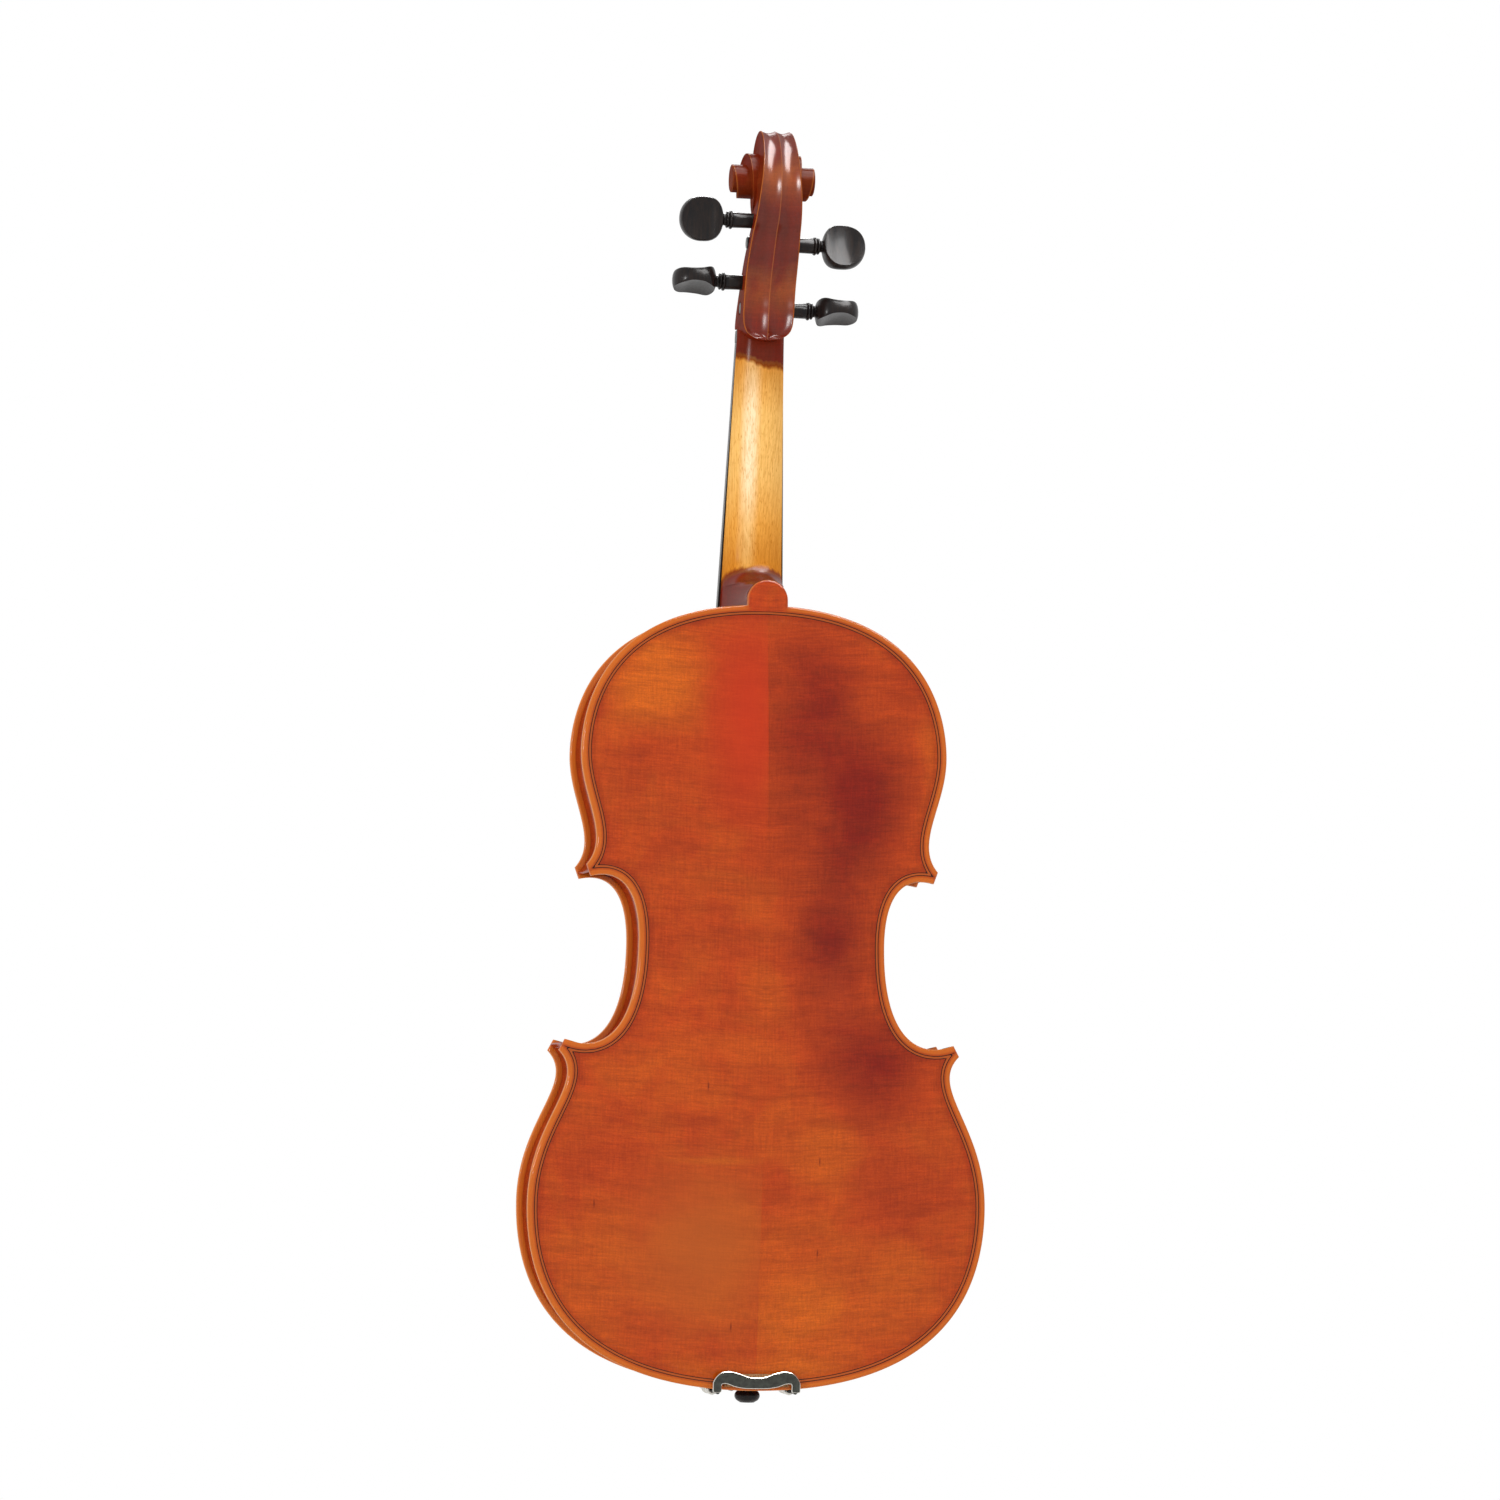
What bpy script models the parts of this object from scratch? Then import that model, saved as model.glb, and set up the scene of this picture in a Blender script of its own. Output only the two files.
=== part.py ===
"""A 16 inch viola, modelled as the pieces that a maker glues and fits together.

Metres, +Z up. The instrument hangs upright with the scroll at the top. The strings face -Y, the back
faces +Y, and the treble side is +X. While the pieces are modelled, z = 0 is the lower edge of the body
and y = 0 is the face of the ribs that the back is glued to. One empty then brings the place where a
hanger holds the neck to the origin.
"""

import math

import bmesh
import bpy
import numpy as np
from mathutils import Matrix, Vector

# Gap that two glued or seated pieces keep, so that their faces never share the same place
GAP = 0.0003

# Body outline: half widths from the centre joint, heights from the lower edge
BODY_LENGTH = 0.406
UPPER_HALF_WIDTH = 0.0964
UPPER_WIDTH_HEIGHT = 0.3279
WAIST_HALF_WIDTH = 0.0645
WAIST_HEIGHT = 0.2300
LOWER_HALF_WIDTH = 0.1200
LOWER_WIDTH_HEIGHT = 0.0945
UPPER_CORNER_X = 0.0915
UPPER_CORNER_HEIGHT = 0.2660
LOWER_CORNER_X = 0.1037
LOWER_CORNER_HEIGHT = 0.1761
CORNER_WIDTH = 0.0064
UPPER_CORNER_LEAN = math.radians(20)
LOWER_CORNER_LEAN = math.radians(28)

# Rib garland
RIB_HEIGHT = 0.037
RIB_THICKNESS = 0.0012
OVERHANG = 0.003
LINING_THICKNESS = 0.002
LINING_HEIGHT = 0.007
CORNER_BLOCK_REACH = 0.021
NECK_BLOCK_WIDTH = 0.052
NECK_BLOCK_DEPTH = 0.017
END_BLOCK_WIDTH = 0.048
END_BLOCK_DEPTH = 0.016

# Arched plates
EDGE_THICKNESS = 0.0045
EDGE_ROUNDING = 0.0011
BACK_ARCH = 0.0160
TOP_ARCH = 0.0170
BACK_THICKNESS = 0.0038
TOP_THICKNESS = 0.0031
CHANNEL_INSET = 0.0075
INSIDE_INSET = 0.0130
BUTTON_WIDTH = 0.0212
BUTTON_HEIGHT = 0.0133

# Sound holes
F_HOLE_HEIGHT = 0.186
F_HOLE_STEM_WIDTH = 0.0068
F_HOLE_UPPER_EYE = 0.0082
F_HOLE_LOWER_EYE = 0.0104

# Bass bar and sound post
BASS_BAR_X = 0.0190
BASS_BAR_LENGTH = 0.300
BASS_BAR_WIDTH = 0.0060
BASS_BAR_HEIGHT = 0.0120
SOUND_POST_X = 0.0190
SOUND_POST_DIAMETER = 0.0065
SOUND_POST_BEHIND_BRIDGE = 0.0050

# Neck
NECK_LENGTH = 0.143
MORTISE_DEPTH = 0.006
OVERSTAND = 0.0065
NECK_TILT = 0.115
NECK_WIDTH_AT_NUT = 0.0252
NECK_WIDTH_AT_BODY = 0.0330
NECK_DEPTH_AT_NUT = 0.0112
NECK_DEPTH_AT_HEEL = 0.0128
HEEL_TOP_REACH = 0.036

# Head: pegbox and scroll. Reach is measured up from the nut, and back from the fingerboard's seat
EYE_REACH = 0.0758
EYE_BACK = 0.0258
EYE_RADIUS = 0.0073
EYE_HALF_WIDTH = 0.0219
PEGBOX_HALF_WIDTH = 0.0136
PEGBOX_WALL = 0.0048
FLUTE_DEPTH = 0.0018
RIM_CHAMFER = 0.0007

# Fingerboard and nut
FINGERBOARD_LENGTH = 0.308
FINGERBOARD_EDGE = 0.0055
FINGERBOARD_END_WIDTH = 0.0470
FINGERBOARD_RADIUS = 0.0420
FINGERBOARD_HOLLOW = 0.0030
NUT_LENGTH = 0.0062
NUT_STAND = 0.0006

# Bridge
BRIDGE_HEIGHT_ON_BODY = 0.186
BRIDGE_WIDTH = 0.0500
BRIDGE_RADIUS = 0.0420
BRIDGE_FOOT_THICKNESS = 0.0050
BRIDGE_TOP_THICKNESS = 0.0016

# Pegs: distance of each part from the centre plane
PEG_DIAMETER = 0.0081
PEG_TAPER = 1 / 30
PEG_COLLAR_START = 0.0223
PEG_COLLAR_DIAMETER = 0.0097
PEG_HEAD_START = 0.0272
PEG_HEAD_LENGTH = 0.0230
PEG_HEAD_HEIGHT = 0.0236
PEG_HEAD_THICKNESS = 0.0106
PEG_TIP_STAND = -0.0004

# Strings
NUT_SPACING = 0.0170
BRIDGE_SPACING = 0.0370
RIDGE_SPACING = 0.0330
STRING_OVER_FINGERBOARD = 0.0052

# Tailpiece and its fine tuners, measured in the plane of the tailpiece
TAILPIECE_LENGTH = 0.120
TAILPIECE_LOW_END = 0.0100
TAILPIECE_LOW_END_Y = -0.0530
TAILPIECE_TILT = math.radians(11.5)
TAILPIECE_WIDE_END = 0.0450
TAILPIECE_NARROW_END = 0.0240
TAILPIECE_THICKNESS = 0.0038
TAILPIECE_CROWN = 0.0035
RIDGE_FROM_END = 0.0035
RIDGE_HEIGHT = 0.0016
TUNER_AXLE_FROM_END = 0.0130
TUNER_AXLE_DEPTH = 0.0085
TUNER_AXLE_DIAMETER = 0.0018
TUNER_LUG_WIDTH = 0.0022
LEVER_WIDTH = 0.0034
LEVER_HOOK_STAND = 0.0030
LEVER_ARM = 0.0180
LEVER_THICKNESS = 0.0024
TUNER_SCREW_DIAMETER = 0.0030
TUNER_HEAD_DIAMETER = 0.0074
TUNER_HEAD_STAND = 0.0062
TUNER_HEAD_HEIGHT = 0.0040
BALL_DIAMETER = 0.0030

# Tail gut, saddle and end button
TAIL_GUT_DIAMETER = 0.0020
SADDLE_WIDTH = 0.0380
SADDLE_DEPTH = 0.0060
SADDLE_STAND = 0.0048
BUTTON_AXIS_Y = -0.0190
BUTTON_KNOB_DIAMETER = 0.0132
BUTTON_KNOB_LENGTH = 0.0066
BUTTON_NECK_DIAMETER = 0.0078
BUTTON_SHANK_LENGTH = 0.0190
BUTTON_GAP_BELOW_EDGE = 0.0006

# Chinrest and its clamp
CHINREST_LEFT = -0.0900
CHINREST_RIGHT = 0.0400
CHINREST_LOW_EDGE = 0.0036
CHINREST_CUP_LENGTH = 0.0610
CHINREST_ARM_LENGTH = 0.0240
CHINREST_TOP_Y = -0.0735
CHINREST_CUP_DEPTH = 0.0055
CHINREST_THICKNESS = 0.0085
CHINREST_FOOT_INNER = 0.0196
CHINREST_FOOT_OUTER = 0.0370
CHINREST_FOOT_DEPTH = 0.0110
CORK_THICKNESS = 0.0015
CLAMP_SPAN = 0.0405
CLAMP_AXIS_HEIGHT = -0.00055
CLAMP_POST_DIAMETER = 0.0020
CLAMP_PLATE_THICKNESS = 0.0014
BARREL_DIAMETER = 0.0046
BARREL_LENGTH = 0.0200
POST_IN_BARREL = 0.0040

# Where a hanger's fork holds the neck, below the nut's end
HANGER_BELOW_NUT = 0.0125

STRINGS = {
    "a": {"slot": 1.5, "diameter": 0.0007, "turns": 5},
    "d": {"slot": 0.5, "diameter": 0.0009, "turns": 4},
    "g": {"slot": -0.5, "diameter": 0.0010, "turns": 4},
    "c": {"slot": -1.5, "diameter": 0.0012, "turns": 4},
}
PEGS = {
    "a": {"reach": 0.0228, "back": 0.0150, "side": 1, "turn": -81},
    "d": {"reach": 0.0523, "back": 0.0338, "side": 1, "turn": -8},
    "g": {"reach": 0.0418, "back": 0.0266, "side": -1, "turn": 12},
    "c": {"reach": 0.0098, "back": 0.0108, "side": -1, "turn": 99},
}

# The thumb piece from its collar to its round end: share of its length, of its height and of its thickness
PEG_HEAD_FORM = (
    (0.0, 0.30, 0.70), (0.05, 0.60, 1.0), (0.18, 0.86, 0.90), (0.38, 1.0, 0.70),
    (0.60, 0.98, 0.64), (0.80, 0.80, 0.76), (0.94, 0.48, 0.80), (1.0, 0.16, 0.36),
)

EBONY = ("ebony", (0.012, 0.010, 0.010), 0.32, 0.0)
MAPLE = ("varnished maple", (0.42, 0.11, 0.02), 0.28, 0.0)
SPRUCE = ("varnished spruce", (0.50, 0.19, 0.04), 0.32, 0.0)
BARE_SPRUCE = ("bare spruce", (0.72, 0.52, 0.30), 0.70, 0.0)
BARE_MAPLE = ("bare maple", (0.70, 0.50, 0.28), 0.55, 0.0)
STEEL = ("nickelled steel", (0.72, 0.72, 0.70), 0.25, 1.0)
DARK_STEEL = ("blackened steel", (0.06, 0.06, 0.06), 0.35, 1.0)
BRASS = ("brass", (0.72, 0.50, 0.20), 0.30, 1.0)
CORK = ("cork", (0.45, 0.28, 0.14), 0.90, 0.0)
NYLON = ("black nylon", (0.02, 0.02, 0.02), 0.45, 0.0)
COMPOSITE = ("black composite", (0.018, 0.018, 0.018), 0.40, 0.0)
STRING_WIRE = ("wound string", (0.60, 0.58, 0.55), 0.35, 1.0)


def clear_scene():
    """Remove every object that a new file starts with."""
    for obj in list(bpy.data.objects):
        bpy.data.objects.remove(obj, do_unlink=True)


def new_collection(name):
    collection = bpy.data.collections.new(name)
    bpy.context.scene.collection.children.link(collection)
    return collection


clear_scene()
PIECES = new_collection("viola")
CUTTERS = new_collection("cutters")


def material_of(finish):
    """The Principled material of one finish, made the first time it is asked for."""
    name, colour, roughness, metallic = finish
    material = bpy.data.materials.get(name)
    if material is None:
        material = bpy.data.materials.new(name)
        material.use_nodes = True
        shader = material.node_tree.nodes["Principled BSDF"]
        shader.inputs["Base Color"].default_value = (*colour, 1.0)
        shader.inputs["Roughness"].default_value = roughness
        shader.inputs["Metallic"].default_value = metallic
        material.diffuse_color = (*colour, 1.0)
    return material


def new_piece(name, data, finish):
    """Link a mesh or a curve as one piece of the viola."""
    obj = bpy.data.objects.new(name, data)
    PIECES.objects.link(obj)
    data.materials.append(material_of(finish))
    return obj


def as_cutter(obj):
    """Keep an object as a helper that other pieces are cut or joined with."""
    for collection in list(obj.users_collection):
        collection.objects.unlink(obj)
    CUTTERS.objects.link(obj)
    obj.hide_render = True
    obj.display_type = "WIRE"
    return obj


def combine(obj, other, operation, solver):
    modifier = obj.modifiers.new(f"{operation.lower()} {other.name}", "BOOLEAN")
    modifier.operation = operation
    modifier.object = other
    modifier.solver = solver
    return obj


def cut(obj, *tools, solver="EXACT"):
    for tool in tools:
        combine(obj, as_cutter(tool), "DIFFERENCE", solver)
    return obj


def join(obj, *others, solver="EXACT"):
    for other in others:
        combine(obj, as_cutter(other), "UNION", solver)
    return obj


def smooth(mesh, angle=35):
    mesh.shade_smooth()
    mesh.set_sharp_from_angle(angle=math.radians(angle))


def mesh_from(bm, name):
    """Finish a bmesh: doubles merged, faces turned outward, round forms shaded smooth."""
    bmesh.ops.remove_doubles(bm, verts=bm.verts, dist=1e-6)
    bmesh.ops.recalc_face_normals(bm, faces=bm.faces)
    mesh = bpy.data.meshes.new(name)
    bm.to_mesh(mesh)
    bm.free()
    smooth(mesh)
    return mesh


def loft(name, rings, finish, closed=True, capped=True):
    """Skin a row of sections that have the same number of points."""
    bm = bmesh.new()
    rows = [[bm.verts.new(point) for point in ring] for ring in rings]
    count = len(rows[0])
    for low, high in zip(rows, rows[1:]):
        for k in range(count if closed else count - 1):
            after = (k + 1) % count
            bm.faces.new((low[k], low[after], high[after], high[k]))
    if capped:
        bm.faces.new(rows[0])
        bm.faces.new(rows[-1])
    return new_piece(name, mesh_from(bm, name), finish)


def prism(name, outline, low, high, axis, finish):
    """Push a flat outline along one axis. It is given in the other two axes, in the order x, y, z."""
    bm = bmesh.new()
    corners = []
    for point in outline:
        place = list(point)
        place.insert(axis, low)
        corners.append(bm.verts.new(place))
    face = bm.faces.new(corners)
    moved = bmesh.ops.extrude_face_region(bm, geom=[face])["geom"]
    offset = [0.0, 0.0, 0.0]
    offset[axis] = high - low
    verts = [item for item in moved if isinstance(item, bmesh.types.BMVert)]
    bmesh.ops.translate(bm, verts=verts, vec=offset)
    return new_piece(name, mesh_from(bm, name), finish)


def box(name, low, high, finish):
    bm = bmesh.new()
    bmesh.ops.create_cube(bm, size=1.0)
    bmesh.ops.scale(bm, verts=bm.verts, vec=np.subtract(high, low))
    bmesh.ops.translate(bm, verts=bm.verts, vec=np.add(high, low) / 2)
    return new_piece(name, mesh_from(bm, name), finish)


def rod(name, start, end, radius, finish, sides=12, end_radius=None):
    """A round rod or cone between two points."""
    bm = bmesh.new()
    start, end = np.array(start, float), np.array(end, float)
    length = float(np.linalg.norm(end - start))
    tip = radius if end_radius is None else end_radius
    bmesh.ops.create_cone(
        bm, cap_ends=True, segments=sides, radius1=radius, radius2=tip, depth=length
    )
    turn = Vector((0, 0, 1)).rotation_difference(Vector(end - start)).to_matrix()
    bmesh.ops.rotate(bm, verts=bm.verts, matrix=turn)
    bmesh.ops.translate(bm, verts=bm.verts, vec=(start + end) / 2)
    return new_piece(name, mesh_from(bm, name), finish)


def turned(name, profile, finish, steps=16):
    """Turn a profile of (radius, height) round Z, listed from the top down its outer side."""
    bm = bmesh.new()
    verts = [bm.verts.new((radius, 0.0, height)) for radius, height in profile]
    for first, second in zip(verts, verts[1:]):
        bm.edges.new((first, second))
    mesh = bpy.data.meshes.new(name)
    bm.to_mesh(mesh)
    bm.free()
    obj = new_piece(name, mesh, finish)
    screw = obj.modifiers.new("turn", "SCREW")
    screw.axis = "Z"
    screw.steps = steps
    screw.render_steps = steps
    screw.use_merge_vertices = True
    screw.merge_threshold = 1e-5
    screw.use_smooth_shade = True
    return obj


def tube(name, points, radius, finish, resolution=1):
    """A bevelled curve through the points."""
    curve = bpy.data.curves.new(name, "CURVE")
    curve.dimensions = "3D"
    curve.bevel_depth = radius
    curve.bevel_resolution = resolution
    curve.use_fill_caps = True
    spline = curve.splines.new("POLY")
    spline.points.add(len(points) - 1)
    for target, point in zip(spline.points, points):
        target.co = (*point, 1.0)
    return new_piece(name, curve, finish)


def meshed(obj):
    """A curve turned into a mesh, because a Boolean takes no curve."""
    graph = bpy.context.evaluated_depsgraph_get()
    mesh = bpy.data.meshes.new_from_object(obj.evaluated_get(graph))
    piece = bpy.data.objects.new(f"{obj.name} mesh", mesh)
    bpy.data.objects.remove(obj)
    PIECES.objects.link(piece)
    bm = bmesh.new()
    bm.from_mesh(mesh)
    bmesh.ops.remove_doubles(bm, verts=bm.verts, dist=1e-6)
    bmesh.ops.recalc_face_normals(bm, faces=bm.faces)
    bm.to_mesh(mesh)
    bm.free()
    return piece


def bezier(p0, p1, p2, p3, steps):
    """Points of one cubic curve, both ends included."""
    t = np.linspace(0.0, 1.0, steps + 1)[:, None]
    p0, p1, p2, p3 = (np.array(p, float) for p in (p0, p1, p2, p3))
    return (1 - t) ** 3 * p0 + 3 * (1 - t) ** 2 * t * p1 + 3 * (1 - t) * t**2 * p2 + t**3 * p3


def along(curve, start, end):
    """The stretch of a path between two distances along it."""
    steps = np.linalg.norm(np.diff(curve, axis=0), axis=1)
    at = np.concatenate([[0.0], np.cumsum(steps)])
    start, end = max(start, 0.0), min(end, at[-1])
    middle = at[(at > start + 1e-6) & (at < end - 1e-6)]
    wanted = np.concatenate([[start], middle, [end]])
    return np.stack([np.interp(wanted, at, curve[:, k]) for k in range(curve.shape[1])], axis=1)


def path_length(curve):
    return float(np.linalg.norm(np.diff(curve, axis=0), axis=1).sum())


def inset(curve, distance):
    """A path moved to its right, which is into the body."""
    ahead = np.gradient(curve, axis=0)
    ahead /= np.linalg.norm(ahead, axis=1)[:, None]
    return curve + distance * np.stack([ahead[:, 1], -ahead[:, 0]], axis=1)


def lengthened(curve, reach=0.015):
    first = curve[0] - (curve[1] - curve[0]) * reach / np.linalg.norm(curve[1] - curve[0])
    last = curve[-1] + (curve[-1] - curve[-2]) * reach / np.linalg.norm(curve[-1] - curve[-2])
    return np.vstack([first, curve, last])


def meeting(first, second):
    """How far along the first path it crosses the second, and how far along the second."""
    walked = 0.0
    for a, b in zip(first, first[1:]):
        along_second = 0.0
        for c, d in zip(second, second[1:]):
            sides = np.array([b - a, c - d]).T
            if abs(np.linalg.det(sides)) > 1e-14:
                s, t = np.linalg.solve(sides, c - a)
                if 0 <= s <= 1 and 0 <= t <= 1:
                    return (
                        walked + s * np.linalg.norm(b - a),
                        along_second + t * np.linalg.norm(d - c),
                    )
            along_second += np.linalg.norm(d - c)
        walked += np.linalg.norm(b - a)
    raise ValueError("the two paths do not cross")


def corner_points(x, height, lean, below):
    """The two ends of a corner's cut edge: the one on the bout, and the one on the waist."""
    reach = CORNER_WIDTH / 2 * np.array([math.sin(lean), math.cos(lean)])
    if below:
        reach[0] = -reach[0]
        return np.array([x, height]) - reach, np.array([x, height]) + reach
    return np.array([x, height]) + reach, np.array([x, height]) - reach


UPPER_BOUT_TIP, WAIST_UPPER_TIP = corner_points(
    UPPER_CORNER_X, UPPER_CORNER_HEIGHT, UPPER_CORNER_LEAN, False
)
LOWER_BOUT_TIP, WAIST_LOWER_TIP = corner_points(
    LOWER_CORNER_X, LOWER_CORNER_HEIGHT, LOWER_CORNER_LEAN, True
)


def half_outline():
    """The treble half of the plates' edge in (x, z): upper bout, waist and lower bout, top to bottom."""
    upper = np.array([UPPER_HALF_WIDTH, UPPER_WIDTH_HEIGHT])
    waist = np.array([WAIST_HALF_WIDTH, WAIST_HEIGHT])
    lower = np.array([LOWER_HALF_WIDTH, LOWER_WIDTH_HEIGHT])
    over, under = BODY_LENGTH - UPPER_WIDTH_HEIGHT, UPPER_WIDTH_HEIGHT - UPPER_CORNER_HEIGHT
    above, below = UPPER_CORNER_HEIGHT - WAIST_HEIGHT, WAIST_HEIGHT - LOWER_CORNER_HEIGHT
    fall = LOWER_CORNER_HEIGHT - LOWER_WIDTH_HEIGHT
    upper_bout = np.vstack([
        bezier((0, BODY_LENGTH), (UPPER_HALF_WIDTH * 0.913, BODY_LENGTH),
               upper + (0, over * 0.257), upper, 8)[:-1],
        bezier(upper, upper - (0, under * 0.388), UPPER_BOUT_TIP + (-0.21 * under, 0.24 * under),
               UPPER_BOUT_TIP, 5),
    ])
    waist_bout = np.vstack([
        bezier(WAIST_UPPER_TIP, WAIST_UPPER_TIP + (-0.556 * above, 0.139 * above),
               waist + (0, above * 0.569), waist, 5)[:-1],
        bezier(waist, waist - (0, below * 0.965), WAIST_LOWER_TIP - (0.288 * below, 0.117 * below),
               WAIST_LOWER_TIP, 6),
    ])
    lower_bout = np.vstack([
        bezier(LOWER_BOUT_TIP, LOWER_BOUT_TIP - (0.202 * fall, 0.206 * fall), lower + (0, fall * 0.528),
               lower, 6)[:-1],
        bezier(lower, lower * (1, 0.313), (LOWER_HALF_WIDTH * 0.613, 0), (0, 0), 8),
    ])
    return upper_bout, waist_bout, lower_bout


UPPER_BOUT, WAIST_BOUT, LOWER_BOUT = half_outline()


def arch_boundary(distance):
    """Half widths and heights of the line that the arching rises from, without the corners."""
    upper = np.array([UPPER_HALF_WIDTH, UPPER_WIDTH_HEIGHT])
    waist = np.array([WAIST_HALF_WIDTH, (WAIST_HEIGHT + LOWER_CORNER_HEIGHT + UPPER_CORNER_HEIGHT) / 3])
    lower = np.array([LOWER_HALF_WIDTH, LOWER_WIDTH_HEIGHT])
    rise, fall = upper[1] - waist[1], waist[1] - lower[1]
    path = np.vstack([
        bezier((0, BODY_LENGTH), (UPPER_HALF_WIDTH * 0.913, BODY_LENGTH),
               upper + (0, (BODY_LENGTH - UPPER_WIDTH_HEIGHT) * 0.257), upper, 16)[:-1],
        bezier(upper, upper - (0, rise * 0.45), waist + (0, rise * 0.40), waist, 16)[:-1],
        bezier(waist, waist - (0, fall * 0.42), lower + (0, fall * 0.38), lower, 16)[:-1],
        bezier(lower, lower * (1, 0.313), (LOWER_HALF_WIDTH * 0.613, 0), (0, 0), 16),
    ])
    moved = inset(path, distance)
    moved[:, 0] = np.maximum(moved[:, 0], 0.0)
    return moved[np.argsort(moved[:, 1])]


ARCH_LINES = {distance: arch_boundary(distance) for distance in (CHANNEL_INSET, INSIDE_INSET)}


def arch_share(x, z, distance):
    """How much of the full arch height a plate has at a place, from 0 in the channel to 1."""
    line = ARCH_LINES[distance]
    low, high = line[0, 1], line[-1, 1]
    if not low < z < high:
        return 0.0
    half_width = max(float(np.interp(z, line[:, 1], line[:, 0])), 1e-6)
    across = min(abs(x) / half_width, 1.0)
    length = abs(2 * (z - low) / (high - low) - 1)
    return (1 + math.cos(math.pi * across**1.3)) / 2 * (1 - length**2.8) ** 1.2


def outer_height(x, z, arch):
    """Height of a plate's outer face over the ribs."""
    return EDGE_THICKNESS + (arch - EDGE_THICKNESS) * arch_share(x, z, CHANNEL_INSET)


def inner_height(x, z, arch, thickness):
    """Height of a plate's hollowed inner face over the ribs."""
    return (arch - thickness) * arch_share(x, z, INSIDE_INSET)


def edge_line():
    """The whole half edge with, for each point, the height on the centre joint that it is ruled to."""
    upper_end = UPPER_CORNER_HEIGHT + CORNER_WIDTH * 4.1
    waist_start = UPPER_CORNER_HEIGHT + CORNER_WIDTH * 3.1
    waist_end = LOWER_CORNER_HEIGHT - CORNER_WIDTH * 4.0
    lower_start = LOWER_CORNER_HEIGHT - CORNER_WIDTH * 5.0
    upper, waist, lower = (np.linspace(0, 1, len(line)) for line in (UPPER_BOUT, WAIST_BOUT, LOWER_BOUT))
    joint = [
        np.interp(upper, [0, 0.5, 1], [BODY_LENGTH * 0.97, UPPER_WIDTH_HEIGHT, upper_end]),
        np.interp(waist, [0, 0.5, 1], [waist_start, WAIST_HEIGHT - CORNER_WIDTH * 0.7, waist_end]),
        np.interp(lower, [0, 0.4, 1], [lower_start, LOWER_WIDTH_HEIGHT, BODY_LENGTH * 0.03]),
    ]
    return np.vstack([UPPER_BOUT, WAIST_BOUT, LOWER_BOUT]), np.concatenate(joint)


def half_plate(name, side, arch, thickness, finish, outward):
    """One half of the top or the back: arched outside, hollowed inside, with a rounded edge.

    outward is +1 for the back and -1 for the top, whose inner face starts one rib height in front.
    """
    edge, joint = edge_line()
    base = 0.0 if outward > 0 else -RIB_HEIGHT
    outer_shares = (0.0, 0.2, 0.4, 0.57, 0.71, 0.82, 0.91)
    inner_shares = (0.93, 0.78, 0.52, 0.26, 0.0)
    rings = []
    for (x, z), middle in zip(edge, joint):
        reach = math.hypot(x, z - middle)
        rounding = 1 - EDGE_ROUNDING / reach if reach > 0.02 else 0.94
        ring = []
        for share in (*outer_shares, rounding):
            px, pz = x * share, middle + (z - middle) * share
            ring.append((px, outer_height(px, pz, arch), pz))
        ring.append((x, EDGE_THICKNESS * 0.72, z))
        ring.append((x, EDGE_THICKNESS * 0.28, z))
        for share in (rounding, *inner_shares):
            px, pz = x * share, middle + (z - middle) * share
            ring.append((px, inner_height(px, pz, arch, thickness), pz))
        rings.append(ring)
    placed = [
        [(side * (px + GAP / 2), base + outward * py, pz) for px, py, pz in ring] for ring in rings
    ]
    return loft(name, placed, finish)


def f_hole_cutters(side):
    """The tools that saw one sound hole: its curved stem, its two eyes and its two nicks."""
    eye_up = np.array([0.0250, F_HOLE_HEIGHT + 0.0320])
    eye_low = np.array([0.0600, F_HOLE_HEIGHT - 0.0330])
    middle = np.array([0.0430, F_HOLE_HEIGHT])
    upper = bezier(eye_up + (0.0005, 0.004), (0.0275, eye_up[1] + 0.0135),
                   (0.0375, eye_up[1] + 0.0090), middle, 7)
    lower = bezier(middle, (0.0485, eye_low[1] - 0.0090), (0.0585, eye_low[1] - 0.0135),
                   eye_low - (0.0005, 0.004), 7)
    centre = np.vstack([upper[:-1], lower])
    ahead = np.gradient(centre, axis=0)
    ahead /= np.linalg.norm(ahead, axis=1)[:, None]
    share = np.sin(np.linspace(0, math.pi, len(centre))) ** 1.5
    half = (0.0008 + (F_HOLE_STEM_WIDTH / 2 - 0.0008) * share)[:, None]
    beside = np.stack([ahead[:, 1], -ahead[:, 0]], axis=1) * half
    outline = np.vstack([centre + beside, (centre - beside)[::-1]])
    outline[:, 0] *= side
    name = "treble" if side > 0 else "bass"
    far, near = -RIB_HEIGHT - TOP_ARCH - 0.01, -RIB_HEIGHT + 0.01
    tools = [prism(f"f hole stem {name}", outline, far, near, 1, SPRUCE)]
    for place, diameter in ((eye_up, F_HOLE_UPPER_EYE), (eye_low, F_HOLE_LOWER_EYE)):
        x, z = place[0] * side, place[1]
        tools.append(rod(f"f hole eye {name}", (x, far, z), (x, near, z), diameter / 2, SPRUCE, 12))
    nick = [
        (side * (middle[0] + dx), F_HOLE_HEIGHT + dz)
        for dx, dz in ((-0.0050, 0), (0, -0.0007), (0.0050, 0), (0, 0.0007))
    ]
    tools.append(prism(f"f hole nicks {name}", nick, far, near, 1, SPRUCE))
    return tools


def neck_half_width(z):
    """Half width of the neck at the fingerboard."""
    nut = BODY_LENGTH + NECK_LENGTH
    return float(np.interp(z, [BODY_LENGTH, nut], [NECK_WIDTH_AT_BODY / 2, NECK_WIDTH_AT_NUT / 2]))


def glue_plane_y(z):
    """Where the fingerboard is glued to the neck."""
    front = -RIB_HEIGHT - EDGE_THICKNESS - OVERSTAND
    return front + NECK_TILT * (z - BODY_LENGTH)


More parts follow.
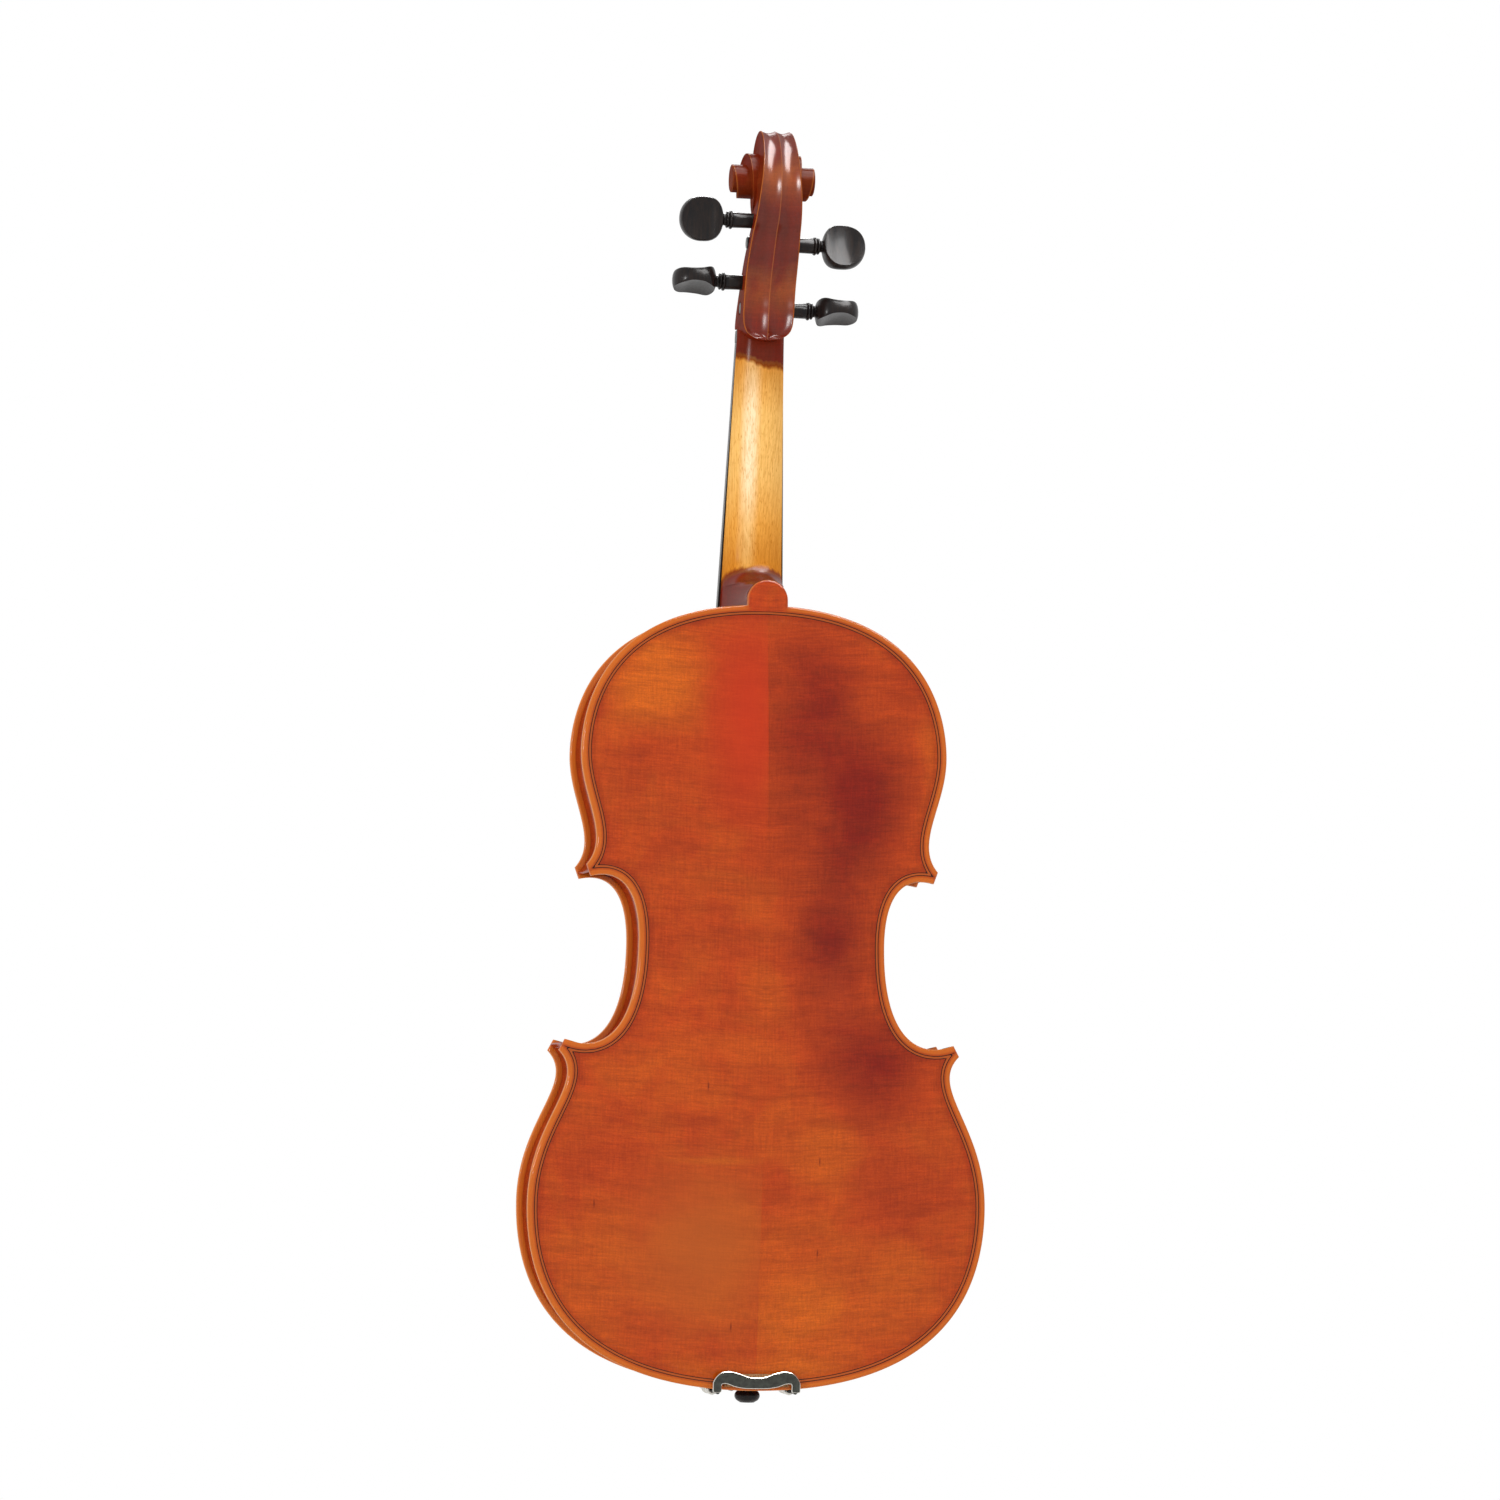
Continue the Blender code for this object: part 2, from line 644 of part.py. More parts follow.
HEAD_Z = BODY_LENGTH + NECK_LENGTH + NUT_LENGTH
HEAD_Y = glue_plane_y(HEAD_Z)
EYE_HEIGHT = HEAD_Z + EYE_REACH
EYE_Y = HEAD_Y + EYE_BACK


def neck_section(z, grow=0.0):
    """One cross section of the neck: flat at the fingerboard, and an ellipse, or the heel's flat U."""
    glue = glue_plane_y(z) - grow
    plain = float(np.interp(z, [BODY_LENGTH, BODY_LENGTH + NECK_LENGTH],
                            [NECK_DEPTH_AT_HEEL, NECK_DEPTH_AT_NUT]))
    top = BODY_LENGTH + BUTTON_HEIGHT
    risen = max(0.0, z - top + 0.0022) / HEEL_TOP_REACH
    heel = max(0.0, 1.04 - math.hypot(risen, 0.04)) ** 8
    full = -glue_plane_y(z) - GAP
    depth = plain + (full - plain) * heel
    width = neck_half_width(z)
    button = BUTTON_WIDTH / 2
    over = min(max(z - top + button, 0.0), button)
    bottom = max(math.sqrt(button**2 - over**2), 0.0012)
    straight_share = (1 - over / button) ** 0.6
    ring = []
    for step in range(7):
        share = math.sin(math.pi / 2 * step / 6)
        rounded = width * math.sqrt(1 - share**2)
        straight = width + (bottom - width) * share
        x = max(rounded * (1 - straight_share) + straight * straight_share, bottom)
        ring.append((x + grow, glue + depth * share + (2 * grow if step == 6 else 0), z))
    return ring + [(-x, y, z) for x, y, z in reversed(ring)]


def neck_root_cutter(name):
    """The mortise that the neck's root sits in, one gap larger than the root."""
    low = BODY_LENGTH - MORTISE_DEPTH - GAP
    rings = []
    for z in (low, BODY_LENGTH + 0.012):
        rings.append([(x, y, z) for x, y, _ in neck_section(BODY_LENGTH, GAP)])
    return loft(name, rings, MAPLE)


def button_tab(name, side):
    """The rounded tab of the back that covers the end of the neck's heel."""
    radius = BUTTON_WIDTH / 2
    straight = BODY_LENGTH + BUTTON_HEIGHT - radius
    outline = [(side * GAP / 2, BODY_LENGTH - 0.010), (side * GAP / 2, straight + radius)]
    for step in range(1, 9):
        angle = math.pi / 2 * (1 - step / 8)
        outline.append((side * radius * math.cos(angle), straight + radius * math.sin(angle)))
    outline.append((side * radius, BODY_LENGTH - 0.010))
    return prism(name, outline, 0.00004, EDGE_THICKNESS - 0.00006, 1, MAPLE)


def build_back():
    for name, side in (("back_bass_half", -1), ("back_treble_half", 1)):
        plate = half_plate(name, side, BACK_ARCH, BACK_THICKNESS, MAPLE, 1)
        join(plate, button_tab(f"button {name}", side))


def build_top():
    for name, side in (("top_bass_half", -1), ("top_treble_half", 1)):
        plate = half_plate(name, side, TOP_ARCH, TOP_THICKNESS, SPRUCE, -1)
        cut(plate, *f_hole_cutters(side), solver="MANIFOLD")
        cut(plate, neck_root_cutter(f"neck notch {name}"), solver="MANIFOLD")
        deep = SADDLE_DEPTH + GAP
        wide = SADDLE_WIDTH / 2 + GAP
        notch = box(f"saddle notch {name}", (-wide, -RIB_HEIGHT - 0.02, -0.01),
                    (wide, -RIB_HEIGHT + 0.01, deep), SPRUCE)
        cut(plate, notch, solver="MANIFOLD")


def rib_paths():
    """The outer face of the upper, waist and lower rib on the treble side, in (x, z)."""
    lines = [inset(path, OVERHANG) for path in (UPPER_BOUT, WAIST_BOUT, LOWER_BOUT)]
    upper, waist, lower = lines[0], lengthened(lines[1]), lines[2]
    upper = np.vstack([upper, lengthened(upper)[-1:]])
    lower = np.vstack([lengthened(lower)[:1], lower])
    upper_end, waist_start = meeting(upper, waist)
    waist_end, lower_start = meeting(waist, lower)
    tip_setback, lap_setback = 0.0024, 0.0050
    return (
        along(upper, GAP, upper_end - tip_setback),
        along(waist, waist_start + lap_setback, waist_end - lap_setback),
        along(lower, lower_start + tip_setback, path_length(lower) - GAP),
    )


def strip(name, path, thickness, low, high, finish):
    """A bent strip of wood: its outer face swept along Y, then thickened into the body."""
    bm = bmesh.new()
    front = [bm.verts.new((x, low, z)) for x, z in path]
    back = [bm.verts.new((x, high, z)) for x, z in path]
    for k in range(len(path) - 1):
        bm.faces.new((front[k], front[k + 1], back[k + 1], back[k]))
    mesh = bpy.data.meshes.new(name)
    bm.to_mesh(mesh)
    bm.free()
    obj = new_piece(name, mesh, finish)
    solid = obj.modifiers.new("thickness", "SOLIDIFY")
    solid.thickness = thickness
    solid.offset = -1.0
    solid.use_even_offset = True
    return obj


def mirrored(path, side):
    """The path on one side, listed so that a strip on it thickens into the body."""
    moved = np.array(path) * (side, 1)
    return moved if side > 0 else moved[::-1]


def build_ribs():
    """Six ribs, each with the two linings that widen its gluing edges."""
    low, high = -RIB_HEIGHT + GAP, -GAP
    for label, path in zip(("upper", "waist", "lower"), rib_paths()):
        inner = inset(path, RIB_THICKNESS * 0.5)
        reach = CORNER_BLOCK_REACH + 0.003
        ends = {
            "upper": (NECK_BLOCK_WIDTH / 2 + 0.002, path_length(inner) - reach),
            "waist": (reach - 0.003, path_length(inner) - reach + 0.003),
            "lower": (reach, path_length(inner) - END_BLOCK_WIDTH / 2 - 0.002),
        }[label]
        lining = along(inner, *ends)
        for name, side in (("bass", -1), ("treble", 1)):
            rib = strip(f"rib_{label}_{name}", mirrored(path, side), RIB_THICKNESS, low, high, MAPLE)
            thick = LINING_THICKNESS + RIB_THICKNESS * 0.5
            for place, start, end in (
                ("top", low + 0.0001, low + LINING_HEIGHT),
                ("back", high - LINING_HEIGHT, high - 0.0001),
            ):
                line = mirrored(lining, side)
                lath = strip(f"lining {place} {label} {name}", line, thick, start, end, BARE_SPRUCE)
                join(rib, lath, solver="MANIFOLD")
            if label == "upper":
                cut(rib, neck_root_cutter(f"neck gap {name}"), solver="MANIFOLD")
            if label == "lower":
                cut(rib, button_hole(f"button hole in rib {name}"), solver="MANIFOLD")


def button_hole(name):
    """The hole for the end button's shank, through the rib and the end block."""
    radius = BUTTON_NECK_DIAMETER / 2 + GAP
    return rod(name, (0, BUTTON_AXIS_Y, -0.01), (0, BUTTON_AXIS_Y, END_BLOCK_DEPTH + 0.02), radius,
               MAPLE, 16)


def corner_block(name, bout, waist, side, bout_first):
    """A block that fills the corner between two ribs, out to a straight inner face."""
    bout_end, waist_end = meeting(bout, waist) if bout_first else meeting(waist, bout)[::-1]
    if bout_first:
        first = along(bout, bout_end - CORNER_BLOCK_REACH, bout_end)
        second = along(waist, waist_end, waist_end + CORNER_BLOCK_REACH)
    else:
        first = along(waist, waist_end - CORNER_BLOCK_REACH, waist_end)
        second = along(bout, bout_end, bout_end + CORNER_BLOCK_REACH)
    outline = np.vstack([first, second[1:]]) * (side, 1)
    return prism(name, outline, -RIB_HEIGHT + GAP, -GAP, 1, BARE_SPRUCE)


def build_blocks():
    """The four corner blocks, the neck block and the end block."""
    distance = OVERHANG + RIB_THICKNESS + GAP
    upper, waist, lower = (inset(path, distance) for path in (UPPER_BOUT, WAIST_BOUT, LOWER_BOUT))
    waist = lengthened(waist)
    long_upper = np.vstack([upper, lengthened(upper)[-1:]])
    long_lower = np.vstack([lengthened(lower)[:1], lower])
    for name, side in (("bass", -1), ("treble", 1)):
        corner_block(f"corner_block_upper_{name}", long_upper, waist, side, True)
        corner_block(f"corner_block_lower_{name}", long_lower, waist, side, False)
    low, high = -RIB_HEIGHT + GAP, -GAP
    half = NECK_BLOCK_WIDTH / 2
    crown = along(upper, 0, half)
    foot = BODY_LENGTH - distance - NECK_BLOCK_DEPTH
    outline = [tuple(p) for p in crown] + [(crown[-1, 0], foot), (-crown[-1, 0], foot)]
    outline += [(-x, z) for x, z in crown[:0:-1]]
    block = prism("neck_block", outline, low, high, 1, BARE_SPRUCE)
    cut(block, neck_root_cutter("neck mortise"))
    half = END_BLOCK_WIDTH / 2
    base = along(lower, path_length(lower) - half, path_length(lower))
    head = distance + END_BLOCK_DEPTH
    outline = [(base[0, 0], head)] + [tuple(p) for p in base]
    outline += [(-x, z) for x, z in base[-2::-1]] + [(-base[0, 0], head)]
    block = prism("end_block", outline, low, high, 1, BARE_SPRUCE)
    cut(block, button_hole("button hole in block"))


def build_inside():
    """The bass bar under the top, and the sound post between the two plates."""
    middle = BODY_LENGTH * 0.5
    heights = np.linspace(middle - BASS_BAR_LENGTH / 2, middle + BASS_BAR_LENGTH / 2, 17)
    half = BASS_BAR_WIDTH / 2
    seat, edge = [], []
    for z in heights:
        share = (z - middle) / (BASS_BAR_LENGTH / 2)
        roof = min(
            inner_height(x, z, TOP_ARCH, TOP_THICKNESS)
            for x in (BASS_BAR_X - half, BASS_BAR_X + half)
        )
        depth = 0.003 + (BASS_BAR_HEIGHT - 0.003) * (1 - share**2)
        seat.append((-RIB_HEIGHT - roof + GAP + 0.0003, z))
        edge.append((-RIB_HEIGHT - roof + GAP + 0.0003 + depth, z))
    prism("bass_bar", seat + edge[::-1], -BASS_BAR_X - half, -BASS_BAR_X + half, 0, BARE_SPRUCE)
    z = BRIDGE_HEIGHT_ON_BODY - SOUND_POST_BEHIND_BRIDGE
    radius = SOUND_POST_DIAMETER / 2
    spots = [(SOUND_POST_X + dx, z + dz) for dx in (-radius, radius) for dz in (-radius, radius)]
    front = -RIB_HEIGHT - min(inner_height(*spot, TOP_ARCH, TOP_THICKNESS) for spot in spots)
    back = min(inner_height(*spot, BACK_ARCH, BACK_THICKNESS) for spot in spots)
    rod("sound_post", (SOUND_POST_X, front + GAP, z), (SOUND_POST_X, back - GAP, z), radius,
        BARE_SPRUCE, 12)


def spiral_radius(angle):
    """Distance of the scroll's outer face from the eye, by the angle in degrees from straight back."""
    marks = (-60, -30, 0, 90, 180, 270, 360, 450, 540, 630, 720, 780)
    radii = (35.2, 31.6, 29.0, 25.5, 22.0, 18.0, 15.2, 13.4, 11.8, 10.2, 8.4, 7.4)
    return float(np.interp(angle, marks, radii)) / 7.4 * EYE_RADIUS


def turn_half_width(angle):
    """Half width of the scroll's turn: narrow over the top, wider as it winds out to the eye."""
    marks = (-60, -30, 0, 45, 90, 180, 225, 270, 300, 360, 450, 540, 630, 720, 780)
    widths = (12.6, 11.4, 9.9, 8.5, 7.8, 7.6, 8.6, 10.3, 11.3, 12.9, 14.6, 16.6, 18.6, 20.8, 21.9)
    return float(np.interp(angle, marks, widths)) / 21.9 * EYE_HALF_WIDTH


def spiral_place(angle, radius):
    """(y, z) of a point at an angle and a distance from the eye."""
    turn = math.radians(angle)
    return EYE_Y + radius * math.cos(turn), EYE_HEIGHT + radius * math.sin(turn)


def pegbox_rows():
    """Back point, back half width, front point and front half width of each section, as (y, z)."""
    full = PEGBOX_HALF_WIDTH
    front = neck_half_width(HEAD_Z) + 0.0002
    rows = [
        ((0.0198, -0.0077), full * 0.20, (0.0088, -0.0072), 0.0018),
        ((0.0209, -0.0070), full * 0.54, (0.0078, -0.0062), 0.0062),
        ((0.0217, -0.0047), full * 0.81, (0.0063, -0.0042), 0.0095),
        ((0.0223, -0.0010), full * 0.95, (0.0048, -0.0017), 0.0112),
        ((0.0230, 0.0048), full, (0.0006, 0.0006), front),
        ((0.0239, 0.0088), full, (-0.0058, 0.0014), front),
        ((0.0253, 0.0148), full, (-0.0025, 0.0095), full * 0.94),
        ((0.0288, 0.0238), full, (0.0040, 0.0198), full * 0.92),
        ((0.0353, 0.0343), full * 0.98, (0.0136, 0.0348), full * 0.88),
    ]
    return [
        ((HEAD_Y + back[0], HEAD_Z + back[1]), half, (HEAD_Y + face[0], HEAD_Z + face[1]), width)
        for back, half, face, width in rows
    ]


def head_half():
    """The treble half of pegbox and scroll, open on the centre plane."""
    bm = bmesh.new()

    def vert(x, place):
        return bm.verts.new((x, place[0], place[1]))

    def face(*corners):
        if len(set(corners)) > 2:
            bm.faces.new(tuple(dict.fromkeys(corners)))

    step = 15
    rows = pegbox_rows()
    angles = list(range(-60, 781, step))
    centres, backs = [], []
    places = [row[0] for row in rows] + [spiral_place(a, spiral_radius(a)) for a in angles if a <= 270]
    for k, (y, z) in enumerate(places):
        before, after = places[max(k - 1, 0)], places[min(k + 1, len(places) - 1)]
        ahead = np.array([after[0] - before[0], after[1] - before[1]])
        ahead /= np.linalg.norm(ahead)
        inward = np.array([-ahead[1], ahead[0]])
        half = rows[k][1] if k < len(rows) else turn_half_width(angles[k - len(rows)])
        flute = FLUTE_DEPTH * min(1.0, half / PEGBOX_HALF_WIDTH * 1.6, k / 2)
        at = np.array([y, z])
        centres.append(vert(0.0, at))
        backs.append([
            vert(half * 0.25, at + inward * flute * 0.75),
            vert(half * 0.52, at + inward * flute),
            vert(half * 0.80, at + inward * flute * 0.55),
            vert(half - RIM_CHAMFER * half / 0.0136, at),
            vert(half, at + inward * RIM_CHAMFER),
        ])
    for k in range(len(places) - 1):
        face(centres[k], centres[k + 1], backs[k + 1][0], backs[k][0])
        for a, b in zip(range(4), range(1, 5)):
            face(backs[k][a], backs[k + 1][a], backs[k + 1][b], backs[k][b])
    rims = [row[-1] for row in backs]
    throat = spiral_place(270, spiral_radius(270))
    fronts = [vert(row[3], row[2]) for row in rows]
    front_middles = [vert(0.0, row[2]) for row in rows]
    lip = vert(turn_half_width(270) * 0.98, (throat[0] - 0.0035, throat[1] - 0.0075))
    lip_middle = vert(0.0, (throat[0] - 0.0035, throat[1] - 0.0075))
    for k in range(len(rows) - 1):
        face(rims[k], rims[k + 1], fronts[k + 1], fronts[k])
        face(fronts[k], fronts[k + 1], front_middles[k + 1], front_middles[k])
    start = len(rows)
    face(rims[start - 1], rims[start], lip, fronts[-1])
    face(fronts[-1], lip, lip_middle, front_middles[-1])
    last = len(places) - 1
    face(rims[start], rims[last], lip)
    face(lip, rims[last], *backs[last][3::-1], centres[last], lip_middle)
    floor = [centres[0], *backs[0], fronts[0], front_middles[0]]
    face(*floor)
    tops = {270: rims[last]}
    for angle in angles:
        if angle > 270:
            tops[angle] = vert(turn_half_width(angle), spiral_place(angle, spiral_radius(angle)))
    feet = {-90: rims[last], -75: rims[last]}
    for angle in angles:
        if angle + 360 in tops:
            wall = min(0.0016, max(angle + 90, 0) / 30 * 0.0009)
            low = min(turn_half_width(angle), turn_half_width(angle + 360) - wall)
            feet[angle] = vert(low, spiral_place(angle + 360, spiral_radius(angle + 360)))
    rim_of = {a: rims[start + k] for k, a in enumerate(angles) if a <= 270}
    rim_of.update({a: tops[a] for a in tops if a > 270})
    side_foot = vert(turn_half_width(285) - 0.0004, spiral_place(285, spiral_radius(285)))
    face(rim_of[-60], side_foot, rims[last])
    face(rim_of[-60], feet[-60], side_foot)
    face(rims[last], side_foot, tops[285])
    face(side_foot, feet[-60], tops[300], tops[285])
    for angle in angles:
        after = angle + step
        if after in feet and angle in feet and angle >= -60:
            face(rim_of[angle], rim_of[after], feet[after], feet[angle])
            face(feet[angle], feet[after], tops[after + 360], tops[angle + 360])
    middle = vert(EYE_HALF_WIDTH * 0.985, (EYE_Y, EYE_HEIGHT))
    last_angle = angles[-1]
    for angle in angles:
        if last_angle - 360 <= angle < last_angle:
            face(rim_of[angle], rim_of[angle + step], middle)
    face(feet[last_angle - 360], rim_of[last_angle], middle, rim_of[last_angle - 360])
    return bm


def build_neck():
    """Neck, pegbox and scroll, which are carved from one block."""
    heights = [BODY_LENGTH - MORTISE_DEPTH, BODY_LENGTH]
    heights += [BODY_LENGTH + BUTTON_HEIGHT + reach
                for reach in (-0.0100, -0.0045, -0.0018, -0.0004, 0.002, 0.005, 0.009, 0.014, 0.022, 0.036)]
    heights += [BODY_LENGTH + NECK_LENGTH * share for share in (0.5, 0.76, 0.98)] + [HEAD_Z]
    rings = []
    for z in heights:
        ring = neck_section(max(z, BODY_LENGTH))
        rings.append([(x, y, z) for x, y, _ in ring])
    neck = loft("neck", rings, MAPLE)
    bm = head_half()
    bmesh.ops.remove_doubles(bm, verts=bm.verts, dist=1e-6)
    bmesh.ops.recalc_face_normals(bm, faces=bm.faces)
    mesh = bpy.data.meshes.new("head")
    bm.to_mesh(mesh)
    bm.free()
    smooth(mesh)
    head = new_piece("head", mesh, MAPLE)
    mirror = head.modifiers.new("bass half", "MIRROR")
    mirror.use_mirror_merge = True
    mirror.merge_threshold = 1e-5
    join(neck, head)
    cut(neck, pegbox_cavity(), *(peg_hole(name) for name in PEGS))


def pegbox_cavity():
    """The trough that the pegs cross, open to the front, narrower towards the scroll."""
    profile = [
        (-0.0200, 0.0007), (-0.0050, 0.0009), (0.0020, 0.0028), (0.0165, 0.0034), (0.0176, 0.0090),
        (0.0216, 0.0235), (0.0280, 0.0343), (0.0372, 0.0455), (0.0418, 0.0530), (0.0408, 0.0572),
        (0.0368, 0.0590), (0.0308, 0.0575), (0.0258, 0.0530), (0.0170, 0.0450), (-0.0050, 0.0330),
        (-0.0200, 0.0120),
    ]
    rings = []
    for side in (-1, 1):
        ring = []
        for back, reach in profile:
            half = np.interp(reach, [0, 0.06], [PEGBOX_HALF_WIDTH, PEGBOX_HALF_WIDTH - 0.0018])
            ring.append((side * (half - PEGBOX_WALL), HEAD_Y + back, HEAD_Z + reach))
        rings.append(ring)
    return loft("pegbox cavity", rings, MAPLE)


def peg_axis(name):
    """(y, z) of a peg's axis."""
    return HEAD_Y + PEGS[name]["back"], HEAD_Z + PEGS[name]["reach"]


def peg_radius(x):
    """Radius of a peg's tapered shaft at a signed distance from the centre plane, head side positive."""
    return PEG_DIAMETER / 2 - (PEG_COLLAR_START - x) * PEG_TAPER / 2


def peg_hole(name):
    y, z = peg_axis(name)
    side, reach = PEGS[name]["side"], 0.020
    return rod(f"peg hole {name}", (-side * reach, y, z), (side * reach, y, z),
               peg_radius(-reach) + GAP, MAPLE, 14, peg_radius(reach) + GAP)


def fingerboard_half_width(z):
    nut = BODY_LENGTH + NECK_LENGTH
    share = (nut - z) / FINGERBOARD_LENGTH
    return NECK_WIDTH_AT_NUT / 2 + (FINGERBOARD_END_WIDTH - NECK_WIDTH_AT_NUT) / 2 * share


def crown(x, half_width, radius):
    """How far an arched face stands over its edges."""
    return math.sqrt(radius**2 - x**2) - math.sqrt(radius**2 - half_width**2)


def fingerboard_top_y(x, z):
    half = fingerboard_half_width(z)
    return glue_plane_y(z) - GAP - FINGERBOARD_EDGE - crown(x, half, FINGERBOARD_RADIUS)


def build_fingerboard():
    """The arched board, flat where it is glued and hollowed under its free end."""
    nut = BODY_LENGTH + NECK_LENGTH
    end = nut - FINGERBOARD_LENGTH
    free = BODY_LENGTH - MORTISE_DEPTH
    rings = []
    for z, hollow in ((nut, 0), (free + 0.001, 0), (free - 0.002, 1), (end + 0.002, 1), (end, 0.9)):
        half = fingerboard_half_width(z)
        ring = [(half * share, fingerboard_top_y(half * share, z), z)
                for share in (-1, -0.75, -0.5, -0.25, 0, 0.25, 0.5, 0.75, 1)]
        for share, depth in ((1, 0), (0.72, 0), (0.4, 1), (-0.4, 1), (-0.72, 0), (-1, 0)):
            y = glue_plane_y(z) - GAP - FINGERBOARD_HOLLOW * hollow * depth
            ring.append((half * share, y, z))
        rings.append(ring)
    loft("fingerboard", rings, EBONY)


def nut_top_y(x):
    z = BODY_LENGTH + NECK_LENGTH
    return fingerboard_top_y(x, z) - NUT_STAND


def build_nut():
    half = NECK_WIDTH_AT_NUT / 2
    low, high = BODY_LENGTH + NECK_LENGTH + GAP, HEAD_Z
    rings = []
    for z, fall in ((low, 0), (low + 0.002, 0), (high, 0.0012)):
        ring = [(half * share, nut_top_y(half * share) + fall, z)
                for share in (-1, -0.75, -0.5, -0.25, 0, 0.25, 0.5, 0.75, 1)]
        ring += [(half, glue_plane_y(z) - GAP, z), (-half, glue_plane_y(z) - GAP, z)]
        rings.append(ring)
    loft("nut", rings, EBONY)


def build_saddle():
    """The ebony saddle let into the edge of the top, with a rounded crest for the tail gut."""
    seat = -RIB_HEIGHT - 0.0001
    crest = seat - EDGE_THICKNESS - SADDLE_STAND
    profile = [(seat, 0.0002), (seat - EDGE_THICKNESS, 0.0002), (crest + 0.0016, 0.0007),
               (crest, 0.0022), (crest, 0.0034), (crest + 0.0016, SADDLE_DEPTH - 0.0006),
               (seat - EDGE_THICKNESS, SADDLE_DEPTH - GAP / 2), (seat, SADDLE_DEPTH - GAP / 2)]
    rings = []
    for x, drop in ((-1, 0.55), (-0.8, 0.9), (-0.6, 1), (0.6, 1), (0.8, 0.9), (1, 0.55)):
        ring = []
        for y, z in profile:
            low = seat - EDGE_THICKNESS * 0.9
            ring.append((x * SADDLE_WIDTH / 2, low + (y - low) * drop if y < low else y, z))
        rings.append(ring)
    loft("saddle", rings, EBONY)


def build_end_button():
    """Shank in the end block, neck for the tail gut, and the round knob with a flat end."""
    neck, knob = BUTTON_NECK_DIAMETER / 2, BUTTON_KNOB_DIAMETER / 2
    top = OVERHANG + BUTTON_SHANK_LENGTH
    start = -BUTTON_GAP_BELOW_EDGE
    profile = [
        (0.0, top), (neck * 0.75, top), (neck * 0.82, top - 0.001), (neck * 0.97, OVERHANG),
        (neck * 0.97, start + 0.0002), (neck * 1.15, start), (knob * 0.86, start - 0.0010),
        (knob * 0.98, start - 0.0022), (knob, start - 0.0034),
        (knob * 0.96, start - BUTTON_KNOB_LENGTH * 0.72),
        (knob * 0.84, start - BUTTON_KNOB_LENGTH * 0.90), (knob * 0.62, start - BUTTON_KNOB_LENGTH),
        (0.0, start - BUTTON_KNOB_LENGTH),
    ]
    button = turned("end_button", profile, EBONY, 14)
    button.location = (0, BUTTON_AXIS_Y, 0)


def string_x_at_bridge(name):
    return STRINGS[name]["slot"] * BRIDGE_SPACING / 3


def string_x_at_nut(name):
    return STRINGS[name]["slot"] * NUT_SPACING / 3


def bridge_crest_y():
    """Where the middle of the bridge's top edge lies, from the strings' height over the fingerboard."""
    nut = BODY_LENGTH + NECK_LENGTH
    end = nut - FINGERBOARD_LENGTH
    start_y = nut_top_y(0)
    end_y = fingerboard_top_y(0, end) - STRING_OVER_FINGERBOARD
    return end_y + (end_y - start_y) / (nut - end) * (end - BRIDGE_HEIGHT_ON_BODY)


def bridge_top_y(x):
    return bridge_crest_y() + BRIDGE_RADIUS - math.sqrt(BRIDGE_RADIUS**2 - x**2)


def build_bridge():
    """The bridge: arched top, waist notches, heart, legs, and feet that follow the top's arching."""
    foot = BRIDGE_WIDTH / 2
    crest = bridge_crest_y()
    belly = -RIB_HEIGHT - TOP_ARCH
    height = belly - crest

    def seat(x):
        return -RIB_HEIGHT - outer_height(x, BRIDGE_HEIGHT_ON_BODY, TOP_ARCH) - GAP

    top_half = BRIDGE_SPACING / 2 + 0.0022
    half = [(x, bridge_top_y(x)) for x in np.linspace(0, top_half, 6)]
    shape = [
        (0.90, 0.80), (0.85, 0.70), (0.71, 0.645), (0.62, 0.575), (0.68, 0.50), (0.80, 0.465),
        (0.865, 0.385), (0.80, 0.30), (0.86, 0.21), (0.98, 0.11), (1.0, 0.05),
    ]
    half += [(foot * x, belly - height * h) for x, h in shape]
    half += [(foot * x, seat(foot * x)) for x in (1.0, 0.84, 0.68, 0.53)]
    half += [(foot * x, belly - height * h) for x, h in
             ((0.525, 0.06), (0.57, 0.17), (0.43, 0.27), (0.22, 0.325), (0.0, 0.34))]
    outline = half + [(-x, y) for x, y in half[-2:0:-1]]
    low = BRIDGE_HEIGHT_ON_BODY - BRIDGE_FOOT_THICKNESS / 2
    high = BRIDGE_HEIGHT_ON_BODY + BRIDGE_FOOT_THICKNESS / 2
    bridge = prism("bridge", outline, low, high, 2, BARE_MAPLE)
    slim = BRIDGE_TOP_THICKNESS / BRIDGE_FOOT_THICKNESS
    for vert in bridge.data.vertices:
        share = min(max((belly - vert.co.y) / height, 0.0), 1.0)
        scale = 1 - (1 - slim) * share
        vert.co.z = BRIDGE_HEIGHT_ON_BODY + (vert.co.z - BRIDGE_HEIGHT_ON_BODY) * scale
    heart_half = [(0.0, 0.50), (0.10, 0.545), (0.19, 0.60), (0.21, 0.66), (0.15, 0.70), (0.06, 0.69),
                  (0.0, 0.655)]
    heart = [(foot * x, belly - height * h) for x, h in heart_half]
    heart += [(-x, y) for x, y in heart[-2:0:-1]]
    cut(bridge, prism("bridge heart", heart, low - 0.002, high + 0.002, 2, BARE_MAPLE))


